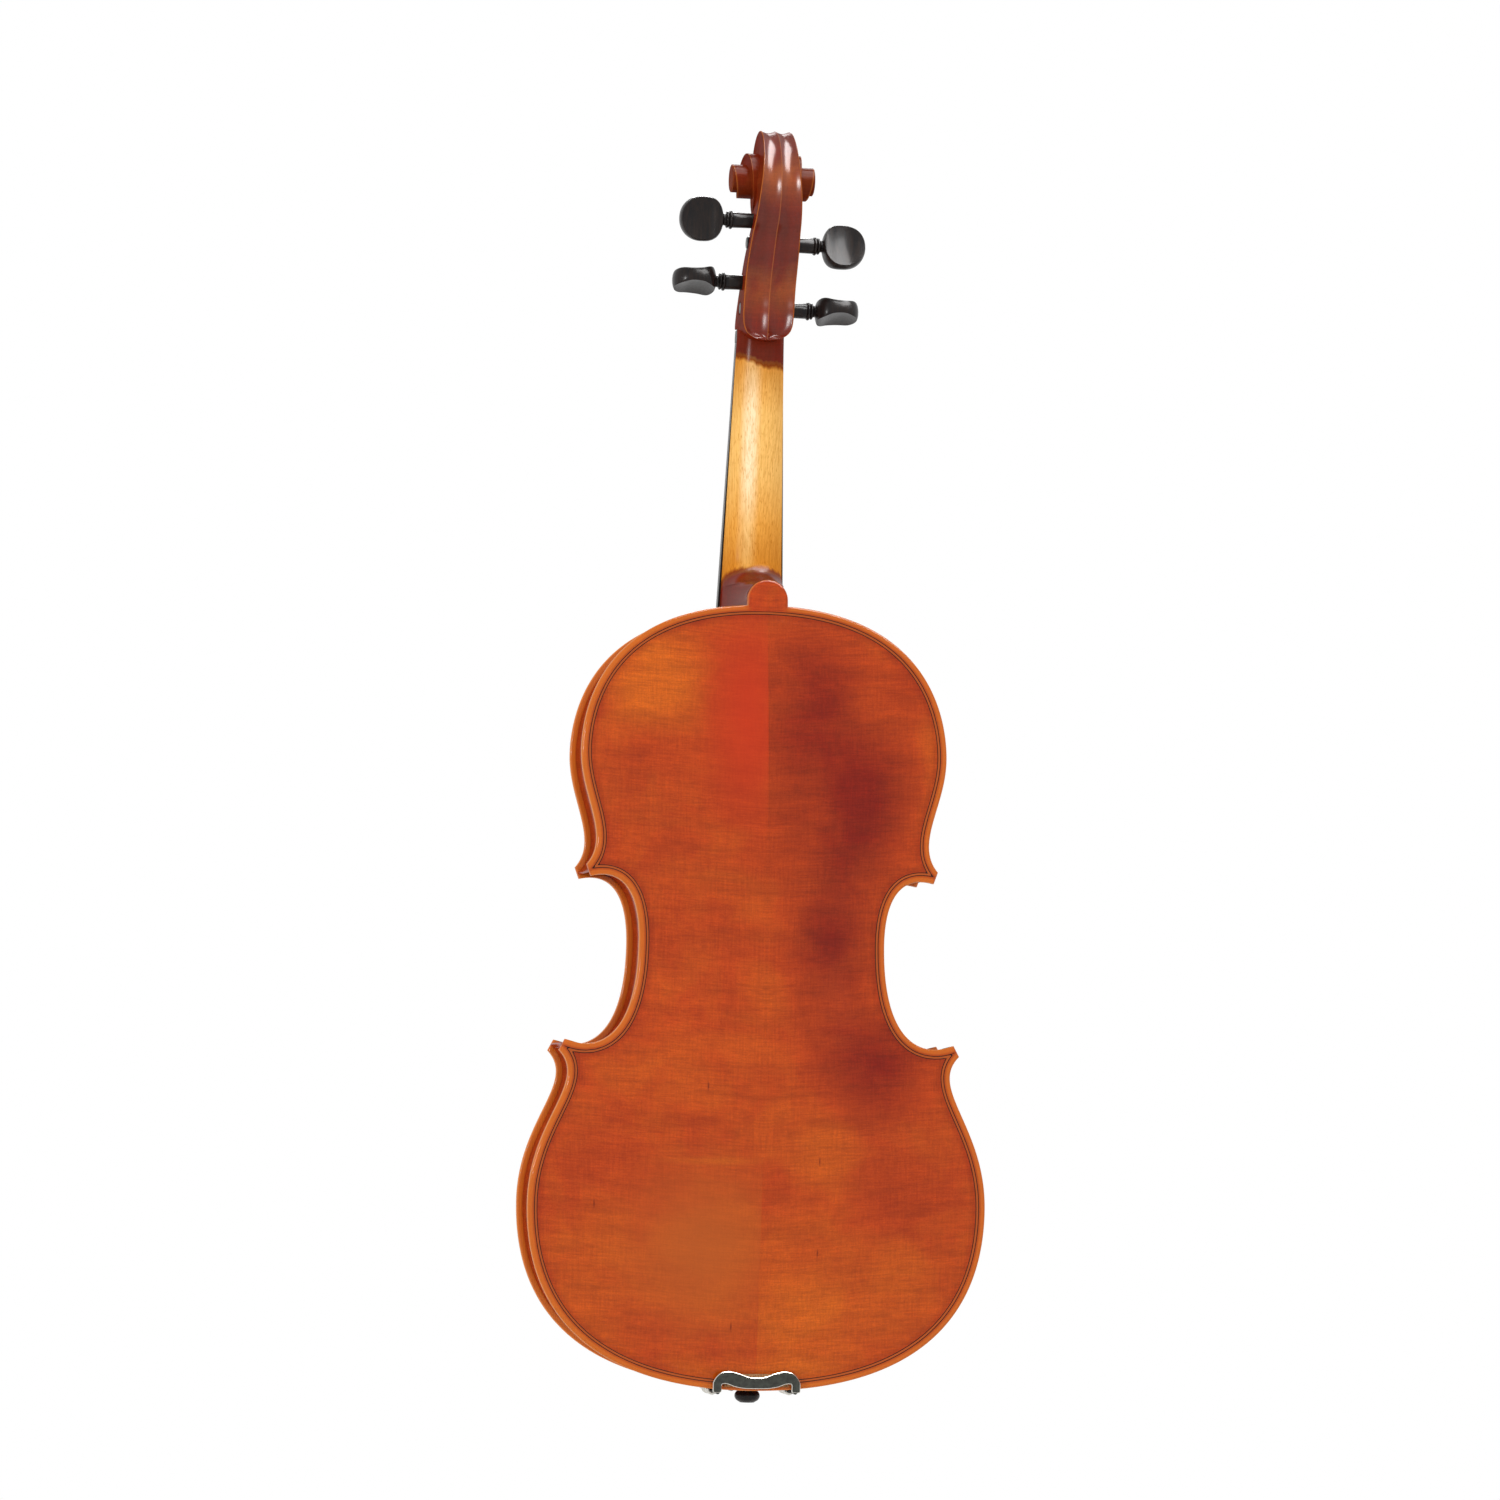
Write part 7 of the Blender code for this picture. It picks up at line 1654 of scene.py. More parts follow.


# Painted light lies in these patches too: the treble half is painted mostly lighter and the bass half mostly darker, as
# the treble side is lit more. The rest is the varnish's own unevenness.
VARNISH_AND_PAINTED_LIGHT_PATCHES = (
    # x, z, half width and half height on the body, how much thicker the varnish is there, and the half it is on
    (0.060, 0.365, 0.044, 0.046, -0.48, 0),
    (0.062, 0.328, 0.034, 0.022, 0.08, 0),
    (0.012, 0.345, 0.026, 0.095, 0.06, 1),
    (-0.020, 0.338, 0.042, 0.092, 0.46, -1),
    (-0.040, 0.358, 0.036, 0.040, 0.18, -1),
    (-0.056, 0.318, 0.036, 0.034, 0.46, -1),
    (-0.050, 0.287, 0.038, 0.042, 0.48, -1),
    (-0.072, 0.360, 0.024, 0.030, 0.16, -1),
    (-0.090, 0.330, 0.014, 0.050, -0.18, -1),
    (-0.036, 0.232, 0.036, 0.056, 0.52, -1),
    (0.048, 0.262, 0.042, 0.042, -0.06, 1),
    (-0.058, 0.168, 0.050, 0.040, 0.58, -1),
    (-0.030, 0.126, 0.036, 0.046, -0.24, -1),
    (0.004, 0.214, 0.022, 0.050, -0.10, 0),
    (0.050, 0.165, 0.044, 0.054, -0.16, 1),
    (0.026, 0.1177, 0.034, 0.0034, -0.26, 1),
    (0.030, 0.066, 0.060, 0.056, -0.30, 1),
    (0.088, 0.068, 0.036, 0.046, -0.22, 1),
    (-0.024, 0.044, 0.056, 0.060, -0.40, -1),
    (-0.070, 0.106, 0.036, 0.030, 0.16, -1),
    (-0.076, 0.050, 0.034, 0.046, -0.26, -1),
    (0.076, 0.024, 0.030, 0.026, -0.20, 1),
    # Painted light: this patch lightens the lower edge of both halves, which the lamps leave in shade.
    (0.0, 0.004, 0.090, 0.020, -0.32, 0),
)
RIB_DARKENING = 0.34  # added to the ribs' varnish thickness, which colours the ribs, between the two overhanging edges, darker and redder than the plates
GROWTH_FLECKS = ((0.0140, 0.0330), (0.0860, 0.0950), (-0.0300, 0.1180), (-0.0300, 0.0710), (0.0290, 0.1560))


def varnish_thickness(tree, place, parts, brushed):
    """How thick the varnish lies, from 0 to 1. A brushed plate has more of it in patches, other on each half. The
    patches also hold painted light: a lighter treble half and a lightened lower edge.
    """
    total = add(
        tree, "MapRange",
        {
            "Value": curl(tree, place, 1.0, millimetres(34, 34, 26), 4.0, 0.6), "From Min": 0.3, "From Max": 0.7,
            "To Min": 0.30, "To Max": 0.54})
    treble = add(tree, "Math", parts["X"], 0.0, operation="GREATER_THAN")
    halves = {1: treble, -1: add(tree, "Math", 1.0, treble, operation="SUBTRACT")}
    for x, z, half_width, half_height, strength, half in VARNISH_AND_PAINTED_LIGHT_PATCHES if brushed else ():
        spot = patch(tree, place, (x, 0, z + OFFSET.z), (half_width, 0, half_height), strength)
        total = add(tree, "Math", spot, halves.get(half, 1.0), total, operation="MULTIPLY_ADD")
    return add(tree, "Math", total, 0.0, operation="MAXIMUM", use_clamp=True)


def maple_figure(tree, matched, slope=0.06, depth=1.0):
    """Light and dark of the maple: a faint flame and fine rays across the grain, and thin lines along it."""
    lean = add(tree, "Mapping", {"Vector": matched, "Rotation": (0.0, slope, 0.0)})
    flame = curl(tree, lean, 1.0, millimetres(40, 30, 5.5), 2.0, 0.3)
    rays = curl(tree, lean, 1.0, millimetres(9, 9, 0.85), 2.0, 0.6)
    thread = curl(tree, matched, 1.0, millimetres(0.8, 0.8, 14), 3.0, 0.2)
    speck = curl(tree, matched, 1.0, millimetres(0.9, 0.9, 0.7), 2.0, 0.0)
    figure = add(tree, "ValToRGB", flame, points=[(0.32, grey(1 - 0.14 * depth)), (0.68, grey(1.0 + 0.04 * depth))])
    for factor, low, dark, high, light in (
        (rays, 0.34, 0.15, 0.66, 0.07), (thread, 0.30, 0.13, 0.68, 0.05), (speck, 0.32, 0.12, 0.66, 0.06),
    ):
        layer = add(tree, "ValToRGB", factor, points=[(low, grey(1 - dark * depth)), (high, grey(1 + light * depth))])
        figure = add(tree, "Mix", 1.0, figure, layer, data_type="RGBA", blend_type="MULTIPLY")
    return figure


def ringed(tree, colour, looks):
    """Purfling and worn rim over a plate's colour, by the distance from the body's edge."""
    distance = add(tree, "Attribute", attribute_name="inset", take="Fac")
    share = add(tree, "Math", distance, 100.0, operation="MULTIPLY")
    centre, half = PURFLING_INSET * 100, PURFLING_WIDTH * 50
    line = half * 0.42
    dark, light = linear("#1C0703"), linear("#A24A18")
    inlay = add(
        tree, "ValToRGB", share,
        points=[
            (centre - half, dark), (centre - half + line, dark), (centre - half + line + 0.004, light),
            (centre + half - line - 0.004, light), (centre + half - line, dark)])
    where = add(
        tree, "ValToRGB", share,
        points=[
            (centre - half - 0.004, grey(0)), (centre - half, grey(1)), (centre + half, grey(1)),
            (centre + half + 0.004, grey(0))])
    rim = add(
        tree, "ValToRGB", share,
        points=[(0.0, grey(0.85)), (0.20, grey(0.75)), (centre - half, grey(0.35)), (centre + half, grey(0))])
    # Darker around the purfling and into the scoop inside it: partly varnish pooled in the channel, partly painted
    # shade of the scoop.
    deep = add(
        tree, "ValToRGB", share,
        points=[
            (0.20, grey(1.0)), (centre - half, (0.72, 0.55, 0.45)), (centre + half, (0.80, 0.68, 0.60)),
            (0.85, grey(1.0))])
    edged = add(
        tree, "Mix", 1.0, add(tree, "Mix", rim, colour, tuple(looks.rim), data_type="RGBA"), deep, data_type="RGBA",
        blend_type="MULTIPLY")
    tab = add(tree, "Attribute", attribute_name="tab", take="Fac")
    colour = add(tree, "Mix", tab, add(tree, "Mix", where, edged, inlay, data_type="RGBA"), colour, data_type="RGBA")
    worn = add(tree, "ValToRGB", share, points=[(0.0, grey(0.45)), (0.06, grey(0.0))])
    return add(tree, "Mix", worn, colour, linear("#D58A3C"), data_type="RGBA"), where


def varnished_maple(name, purfled=False, followed=False):
    """Flamed maple under a red-brown oil varnish. The eye sees stripes that stay soft under a clear gloss."""
    looks = bpy.context.scene.viola_varnish
    material, tree, shader = new_material(
        name, Roughness=0.45, Specular_IOR_Level=0.0, Coat_Weight=0.38, Coat_Roughness=0.10, Coat_IOR=1.5, IOR=1.5)
    place, parts, matched = places_of(tree)
    if followed:
        walked = add(tree, "Attribute", attribute_name="along", take="Fac")
        matched = add(tree, "CombineXYZ", {"X": parts["Y"], "Z": walked})
    thickness = varnish_thickness(tree, place, parts, purfled)
    if followed:
        thickness = add(tree, "Math", thickness, RIB_DARKENING, operation="ADD")
    colour = add(
        tree, "ValToRGB", thickness,
        points=[(0.0, tuple(looks.amber)), (0.45, tuple(looks.orange)), (1.0, tuple(looks.red))])
    colour = add(tree, "Mix", 1.0, colour, maple_figure(tree, matched), data_type="RGBA", blend_type="MULTIPLY")
    if purfled:
        halves = add(tree, "Math", parts["X"], 0.0, operation="GREATER_THAN")
        warm = patch(tree, place, (0.010, 0, 0.348 + OFFSET.z), (0.034, 0, 0.085), 0.75)
        colour = add(
            tree, "Mix", add(tree, "Math", warm, halves, operation="MULTIPLY"), colour, linear("#B62C0C"),
            data_type="RGBA")
        umber = patch(tree, place, (0.030, 0, 0.074 + OFFSET.z), (0.062, 0, 0.066), 0.75)
        colour = add(
            tree, "Mix", add(tree, "Math", umber, halves, operation="MULTIPLY"), colour, linear("#A54C18"),
            data_type="RGBA")
        for x, z in GROWTH_FLECKS:
            mark = patch(tree, place, (x, 0, z + OFFSET.z), (0.0007, 0, 0.0036), 0.7)
            colour = add(tree, "Mix", mark, colour, linear("#4A1406"), data_type="RGBA")
        colour, _ = ringed(tree, colour, looks)
    tree.links.new(colour, shader.inputs["Base Color"])
    tree.links.new(
        add(
            tree, "Bump",
            {
                "Strength": 0.15, "Distance": 0.0001,
                "Height": curl(tree, matched, 1.0, millimetres(0.5, 0.5, 8), 2.0, 0.1)}),
        shader.inputs["Normal"])
    return material


def neck_maple():
    """Maple varnished dark on head and heel, and only oiled, golden and satin where the hand slides."""
    looks = bpy.context.scene.viola_varnish
    material, tree, shader = new_material(
        "Maple neck, varnished head and oiled grip", Specular_IOR_Level=0.0, Coat_Roughness=0.22,
        Coat_IOR=1.5, IOR=1.5)
    place, parts, matched = places_of(tree)
    ragged = add(
        tree, "Math", curl(tree, place, 1.0, millimetres(2.2, 2.2, 6), 3.0, 0.3), 0.004, operation="MULTIPLY")
    height = add(tree, "Math", parts["Z"], ragged, operation="ADD")
    treble = add(tree, "Math", parts["X"], 0.0, operation="MAXIMUM")
    over = add(
        tree, "Math", height, add(tree, "Math", treble, 0.44, OFFSET.z + 0.5365, operation="MULTIPLY_ADD"),
        operation="SUBTRACT")
    above = add(tree, "MapRange", {"Value": over, "From Min": -0.0012, "From Max": 0.0036})
    leaning = add(
        tree, "Math", parts["Y"], -0.46, add(tree, "Math", height, 0.46 * OFFSET.y, operation="ADD"),
        operation="MULTIPLY_ADD")
    under = add(tree, "MapRange", {"Value": leaning, "From Min": OFFSET.z + 0.4474, "From Max": OFFSET.z + 0.4414})
    covered = add(tree, "Math", above, under, operation="MAXIMUM")
    figure = maple_figure(tree, matched, 0.05)
    thick = curl(tree, place, 1.0, millimetres(14, 14, 26), 3.0, 0.4)
    bands = add(
        tree, "MapRange",
        {"Value": parts["Z"], "From Min": OFFSET.z + HEAD_Z - 0.010, "From Max": OFFSET.z + HEAD_Z + 0.105})
    bands = add(
        tree, "Math", thick, 0.16, add(tree, "Math", bands, 0.08, operation="SUBTRACT"), operation="MULTIPLY_ADD")
    tones = [(0.0, looks.head), (0.12, looks.head), (0.24, looks.honey), (0.36, looks.head), (0.58, looks.head),
             (0.72, looks.honey), (0.84, looks.head), (1.0, looks.head)]
    polish = add(tree, "Attribute", attribute_name="polish", take="Fac")
    dark = add(tree, "ValToRGB", bands, points=[(at, tuple(tone)) for at, tone in tones])
    dark = add(
        tree, "Mix", add(tree, "ValToRGB", polish, points=[(0.25, grey(0.25)), (0.75, grey(1.0))]), tuple(looks.head),
        dark, data_type="RGBA")
    dark = add(
        tree, "Mix", add(tree, "ValToRGB", thick, points=[(0.45, grey(0.0)), (0.70, grey(0.5))]), dark,
        tuple(looks.red), data_type="RGBA")
    dark = add(
        tree, "Mix", 0.7, dark, add(tree, "Mix", 1.0, dark, figure, data_type="RGBA", blend_type="MULTIPLY"),
        data_type="RGBA")
    # Lighter where the wear value is high: the worn chamfers of the head, and a painted highlight along the scroll's
    # spine.
    worn = add(tree, "Attribute", attribute_name="worn", take="Fac")
    edge = add(tree, "ValToRGB", worn, points=[(0.55, grey(0)), (0.95, grey(0.65))])
    dark = add(tree, "Mix", edge, dark, linear("#B8682C"), data_type="RGBA")
    # Painted highlight: a pale strip down the grip, a little to the treble side of the middle.
    painted_highlight_strip = patch(tree, place, (0.0052, 0, 0), (0.0062, 0, 0), 1.0)
    bare = add(tree, "Mix", painted_highlight_strip, tuple(looks.neck), linear("#FFE4BC"), data_type="RGBA")
    along_grip = add(
        tree, "MapRange", {"Value": parts["Z"], "From Min": OFFSET.z + 0.425, "From Max": OFFSET.z + 0.545})
    ends = add(
        tree, "ValToRGB", along_grip,
        points=[
            (0.0, linear("#D9AE5E")), (0.22, linear("#F4DDB0")), (0.45, grey(1.0)), (0.70, grey(1.0)),
            (1.0, linear("#E2B968"))])
    bare = add(tree, "Mix", 1.0, bare, ends, data_type="RGBA", blend_type="MULTIPLY")
    grain = add(
        tree, "ValToRGB", curl(tree, place, 1.0, millimetres(0.7, 0.7, 30), 4.0, 0.3),
        points=[(0.35, (0.84, 0.76, 0.62)), (0.60, grey(1.0))])
    pores = add(
        tree, "ValToRGB", curl(tree, place, 1.0, millimetres(0.45, 0.45, 3.5), 1.0, 0.0),
        points=[(0.30, (0.80, 0.68, 0.52)), (0.42, grey(1.0))])
    bare = add(
        tree, "Mix", 1.0, add(tree, "Mix", 1.0, bare, grain, data_type="RGBA", blend_type="MULTIPLY"), pores,
        data_type="RGBA", blend_type="MULTIPLY")
    middle = add(tree, "ValToRGB", covered, points=[(0.0, grey(1.0)), (0.5, linear("#C08A4A")), (1.0, grey(1.0))])
    colour = add(
        tree, "Mix", 1.0, add(tree, "Mix", covered, bare, dark, data_type="RGBA"), middle, data_type="RGBA",
        blend_type="MULTIPLY")
    tree.links.new(colour, shader.inputs["Base Color"])
    rough = add(tree, "MapRange", {"Value": covered, "To Min": 0.50, "To Max": 0.30})
    tree.links.new(rough, shader.inputs["Roughness"])
    clear = add(
        tree, "Math", add(tree, "Math", polish, covered, operation="MULTIPLY"), 0.52, 0.04, operation="MULTIPLY_ADD")
    tree.links.new(clear, shader.inputs["Coat Weight"])
    tree.links.new(
        add(
            tree, "Bump",
            {
                "Strength": 0.2, "Distance": 0.0001,
                "Height": curl(tree, matched, 1.0, millimetres(0.5, 0.5, 12), 2.0, 0.1)}),
        shader.inputs["Normal"])
    return material


def spruce_grain(tree, place, spacing=1.25):
    """Straight dark summer lines of spruce, at one spacing."""
    wander = add(tree, "Mapping", {"Vector": place, "Scale": (1.0, 0.0, 0.06)})
    return add(
        tree, "TexWave",
        {
            "Vector": wander, "Scale": 2 * math.pi / 20 / (spacing / 1000), "Distortion": 1.4, "Detail": 2.0,
            "Detail Scale": 0.35},
        wave_type="BANDS", bands_direction="X", wave_profile="SAW", take="Fac")


def varnished_spruce():
    """Quarter-sawn spruce under the same varnish. The eye sees fine straight lines along the top."""
    looks = bpy.context.scene.viola_varnish
    material, tree, shader = new_material(
        "Oil-varnished spruce, quarter-sawn", Roughness=0.45, Specular_IOR_Level=0.05, Coat_Weight=0.3, Coat_Roughness=0.08,
        Coat_IOR=1.5, IOR=1.5)
    place, parts, matched = places_of(tree)
    line = add(
        tree, "ValToRGB", spruce_grain(tree, matched),
        points=[
            (0.0, (1.06, 1.06, 1.06)), (0.62, (1.0, 0.98, 0.95)), (0.90, (0.60, 0.46, 0.36)),
            (1.0, (0.80, 0.72, 0.64))])
    silk = add(
        tree, "ValToRGB", curl(tree, matched, 1.0, millimetres(3, 3, 60), 3.0, 0.3),
        points=[(0.3, grey(0.88)), (0.7, grey(1.08))])
    cloud = curl(tree, place, 1.0, millimetres(45, 45, 60), 3.0, 0.5)
    colour = add(tree, "ValToRGB", cloud, points=[(0.3, tuple(looks.spruce)), (0.75, tuple(looks.orange))])
    colour = add(
        tree, "Mix", 1.0, add(tree, "Mix", 1.0, colour, line, data_type="RGBA", blend_type="MULTIPLY"), silk,
        data_type="RGBA", blend_type="MULTIPLY")
    colour, _ = ringed(tree, colour, looks)
    tree.links.new(colour, shader.inputs["Base Color"])
    tree.links.new(
        add(tree, "Bump", {"Strength": 0.25, "Distance": 0.0001, "Height": spruce_grain(tree, matched)}),
        shader.inputs["Normal"])
    return material


def bare_spruce():
    """Split spruce, planed and left bare inside the body: pale, dry and lined."""
    looks = bpy.context.scene.viola_varnish
    material, tree, shader = new_material("Bare spruce, planed", Roughness=0.75)
    place, _, matched = places_of(tree)
    line = add(
        tree, "ValToRGB", spruce_grain(tree, matched, 1.6),
        points=[(0.0, grey(1.0)), (0.8, grey(0.95)), (0.95, (0.70, 0.58, 0.46))])
    tree.links.new(
        add(tree, "Mix", 1.0, tuple(looks.bare), line, data_type="RGBA", blend_type="MULTIPLY"),
        shader.inputs["Base Color"])
    return material


def bridge_maple():
    """Hard maple on the quarter, scraped and left bare: pale, with short brown ray flecks."""
    looks = bpy.context.scene.viola_varnish
    material, tree, shader = new_material("Bare maple, quarter-sawn and scraped", Roughness=0.55)
    place, _, _ = places_of(tree)
    fleck = curl(tree, place, 1.0, millimetres(1.6, 0.35, 1.0), 1.0, 0.1)
    tone = curl(tree, place, 1.0, millimetres(20, 6, 6), 3.0, 0.3)
    colour = add(tree, "ValToRGB", tone, points=[(0.3, tuple(looks.bare)), (0.75, linear("#C99A5C"))])
    marks = add(tree, "ValToRGB", fleck, points=[(0.57, grey(1.0)), (0.66, (0.62, 0.45, 0.30))])
    tree.links.new(
        add(tree, "Mix", 1.0, colour, marks, data_type="RGBA", blend_type="MULTIPLY"), shader.inputs["Base Color"])
    tree.links.new(
        add(tree, "Bump", {"Strength": 0.15, "Distance": 0.0001, "Height": fleck}), shader.inputs["Normal"])
    return material


def ebony(name="Ebony, turned and oiled", rough=0.30):
    """Ebony, almost black, closed and satin. Faint brown streaks and pores keep it from looking moulded."""
    looks = bpy.context.scene.viola_fittings
    material, tree, shader = new_material(name, IOR=1.54, Specular_IOR_Level=0.1, Coat_Weight=0.14, Coat_Roughness=0.16)
    place, _, _ = places_of(tree)
    streak = curl(tree, place, 1.0, millimetres(1.6, 1.6, 30), 4.0, 0.5)
    pores = curl(tree, place, 1.0, millimetres(0.22, 0.22, 2.4), 1.0, 0.0)
    colour = add(tree, "ValToRGB", streak, points=[(0.35, tuple(looks.ebony)), (0.72, linear("#241B17"))])
    tree.links.new(colour, shader.inputs["Base Color"])
    uneven = add(
        tree, "MapRange",
        {
            "Value": curl(tree, place, 1.0, millimetres(7, 7, 14), 3.0, 0.3), "To Min": rough - 0.06,
            "To Max": rough + 0.10})
    tree.links.new(uneven, shader.inputs["Roughness"])
    tree.links.new(
        add(
            tree, "Bump",
            {
                "Strength": 0.25, "Distance": 0.00006,
                "Height": add(tree, "ValToRGB", pores, points=[(0.30, grey(0.0)), (0.42, grey(1.0))])}),
        shader.inputs["Normal"])
    return material


def moulded_composite():
    """Glass-filled nylon out of a mould: black, even, with a faint fine texture and soft shine."""
    material, tree, shader = new_material(
        "Moulded composite", Roughness=0.36, IOR=1.5, Base_Color=(*bpy.context.scene.viola_fittings.composite, 1.0))
    place, _, _ = places_of(tree)
    tree.links.new(
        add(
            tree, "Bump",
            {
                "Strength": 0.2, "Distance": 0.00006,
                "Height": curl(tree, place, 1.0, millimetres(0.5, 0.5, 0.5), 3.0, 0.0)}),
        shader.inputs["Normal"])
    return material


def plated(name, colour, rough, streak=millimetres(0.3, 6, 0.3)):
    """Metal with its own colour, and a roughness that varies in faint polishing streaks."""
    material, tree, shader = new_material(name, Metallic=1.0, Base_Color=(*colour, 1.0))
    place, _, _ = places_of(tree)
    uneven = add(
        tree, "MapRange",
        {"Value": curl(tree, place, 1.0, streak, 3.0, 0.2), "To Min": rough - 0.05, "To Max": rough + 0.12})
    tree.links.new(uneven, shader.inputs["Roughness"])
    return material


def nickel_plate_painted_dark():
    """Nickel-plated steel whose flat face is painted dark, a painted reflection of a dark room. The plating shows
    bright only along the eased edges.
    """
    looks = bpy.context.scene.viola_fittings
    material, tree, shader = new_material("Blackened steel with polished edges", Specular_IOR_Level=0.3)
    place, _, _ = places_of(tree)
    bright = add(tree, "Attribute", attribute_name="bright", take="Fac")
    shown = add(tree, "ValToRGB", bright, points=[(0.35, grey(0)), (0.55, grey(1))])
    cloud = curl(tree, place, 1.0, millimetres(2.5, 2.5, 2.5), 4.0, 0.4)
    # Painted reflection: the flat face gets a dark, mottled colour, as if it mirrored a dark room.
    dark = add(tree, "ValToRGB", cloud, points=[(0.3, tuple(looks.dark_plate)), (0.75, linear("#262522"))])
    tree.links.new(add(tree, "Mix", shown, dark, tuple(looks.nickel), data_type="RGBA"), shader.inputs["Base Color"])
    tree.links.new(add(tree, "MapRange", {"Value": shown, "To Min": 0.35, "To Max": 1.0}), shader.inputs["Metallic"])
    tree.links.new(
        add(tree, "MapRange", {"Value": shown, "To Min": 0.42, "To Max": 0.16}), shader.inputs["Roughness"])
    return material


def pressed_cork():
    """Pressed cork sheet: brown grains of about a millimetre with dark bark between them, and no shine."""
    material, tree, shader = new_material("Pressed cork", Roughness=0.88)
    place, _, _ = places_of(tree)
    cells = add(tree, "TexVoronoi", {"Vector": place, "Scale": 1000 / 0.9}).node.outputs
    tone = add(
        tree, "ValToRGB", cells["Color"],
        points=[(0.2, tuple(bpy.context.scene.viola_fittings.cork)), (0.8, linear("#7D5530"))])
    seam = add(tree, "ValToRGB", cells["Distance"], points=[(0.45, grey(1.0)), (0.75, (0.42, 0.34, 0.28))])
    tree.links.new(
        add(tree, "Mix", 1.0, tone, seam, data_type="RGBA", blend_type="MULTIPLY"), shader.inputs["Base Color"])
    tree.links.new(
        add(tree, "Bump", {"Strength": 0.5, "Distance": 0.0002, "Height": cells["Distance"]}),
        shader.inputs["Normal"])
    return material


def wound_wire(silk_from, silk_to):
    """Flat metal ribbon round a string, with thread over both ends. The ribbon is drawn 0.5 mm wide to show."""
    looks = bpy.context.scene.viola_fittings
    material, tree, shader = new_material("Flat-wound string wire and silk")
    along_string = add(tree, "Attribute", attribute_name="along", take="Fac")
    before = add(tree, "Math", along_string, silk_from, operation="LESS_THAN")
    after = add(tree, "Math", along_string, silk_to, operation="GREATER_THAN")
    silk = add(tree, "Math", before, after, operation="MAXIMUM")
    turn = add(tree, "Math", add(tree, "Math", along_string, 1000 / 0.5, operation="MULTIPLY"), operation="FRACT")
    seam = add(
        tree, "ValToRGB", turn, points=[(0.0, grey(0.45)), (0.16, grey(1.0)), (0.86, grey(1.0)), (1.0, grey(0.45))])
    metal = add(tree, "Mix", 1.0, tuple(looks.wire), seam, data_type="RGBA", blend_type="MULTIPLY")
    tree.links.new(add(tree, "Mix", silk, metal, tuple(looks.silk), data_type="RGBA"), shader.inputs["Base Color"])
    tree.links.new(add(tree, "Math", 1.0, silk, operation="SUBTRACT"), shader.inputs["Metallic"])
    tree.links.new(add(tree, "MapRange", {"Value": silk, "To Min": 0.28, "To Max": 0.70}), shader.inputs["Roughness"])
    tree.links.new(add(tree, "Bump", {"Strength": 0.3, "Distance": 0.00005, "Height": seam}), shader.inputs["Normal"])
    return material


def drawn_nylon():
    """The black cord of the tail: drawn nylon, smooth and slightly waxy."""
    material, tree, shader = new_material("Drawn nylon", Roughness=0.40, IOR=1.53, Base_Color=(0.012, 0.012, 0.012, 1.0))
    place, _, _ = places_of(tree)
    tree.links.new(
        add(
            tree, "Bump",
            {
                "Strength": 0.15, "Distance": 0.00005,
                "Height": curl(tree, place, 1.0, millimetres(0.4, 3, 3), 2.0, 0.0)}),
        shader.inputs["Normal"])
    return material


made = {}


def kept(maker, *given):
    """One material for each finish, made when a piece first asks for it."""
    key = (maker.__name__, *given)
    if key not in made:
        made[key] = maker(*given)
    return made[key]


def nickel(name="Nickel-plated steel, polished"):
    """Nickel plate on turned and bent steel: bright and warm grey, with soft polishing streaks."""
    return plated(name, tuple(bpy.context.scene.viola_fittings.nickel), 0.16)


def brass():
    """Brass drilled and cut from rod, dulled by handling."""
    return plated("Brass, cut from rod", linear("#C8A24E"), 0.30)


# Pieces


def back_tab(side):
    """The rounded tab of the back under the neck's heel, with the same rounded edge as the plate."""
    radius, low = BUTTON_WIDTH / 2, BODY_LENGTH - 0.0022
    straight = BODY_LENGTH + BUTTON_HEIGHT - radius
    outline = [(0.00001, low), *((x, low) for x in np.linspace(0.002, radius, 5))]
    outline += [(radius * math.cos(t), straight + radius * math.sin(t)) for t in np.linspace(0, math.pi / 2, 20)[:-1]]
    outline += [(0.00001, z) for z in np.linspace(straight + radius, low, 9)[:-1]]
    outline = np.array(outline)
    rounding, rings = 0.0014, []
    turns = np.radians(np.linspace(0, 90, 7))
    steps = [(0.0002, 0.00004), (0.0, 0.0003)]
    steps += [(rounding * (1 - math.cos(t)), EDGE_THICKNESS - rounding * (1 - math.sin(t)) - 0.00004) for t in turns]
    centre = np.array([0.0, straight])
    for drawn_in, y in steps:
        away = outline - centre
        reach = np.linalg.norm(away, axis=1)[:, None]
        places = centre + away * np.where(outline[:, 1:] > low + 0.0005, 1 - drawn_in / np.maximum(reach, drawn_in + 0.002), 1)
        places[:, 0] = np.maximum(places[:, 0], 0.00001)
        rings.append([(side * x, y, z) for x, z in places])
    return tool("tab", rings)


def plate_object(name, side, back):
    """A half of the back with its tab, or of the top with its sound hole and its notches."""
    if back:
        plate = half_plate(name, side, BACK_ARCH, BACK_THICKNESS, 1)
        carved(plate, [back_tab(side)], "UNION")
    else:
        plate = half_plate(name, side, TOP_ARCH, TOP_THICKNESS, -1)
        wide, deep = SADDLE_WIDTH / 2 + 0.0001, SADDLE_DEPTH + 0.0001
        notch = [(-wide, -0.01), (wide, -0.01), (wide, deep), (-wide, deep)]
        notch = tool("notch", pushed(notch, -RIB_HEIGHT - 0.02, -RIB_HEIGHT + 0.01, 1))
        carved(plate, [*f_hole_tools(side), neck_root_tool("root"), notch])
    measured(plate.data)
    shade(plate.data, 40)
    return plate


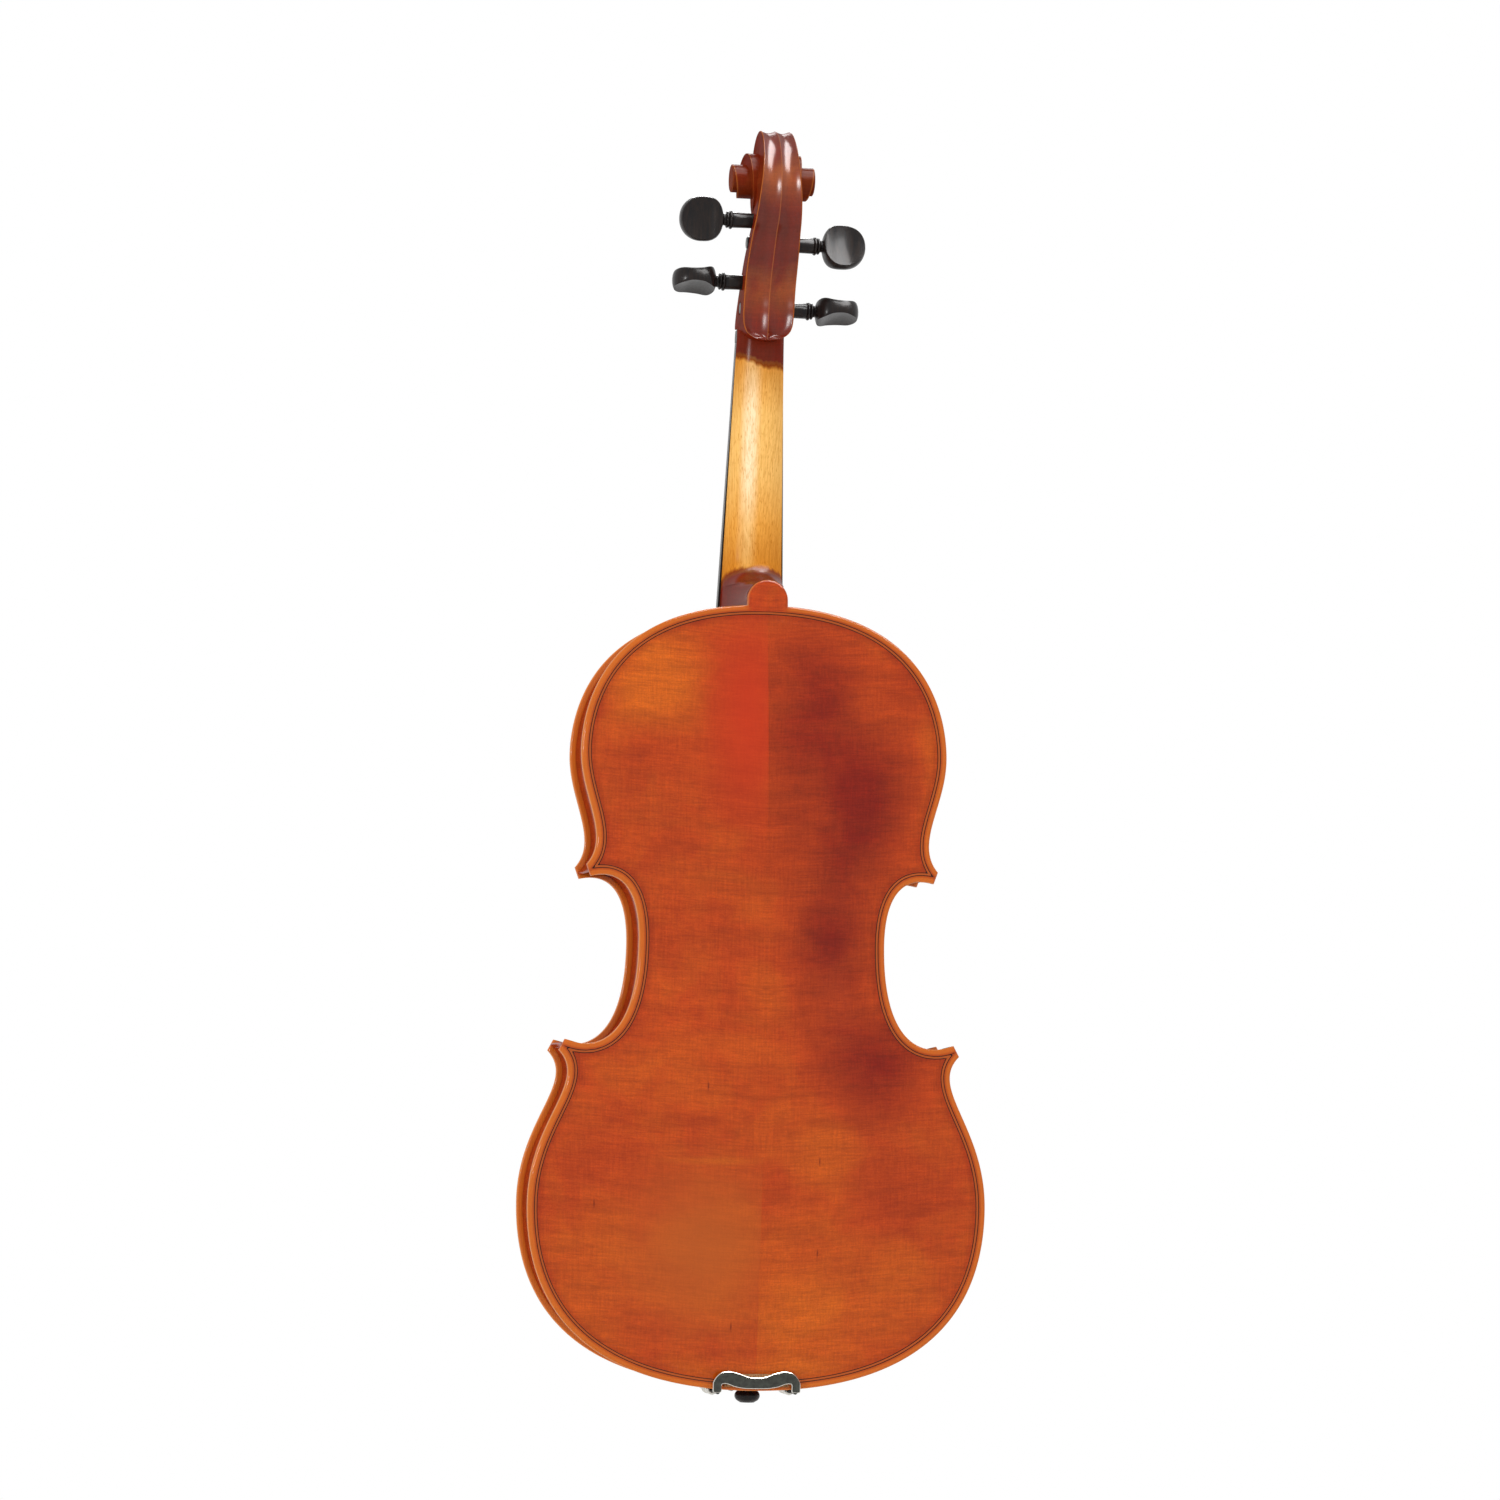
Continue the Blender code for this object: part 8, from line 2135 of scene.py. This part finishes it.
def rib_object(name, path, label, side):
    """A bent rib, notched for the neck's root or bored for the end button. Its flame runs across it."""
    walked = np.concatenate([[0.0], np.cumsum(np.linalg.norm(np.diff(path, axis=0), axis=1))])
    shape = Shape()
    shape.tube(strip_rings(path, RIB_THICKNESS, -RIB_HEIGHT + 0.0001, -0.0001, side), along=[[w] * 4 for w in walked])
    rib = linked(name, shape.mesh(name))
    if label == "upper":
        carved(rib, [neck_root_tool("root")])
    if label == "lower":
        hole = round_ring((0, BUTTON_AXIS_Y, 0), BUTTON_NECK_DIAMETER / 2 + 0.0001, 2, 48)
        carved(rib, [tool("hole", [hole + (0, 0, -0.01), hole + (0, 0, 0.03)])])
    shade(rib.data)
    return rib


def lining_object(name, path, label, side):
    """The two laths glued inside a rib, slanted off towards the inside."""
    inner = inset(path, RIB_THICKNESS + 0.00005)
    length = path_length(inner)
    ends = {"upper": (0.028, length - 0.024), "waist": (0.021, length - 0.021), "lower": (0.024, length - 0.026)}
    line = along(inner, *ends[label])
    shape = Shape()
    for seat, way in ((-RIB_HEIGHT + 0.0003, 1), (-0.0003, -1)):
        behind = inset(line, 0.0020)
        shape.tube([
            [(side * a[0], seat, a[1]), (side * a[0], seat + way * 0.0070, a[1]),
             (side * (a[0] * 0.75 + b[0] * 0.25), seat + way * 0.0070, a[1] * 0.75 + b[1] * 0.25),
             (side * b[0], seat + way * 0.0030, b[1]), (side * b[0], seat, b[1])]
            for a, b in zip(line, behind)
        ])
    return linked(name, shape.mesh(name))


def neck_object(name):
    """Neck, heel, pegbox and scroll in one piece, hollowed for the pegs."""
    low = BODY_LENGTH - MORTISE_DEPTH
    heel = BODY_LENGTH + BUTTON_HEIGHT
    heights = [low, *np.linspace(BODY_LENGTH, heel - BUTTON_WIDTH / 2, 4)]
    heights += list(heel - BUTTON_WIDTH / 2 * (1 - np.sin(np.linspace(0, math.pi / 2, 14)[1:-1])))
    heights += list(heel - 0.0002 + (HEEL_TOP_REACH + 0.0012) * np.linspace(0, 1, 32) ** 1.3)
    heights += list(np.linspace(heel + HEEL_TOP_REACH + 0.006, HEAD_Z - 0.004, 12)) + [HEAD_Z - 0.001, HEAD_Z]
    rings = []
    for z in heights:
        rings.append([(x, y, z) for x, y, _ in neck_section(max(z, BODY_LENGTH))])
    shape = Shape()
    gloss = np.interp(heights, [heel + 0.012, heel + 0.030], [1.2, 0.4])
    gloss = [[share * (1 - 0.8 * (x / ring[0][0]) ** 2) for x, _, _ in ring] for share, ring in zip(gloss, rings)]
    shape.tube(rings, polish=gloss)
    neck = linked(name, shape.mesh(name))
    carved(neck, [mirrored_head()], "UNION")
    carved(neck, [pegbox_tool(), *(peg_hole_tool(peg) for peg in PEGS)])
    shade(neck.data, 34)
    return neck


def ball_object(name, string):
    """The brass barrel at a string's end, bored through."""
    x, reach = tuner_x(string), LEVER_WIDTH / 2
    out = LEVER_HOOK_STAND - tail_fall(x) - 0.0017
    up = AXLE_UP - 0.0016 - 0.0003 - BALL_DIAMETER / 2 - 0.0006
    radius, bore = BALL_DIAMETER / 2, 0.0007
    profile = [(bore, -1), (radius * 0.86, -1), (radius, -0.86), (radius * 0.93, -0.6), (radius * 0.93, 0.6),
               (radius, 0.86), (radius * 0.86, 1), (bore, 1)]
    turns = np.linspace(0, 2 * math.pi, 32, endpoint=False)
    rings = [[tail_point(x + reach * at, out + r * math.cos(t), up + r * math.sin(t)) for t in turns]
             for r, at in [*profile, profile[0]]]
    shape = Shape()
    shape.grid(rings, True)
    return linked(name, shape.mesh(name))


class VIOLA_OT_plates(bpy.types.Operator):
    """Carve the halves of the back and the top, with arching, rounded edges, sound holes and purfling"""

    bl_idname = "viola.plates"
    bl_label = "Back and top"

    def execute(self, context):
        maple, spruce = kept(varnished_maple, "Oil-varnished flamed maple, carved plate", True), kept(varnished_spruce)
        for name, side in SIDES:
            back = plate_object(f"carved_back_{name}", side, True)
            finished(back, maple, [f"back_{name}_half"])
            top = plate_object(f"carved_top_{name}", side, False)
            finished(top, spruce, [f"top_{name}_half"])
        return {"FINISHED"}


class VIOLA_OT_ribs(bpy.types.Operator):
    """Bend the six ribs and glue in their linings"""

    bl_idname = "viola.ribs"
    bl_label = "Ribs and linings"

    def execute(self, context):
        maple = kept(varnished_maple, "Oil-varnished flamed maple, bent rib", False, True)
        for label, path in zip(("upper", "waist", "lower"), rib_paths()):
            for name, side in SIDES:
                node = f"rib_{label}_{name}"
                rib = rib_object(f"bent_{node}", path, label, side)
                finished(rib, maple, [node])
                lining = lining_object(f"lining_{label}_{name}", path, label, side)
                finished(lining, kept(bare_spruce), [node])
        return {"FINISHED"}


class VIOLA_OT_inside(bpy.types.Operator):
    """Give the blocks, the bass bar and the sound post their wood"""

    bl_idname = "viola.inside"
    bl_label = "Blocks, bar and post"

    def execute(self, context):
        nodes = ["neck_block", "end_block", "bass_bar", "sound_post"]
        nodes += [f"corner_block_{place}_{name}" for place in ("upper", "lower") for name, _ in SIDES]
        for node in nodes:
            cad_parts[node].material_slots[0].material = kept(bare_spruce)
        return {"FINISHED"}


class VIOLA_OT_neck(bpy.types.Operator):
    """Carve the neck, the pegbox and the scroll"""

    bl_idname = "viola.neck"
    bl_label = "Neck and scroll"

    def execute(self, context):
        finished(neck_object("carved_neck"), kept(neck_maple), ["neck"])
        return {"FINISHED"}


class VIOLA_OT_board(bpy.types.Operator):
    """Shape the fingerboard, the nut, the saddle and the end button"""

    bl_idname = "viola.board"
    bl_label = "Fingerboard, nut, saddle and button"

    def execute(self, context):
        for node, maker in (("fingerboard", fingerboard_mesh), ("nut", nut_mesh), ("saddle", saddle_mesh),
                            ("end_button", button_mesh)):
            piece = linked(f"shaped_{node}", maker(f"shaped_{node}"))
            finished(piece, kept(ebony), [node])
        return {"FINISHED"}


class VIOLA_OT_bridge(bpy.types.Operator):
    """Cut the bridge"""

    bl_idname = "viola.bridge"
    bl_label = "Bridge"

    def execute(self, context):
        bridge = bridge_object("cut_bridge")
        shade(bridge.data)
        finished(bridge, kept(bridge_maple), ["bridge"])
        return {"FINISHED"}


class VIOLA_OT_pegs(bpy.types.Operator):
    """Turn the four pegs"""

    bl_idname = "viola.pegs"
    bl_label = "Pegs"

    def execute(self, context):
        for name in PEGS:
            finished(peg_object(name), kept(ebony), [f"peg_{name}"], f"peg_{name}_body")
        return {"FINISHED"}


class VIOLA_OT_tail(bpy.types.Operator):
    """Mould the tailpiece and fit its four fine tuners"""

    bl_idname = "viola.tail"
    bl_label = "Tailpiece and tuners"

    def execute(self, context):
        tailpiece = tailpiece_object("moulded_tailpiece")
        shade(tailpiece.data)
        finished(tailpiece, kept(moulded_composite), ["tailpiece"])
        half = TAILPIECE_WIDE_END / 2 - 0.0006
        axle = tool("axle_pin", cross_rod(-half, half, -TUNER_AXLE_DEPTH, AXLE_UP, TUNER_AXLE_DIAMETER / 2, 24, 0.0003))
        finished(axle, kept(nickel), ["tuner_axle"])
        knurl = knurl_tree(kept(nickel))
        for name in STRINGS:
            lever = lever_object(f"bent_lever_{name}", name)
            shade(lever.data, 40)
            finished(lever, kept(nickel), [f"tuner_lever_{name}"], f"tuner_{name}_lever")
            ball = ball_object(f"ball_end_{name}", name)
            finished(ball, kept(brass), [f"string_ball_{name}"], f"tuner_{name}_lever")
            screw = linked(f"turned_screw_{name}", screw_mesh(f"turned_screw_{name}", name))
            stand = TUNER_HEAD_STAND - tail_fall(tuner_x(name)) + TUNER_HEAD_HEIGHT / 2
            place = Vector(tail_point(tuner_x(name), stand, SCREW_UP)) + OFFSET
            grown(screw, knurl, place=tuple(place), turn=(math.pi / 2 + TAILPIECE_TILT, 0.0, 0.0))
            shade(screw.data)
            finished(screw, kept(nickel), [f"tuner_screw_{name}"], f"tuner_{name}_screw")
        return {"FINISHED"}


class VIOLA_OT_strings(bpy.types.Operator):
    """Draw the four strings along their routes, and the cord of the tail"""

    bl_idname = "viola.strings"
    bl_label = "Strings and tail cord"

    def execute(self, context):
        nut_reach = path_length(np.array(string_route("d")[:8]))
        wire = kept(wound_wire, 0.022, round(nut_reach + 0.006, 4))
        tree = wire_tree("Wound string", wire)
        for name, size in STRINGS.items():
            string = path_object(f"wound_string_{name}", string_route(name))
            grown(string, tree, radius=size["diameter"] / 2, sides=16)
            shade(string.data)
            finished(string, wire, [f"string_{name}"])
        gut = path_object("tail_cord", gut_route())
        grown(gut, wire_tree("Tail cord", kept(drawn_nylon)), radius=TAIL_GUT_DIAMETER / 2, sides=20)
        shade(gut.data)
        finished(gut, kept(drawn_nylon), ["tail_gut"])
        return {"FINISHED"}


class VIOLA_OT_chinrest(bpy.types.Operator):
    """Carve the chinrest and paint its cork pads"""

    bl_idname = "viola.chinrest"
    bl_label = "Chinrest"

    def execute(self, context):
        chinrest = chinrest_object("carved_chinrest")
        shade(chinrest.data, 40)
        finished(chinrest, kept(ebony), ["chinrest"])
        for node in ("chinrest_cork_bass", "chinrest_cork_treble"):
            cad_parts[node].material_slots[0].material = kept(pressed_cork)
        return {"FINISHED"}


class VIOLA_OT_clamp(bpy.types.Operator):
    """Make the clamp: two bent hooks, two barrels, and the foot on the back's edge"""

    bl_idname = "viola.clamp"
    bl_label = "Chinrest clamp"

    def execute(self, context):
        for name, side in SIDES:
            hook = hook_object(f"bent_hook_{name}", side)
            shade(hook.data, 40)
            finished(hook, kept(nickel), [f"clamp_hook_{name}"])
            barrel = barrel_object(f"turned_barrel_{name}", side)
            shade(barrel.data)
            finished(barrel, kept(nickel), [f"clamp_barrel_{name}"], f"barrel_{name}")
        foot = clamp_foot_object("pressed_foot")
        shade(foot.data, 40)
        finished(foot, kept(nickel_plate_painted_dark), ["clamp_foot"], "clamp_lower")
        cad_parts["clamp_cork"].material_slots[0].material = kept(pressed_cork)
        return {"FINISHED"}


class VIOLA_OT_stage(bpy.types.Operator):
    """Set the floor, the studio light and the camera"""

    bl_idname = "viola.stage"
    bl_label = "Floor, light and camera"

    def execute(self, context):
        scene, looks = context.scene, context.scene.viola_stage
        middle = Vector((0.0076, 0.0, 0.3305)) + OFFSET
        bottom = OFFSET.z - 0.010 - looks.floor_drop
        floor = Shape()
        floor.grid([[(x, y, 0.0) for x in np.linspace(-1.5, 1.5, 7)] for y in np.linspace(-1.5, 1.5, 7)])
        floor = linked("studio_floor", floor.mesh("studio_floor"))
        floor.data.transform(Matrix.Translation(Vector((0, 0, bottom)) - OFFSET))
        material, tree, shader = new_material("Matt paper floor", Roughness=0.9)
        place = add(tree, "TexCoord", take="Object")
        paper = curl(tree, place, 1.0, millimetres(60, 60, 60), 3.0, 0.0)
        paper = add(tree, "ValToRGB", paper, points=[(0.3, linear("#E9E8E6")), (0.7, linear("#EFEEEC"))])
        tree.links.new(paper, shader.inputs["Base Color"])
        floor.data.materials.append(material)

        world = bpy.data.worlds.new("Studio")
        scene.world = world
        world.use_nodes = True
        tree = world.node_tree
        seen = add(tree, "LightPath").node.outputs
        white = add(tree, "Math", seen["Is Camera Ray"], seen["Is Transmission Ray"], operation="MAXIMUM")
        white = add(tree, "Math", white, seen["Is Glossy Ray"], operation="MAXIMUM")
        strength = add(tree, "Mix", white, grey(0.62), grey(1.0), data_type="RGBA")
        tree.links.new(strength, tree.nodes["Background"].inputs["Color"])

        for name, place, wide, tall, power, diffuse in (
            ("left", (1.80, 1.25, 0.30), 0.34, 0.40, 20.0, True),
            ("right", (-1.80, 1.25, 0.60), 0.70, 1.20, 14.0, True),
            ("top", (0.10, 0.90, 1.90), 0.60, 0.25, 14.0, True),
            ("front", (-0.20, -1.60, 1.50), 0.60, 0.60, 18.0, True),
            ("canopy", (-0.55, 0.55, 1.55), 1.40, 1.90, 150.0, False),
        ):
            light = bpy.data.lights.new(name, "AREA")
            light.shape, light.size, light.size_y, light.energy = "RECTANGLE", wide, tall, power
            lamp = bpy.data.objects.new(name, light)
            scene.collection.objects.link(lamp)
            lamp.location = middle + Vector(place)
            lamp.rotation_euler = Vector(place).to_track_quat("Z", "Y").to_euler()
            lamp.visible_diffuse, lamp.visible_glossy = diffuse, name not in ("right", "top")

        camera = bpy.data.cameras.new("camera")
        camera.lens, camera.sensor_width, camera.clip_start = looks.lens, 36.0, 0.05
        eye = bpy.data.objects.new("camera", camera)
        scene.collection.objects.link(eye)
        turn, rise = looks.azimuth, looks.elevation
        away = Vector((math.sin(turn) * math.cos(rise), -math.cos(turn) * math.cos(rise), math.sin(rise)))
        level = away.to_track_quat("Z", "Y").to_matrix() @ Matrix.Rotation(looks.roll, 3, "Z")
        eye.rotation_euler = level.to_euler()
        eye.location = middle + away * looks.distance
        scene.camera = eye
        scene.view_settings.view_transform = "Standard"
        return {"FINISHED"}


GROUPS = {"viola_varnish": ViolaVarnish, "viola_fittings": ViolaFittings, "viola_stage": ViolaStage}
OPERATORS = (
    VIOLA_OT_plates, VIOLA_OT_ribs, VIOLA_OT_inside, VIOLA_OT_neck, VIOLA_OT_board, VIOLA_OT_bridge, VIOLA_OT_pegs,
    VIOLA_OT_tail, VIOLA_OT_strings, VIOLA_OT_chinrest, VIOLA_OT_clamp, VIOLA_OT_stage,
)


class VIOLA_PT_parts(bpy.types.Panel):
    """The steps that dress the viola, in their order"""

    bl_label = "Viola"
    bl_category = "Viola"
    bl_space_type = "VIEW_3D"
    bl_region_type = "UI"

    def draw(self, context):
        for operator in OPERATORS:
            self.layout.operator(operator.bl_idname)


def register():
    for cls in (*GROUPS.values(), *OPERATORS, VIOLA_PT_parts):
        bpy.utils.register_class(cls)
    for name, group in GROUPS.items():
        setattr(bpy.types.Scene, name, bpy.props.PointerProperty(type=group))


def unregister():
    for name in GROUPS:
        delattr(bpy.types.Scene, name)
    for cls in reversed((*GROUPS.values(), *OPERATORS, VIOLA_PT_parts)):
        bpy.utils.unregister_class(cls)


def main():
    register()
    for operator in OPERATORS:
        step = operator.bl_idname.split(".")[1]
        getattr(bpy.ops.viola, step)()


if __name__ == "__main__":
    main()
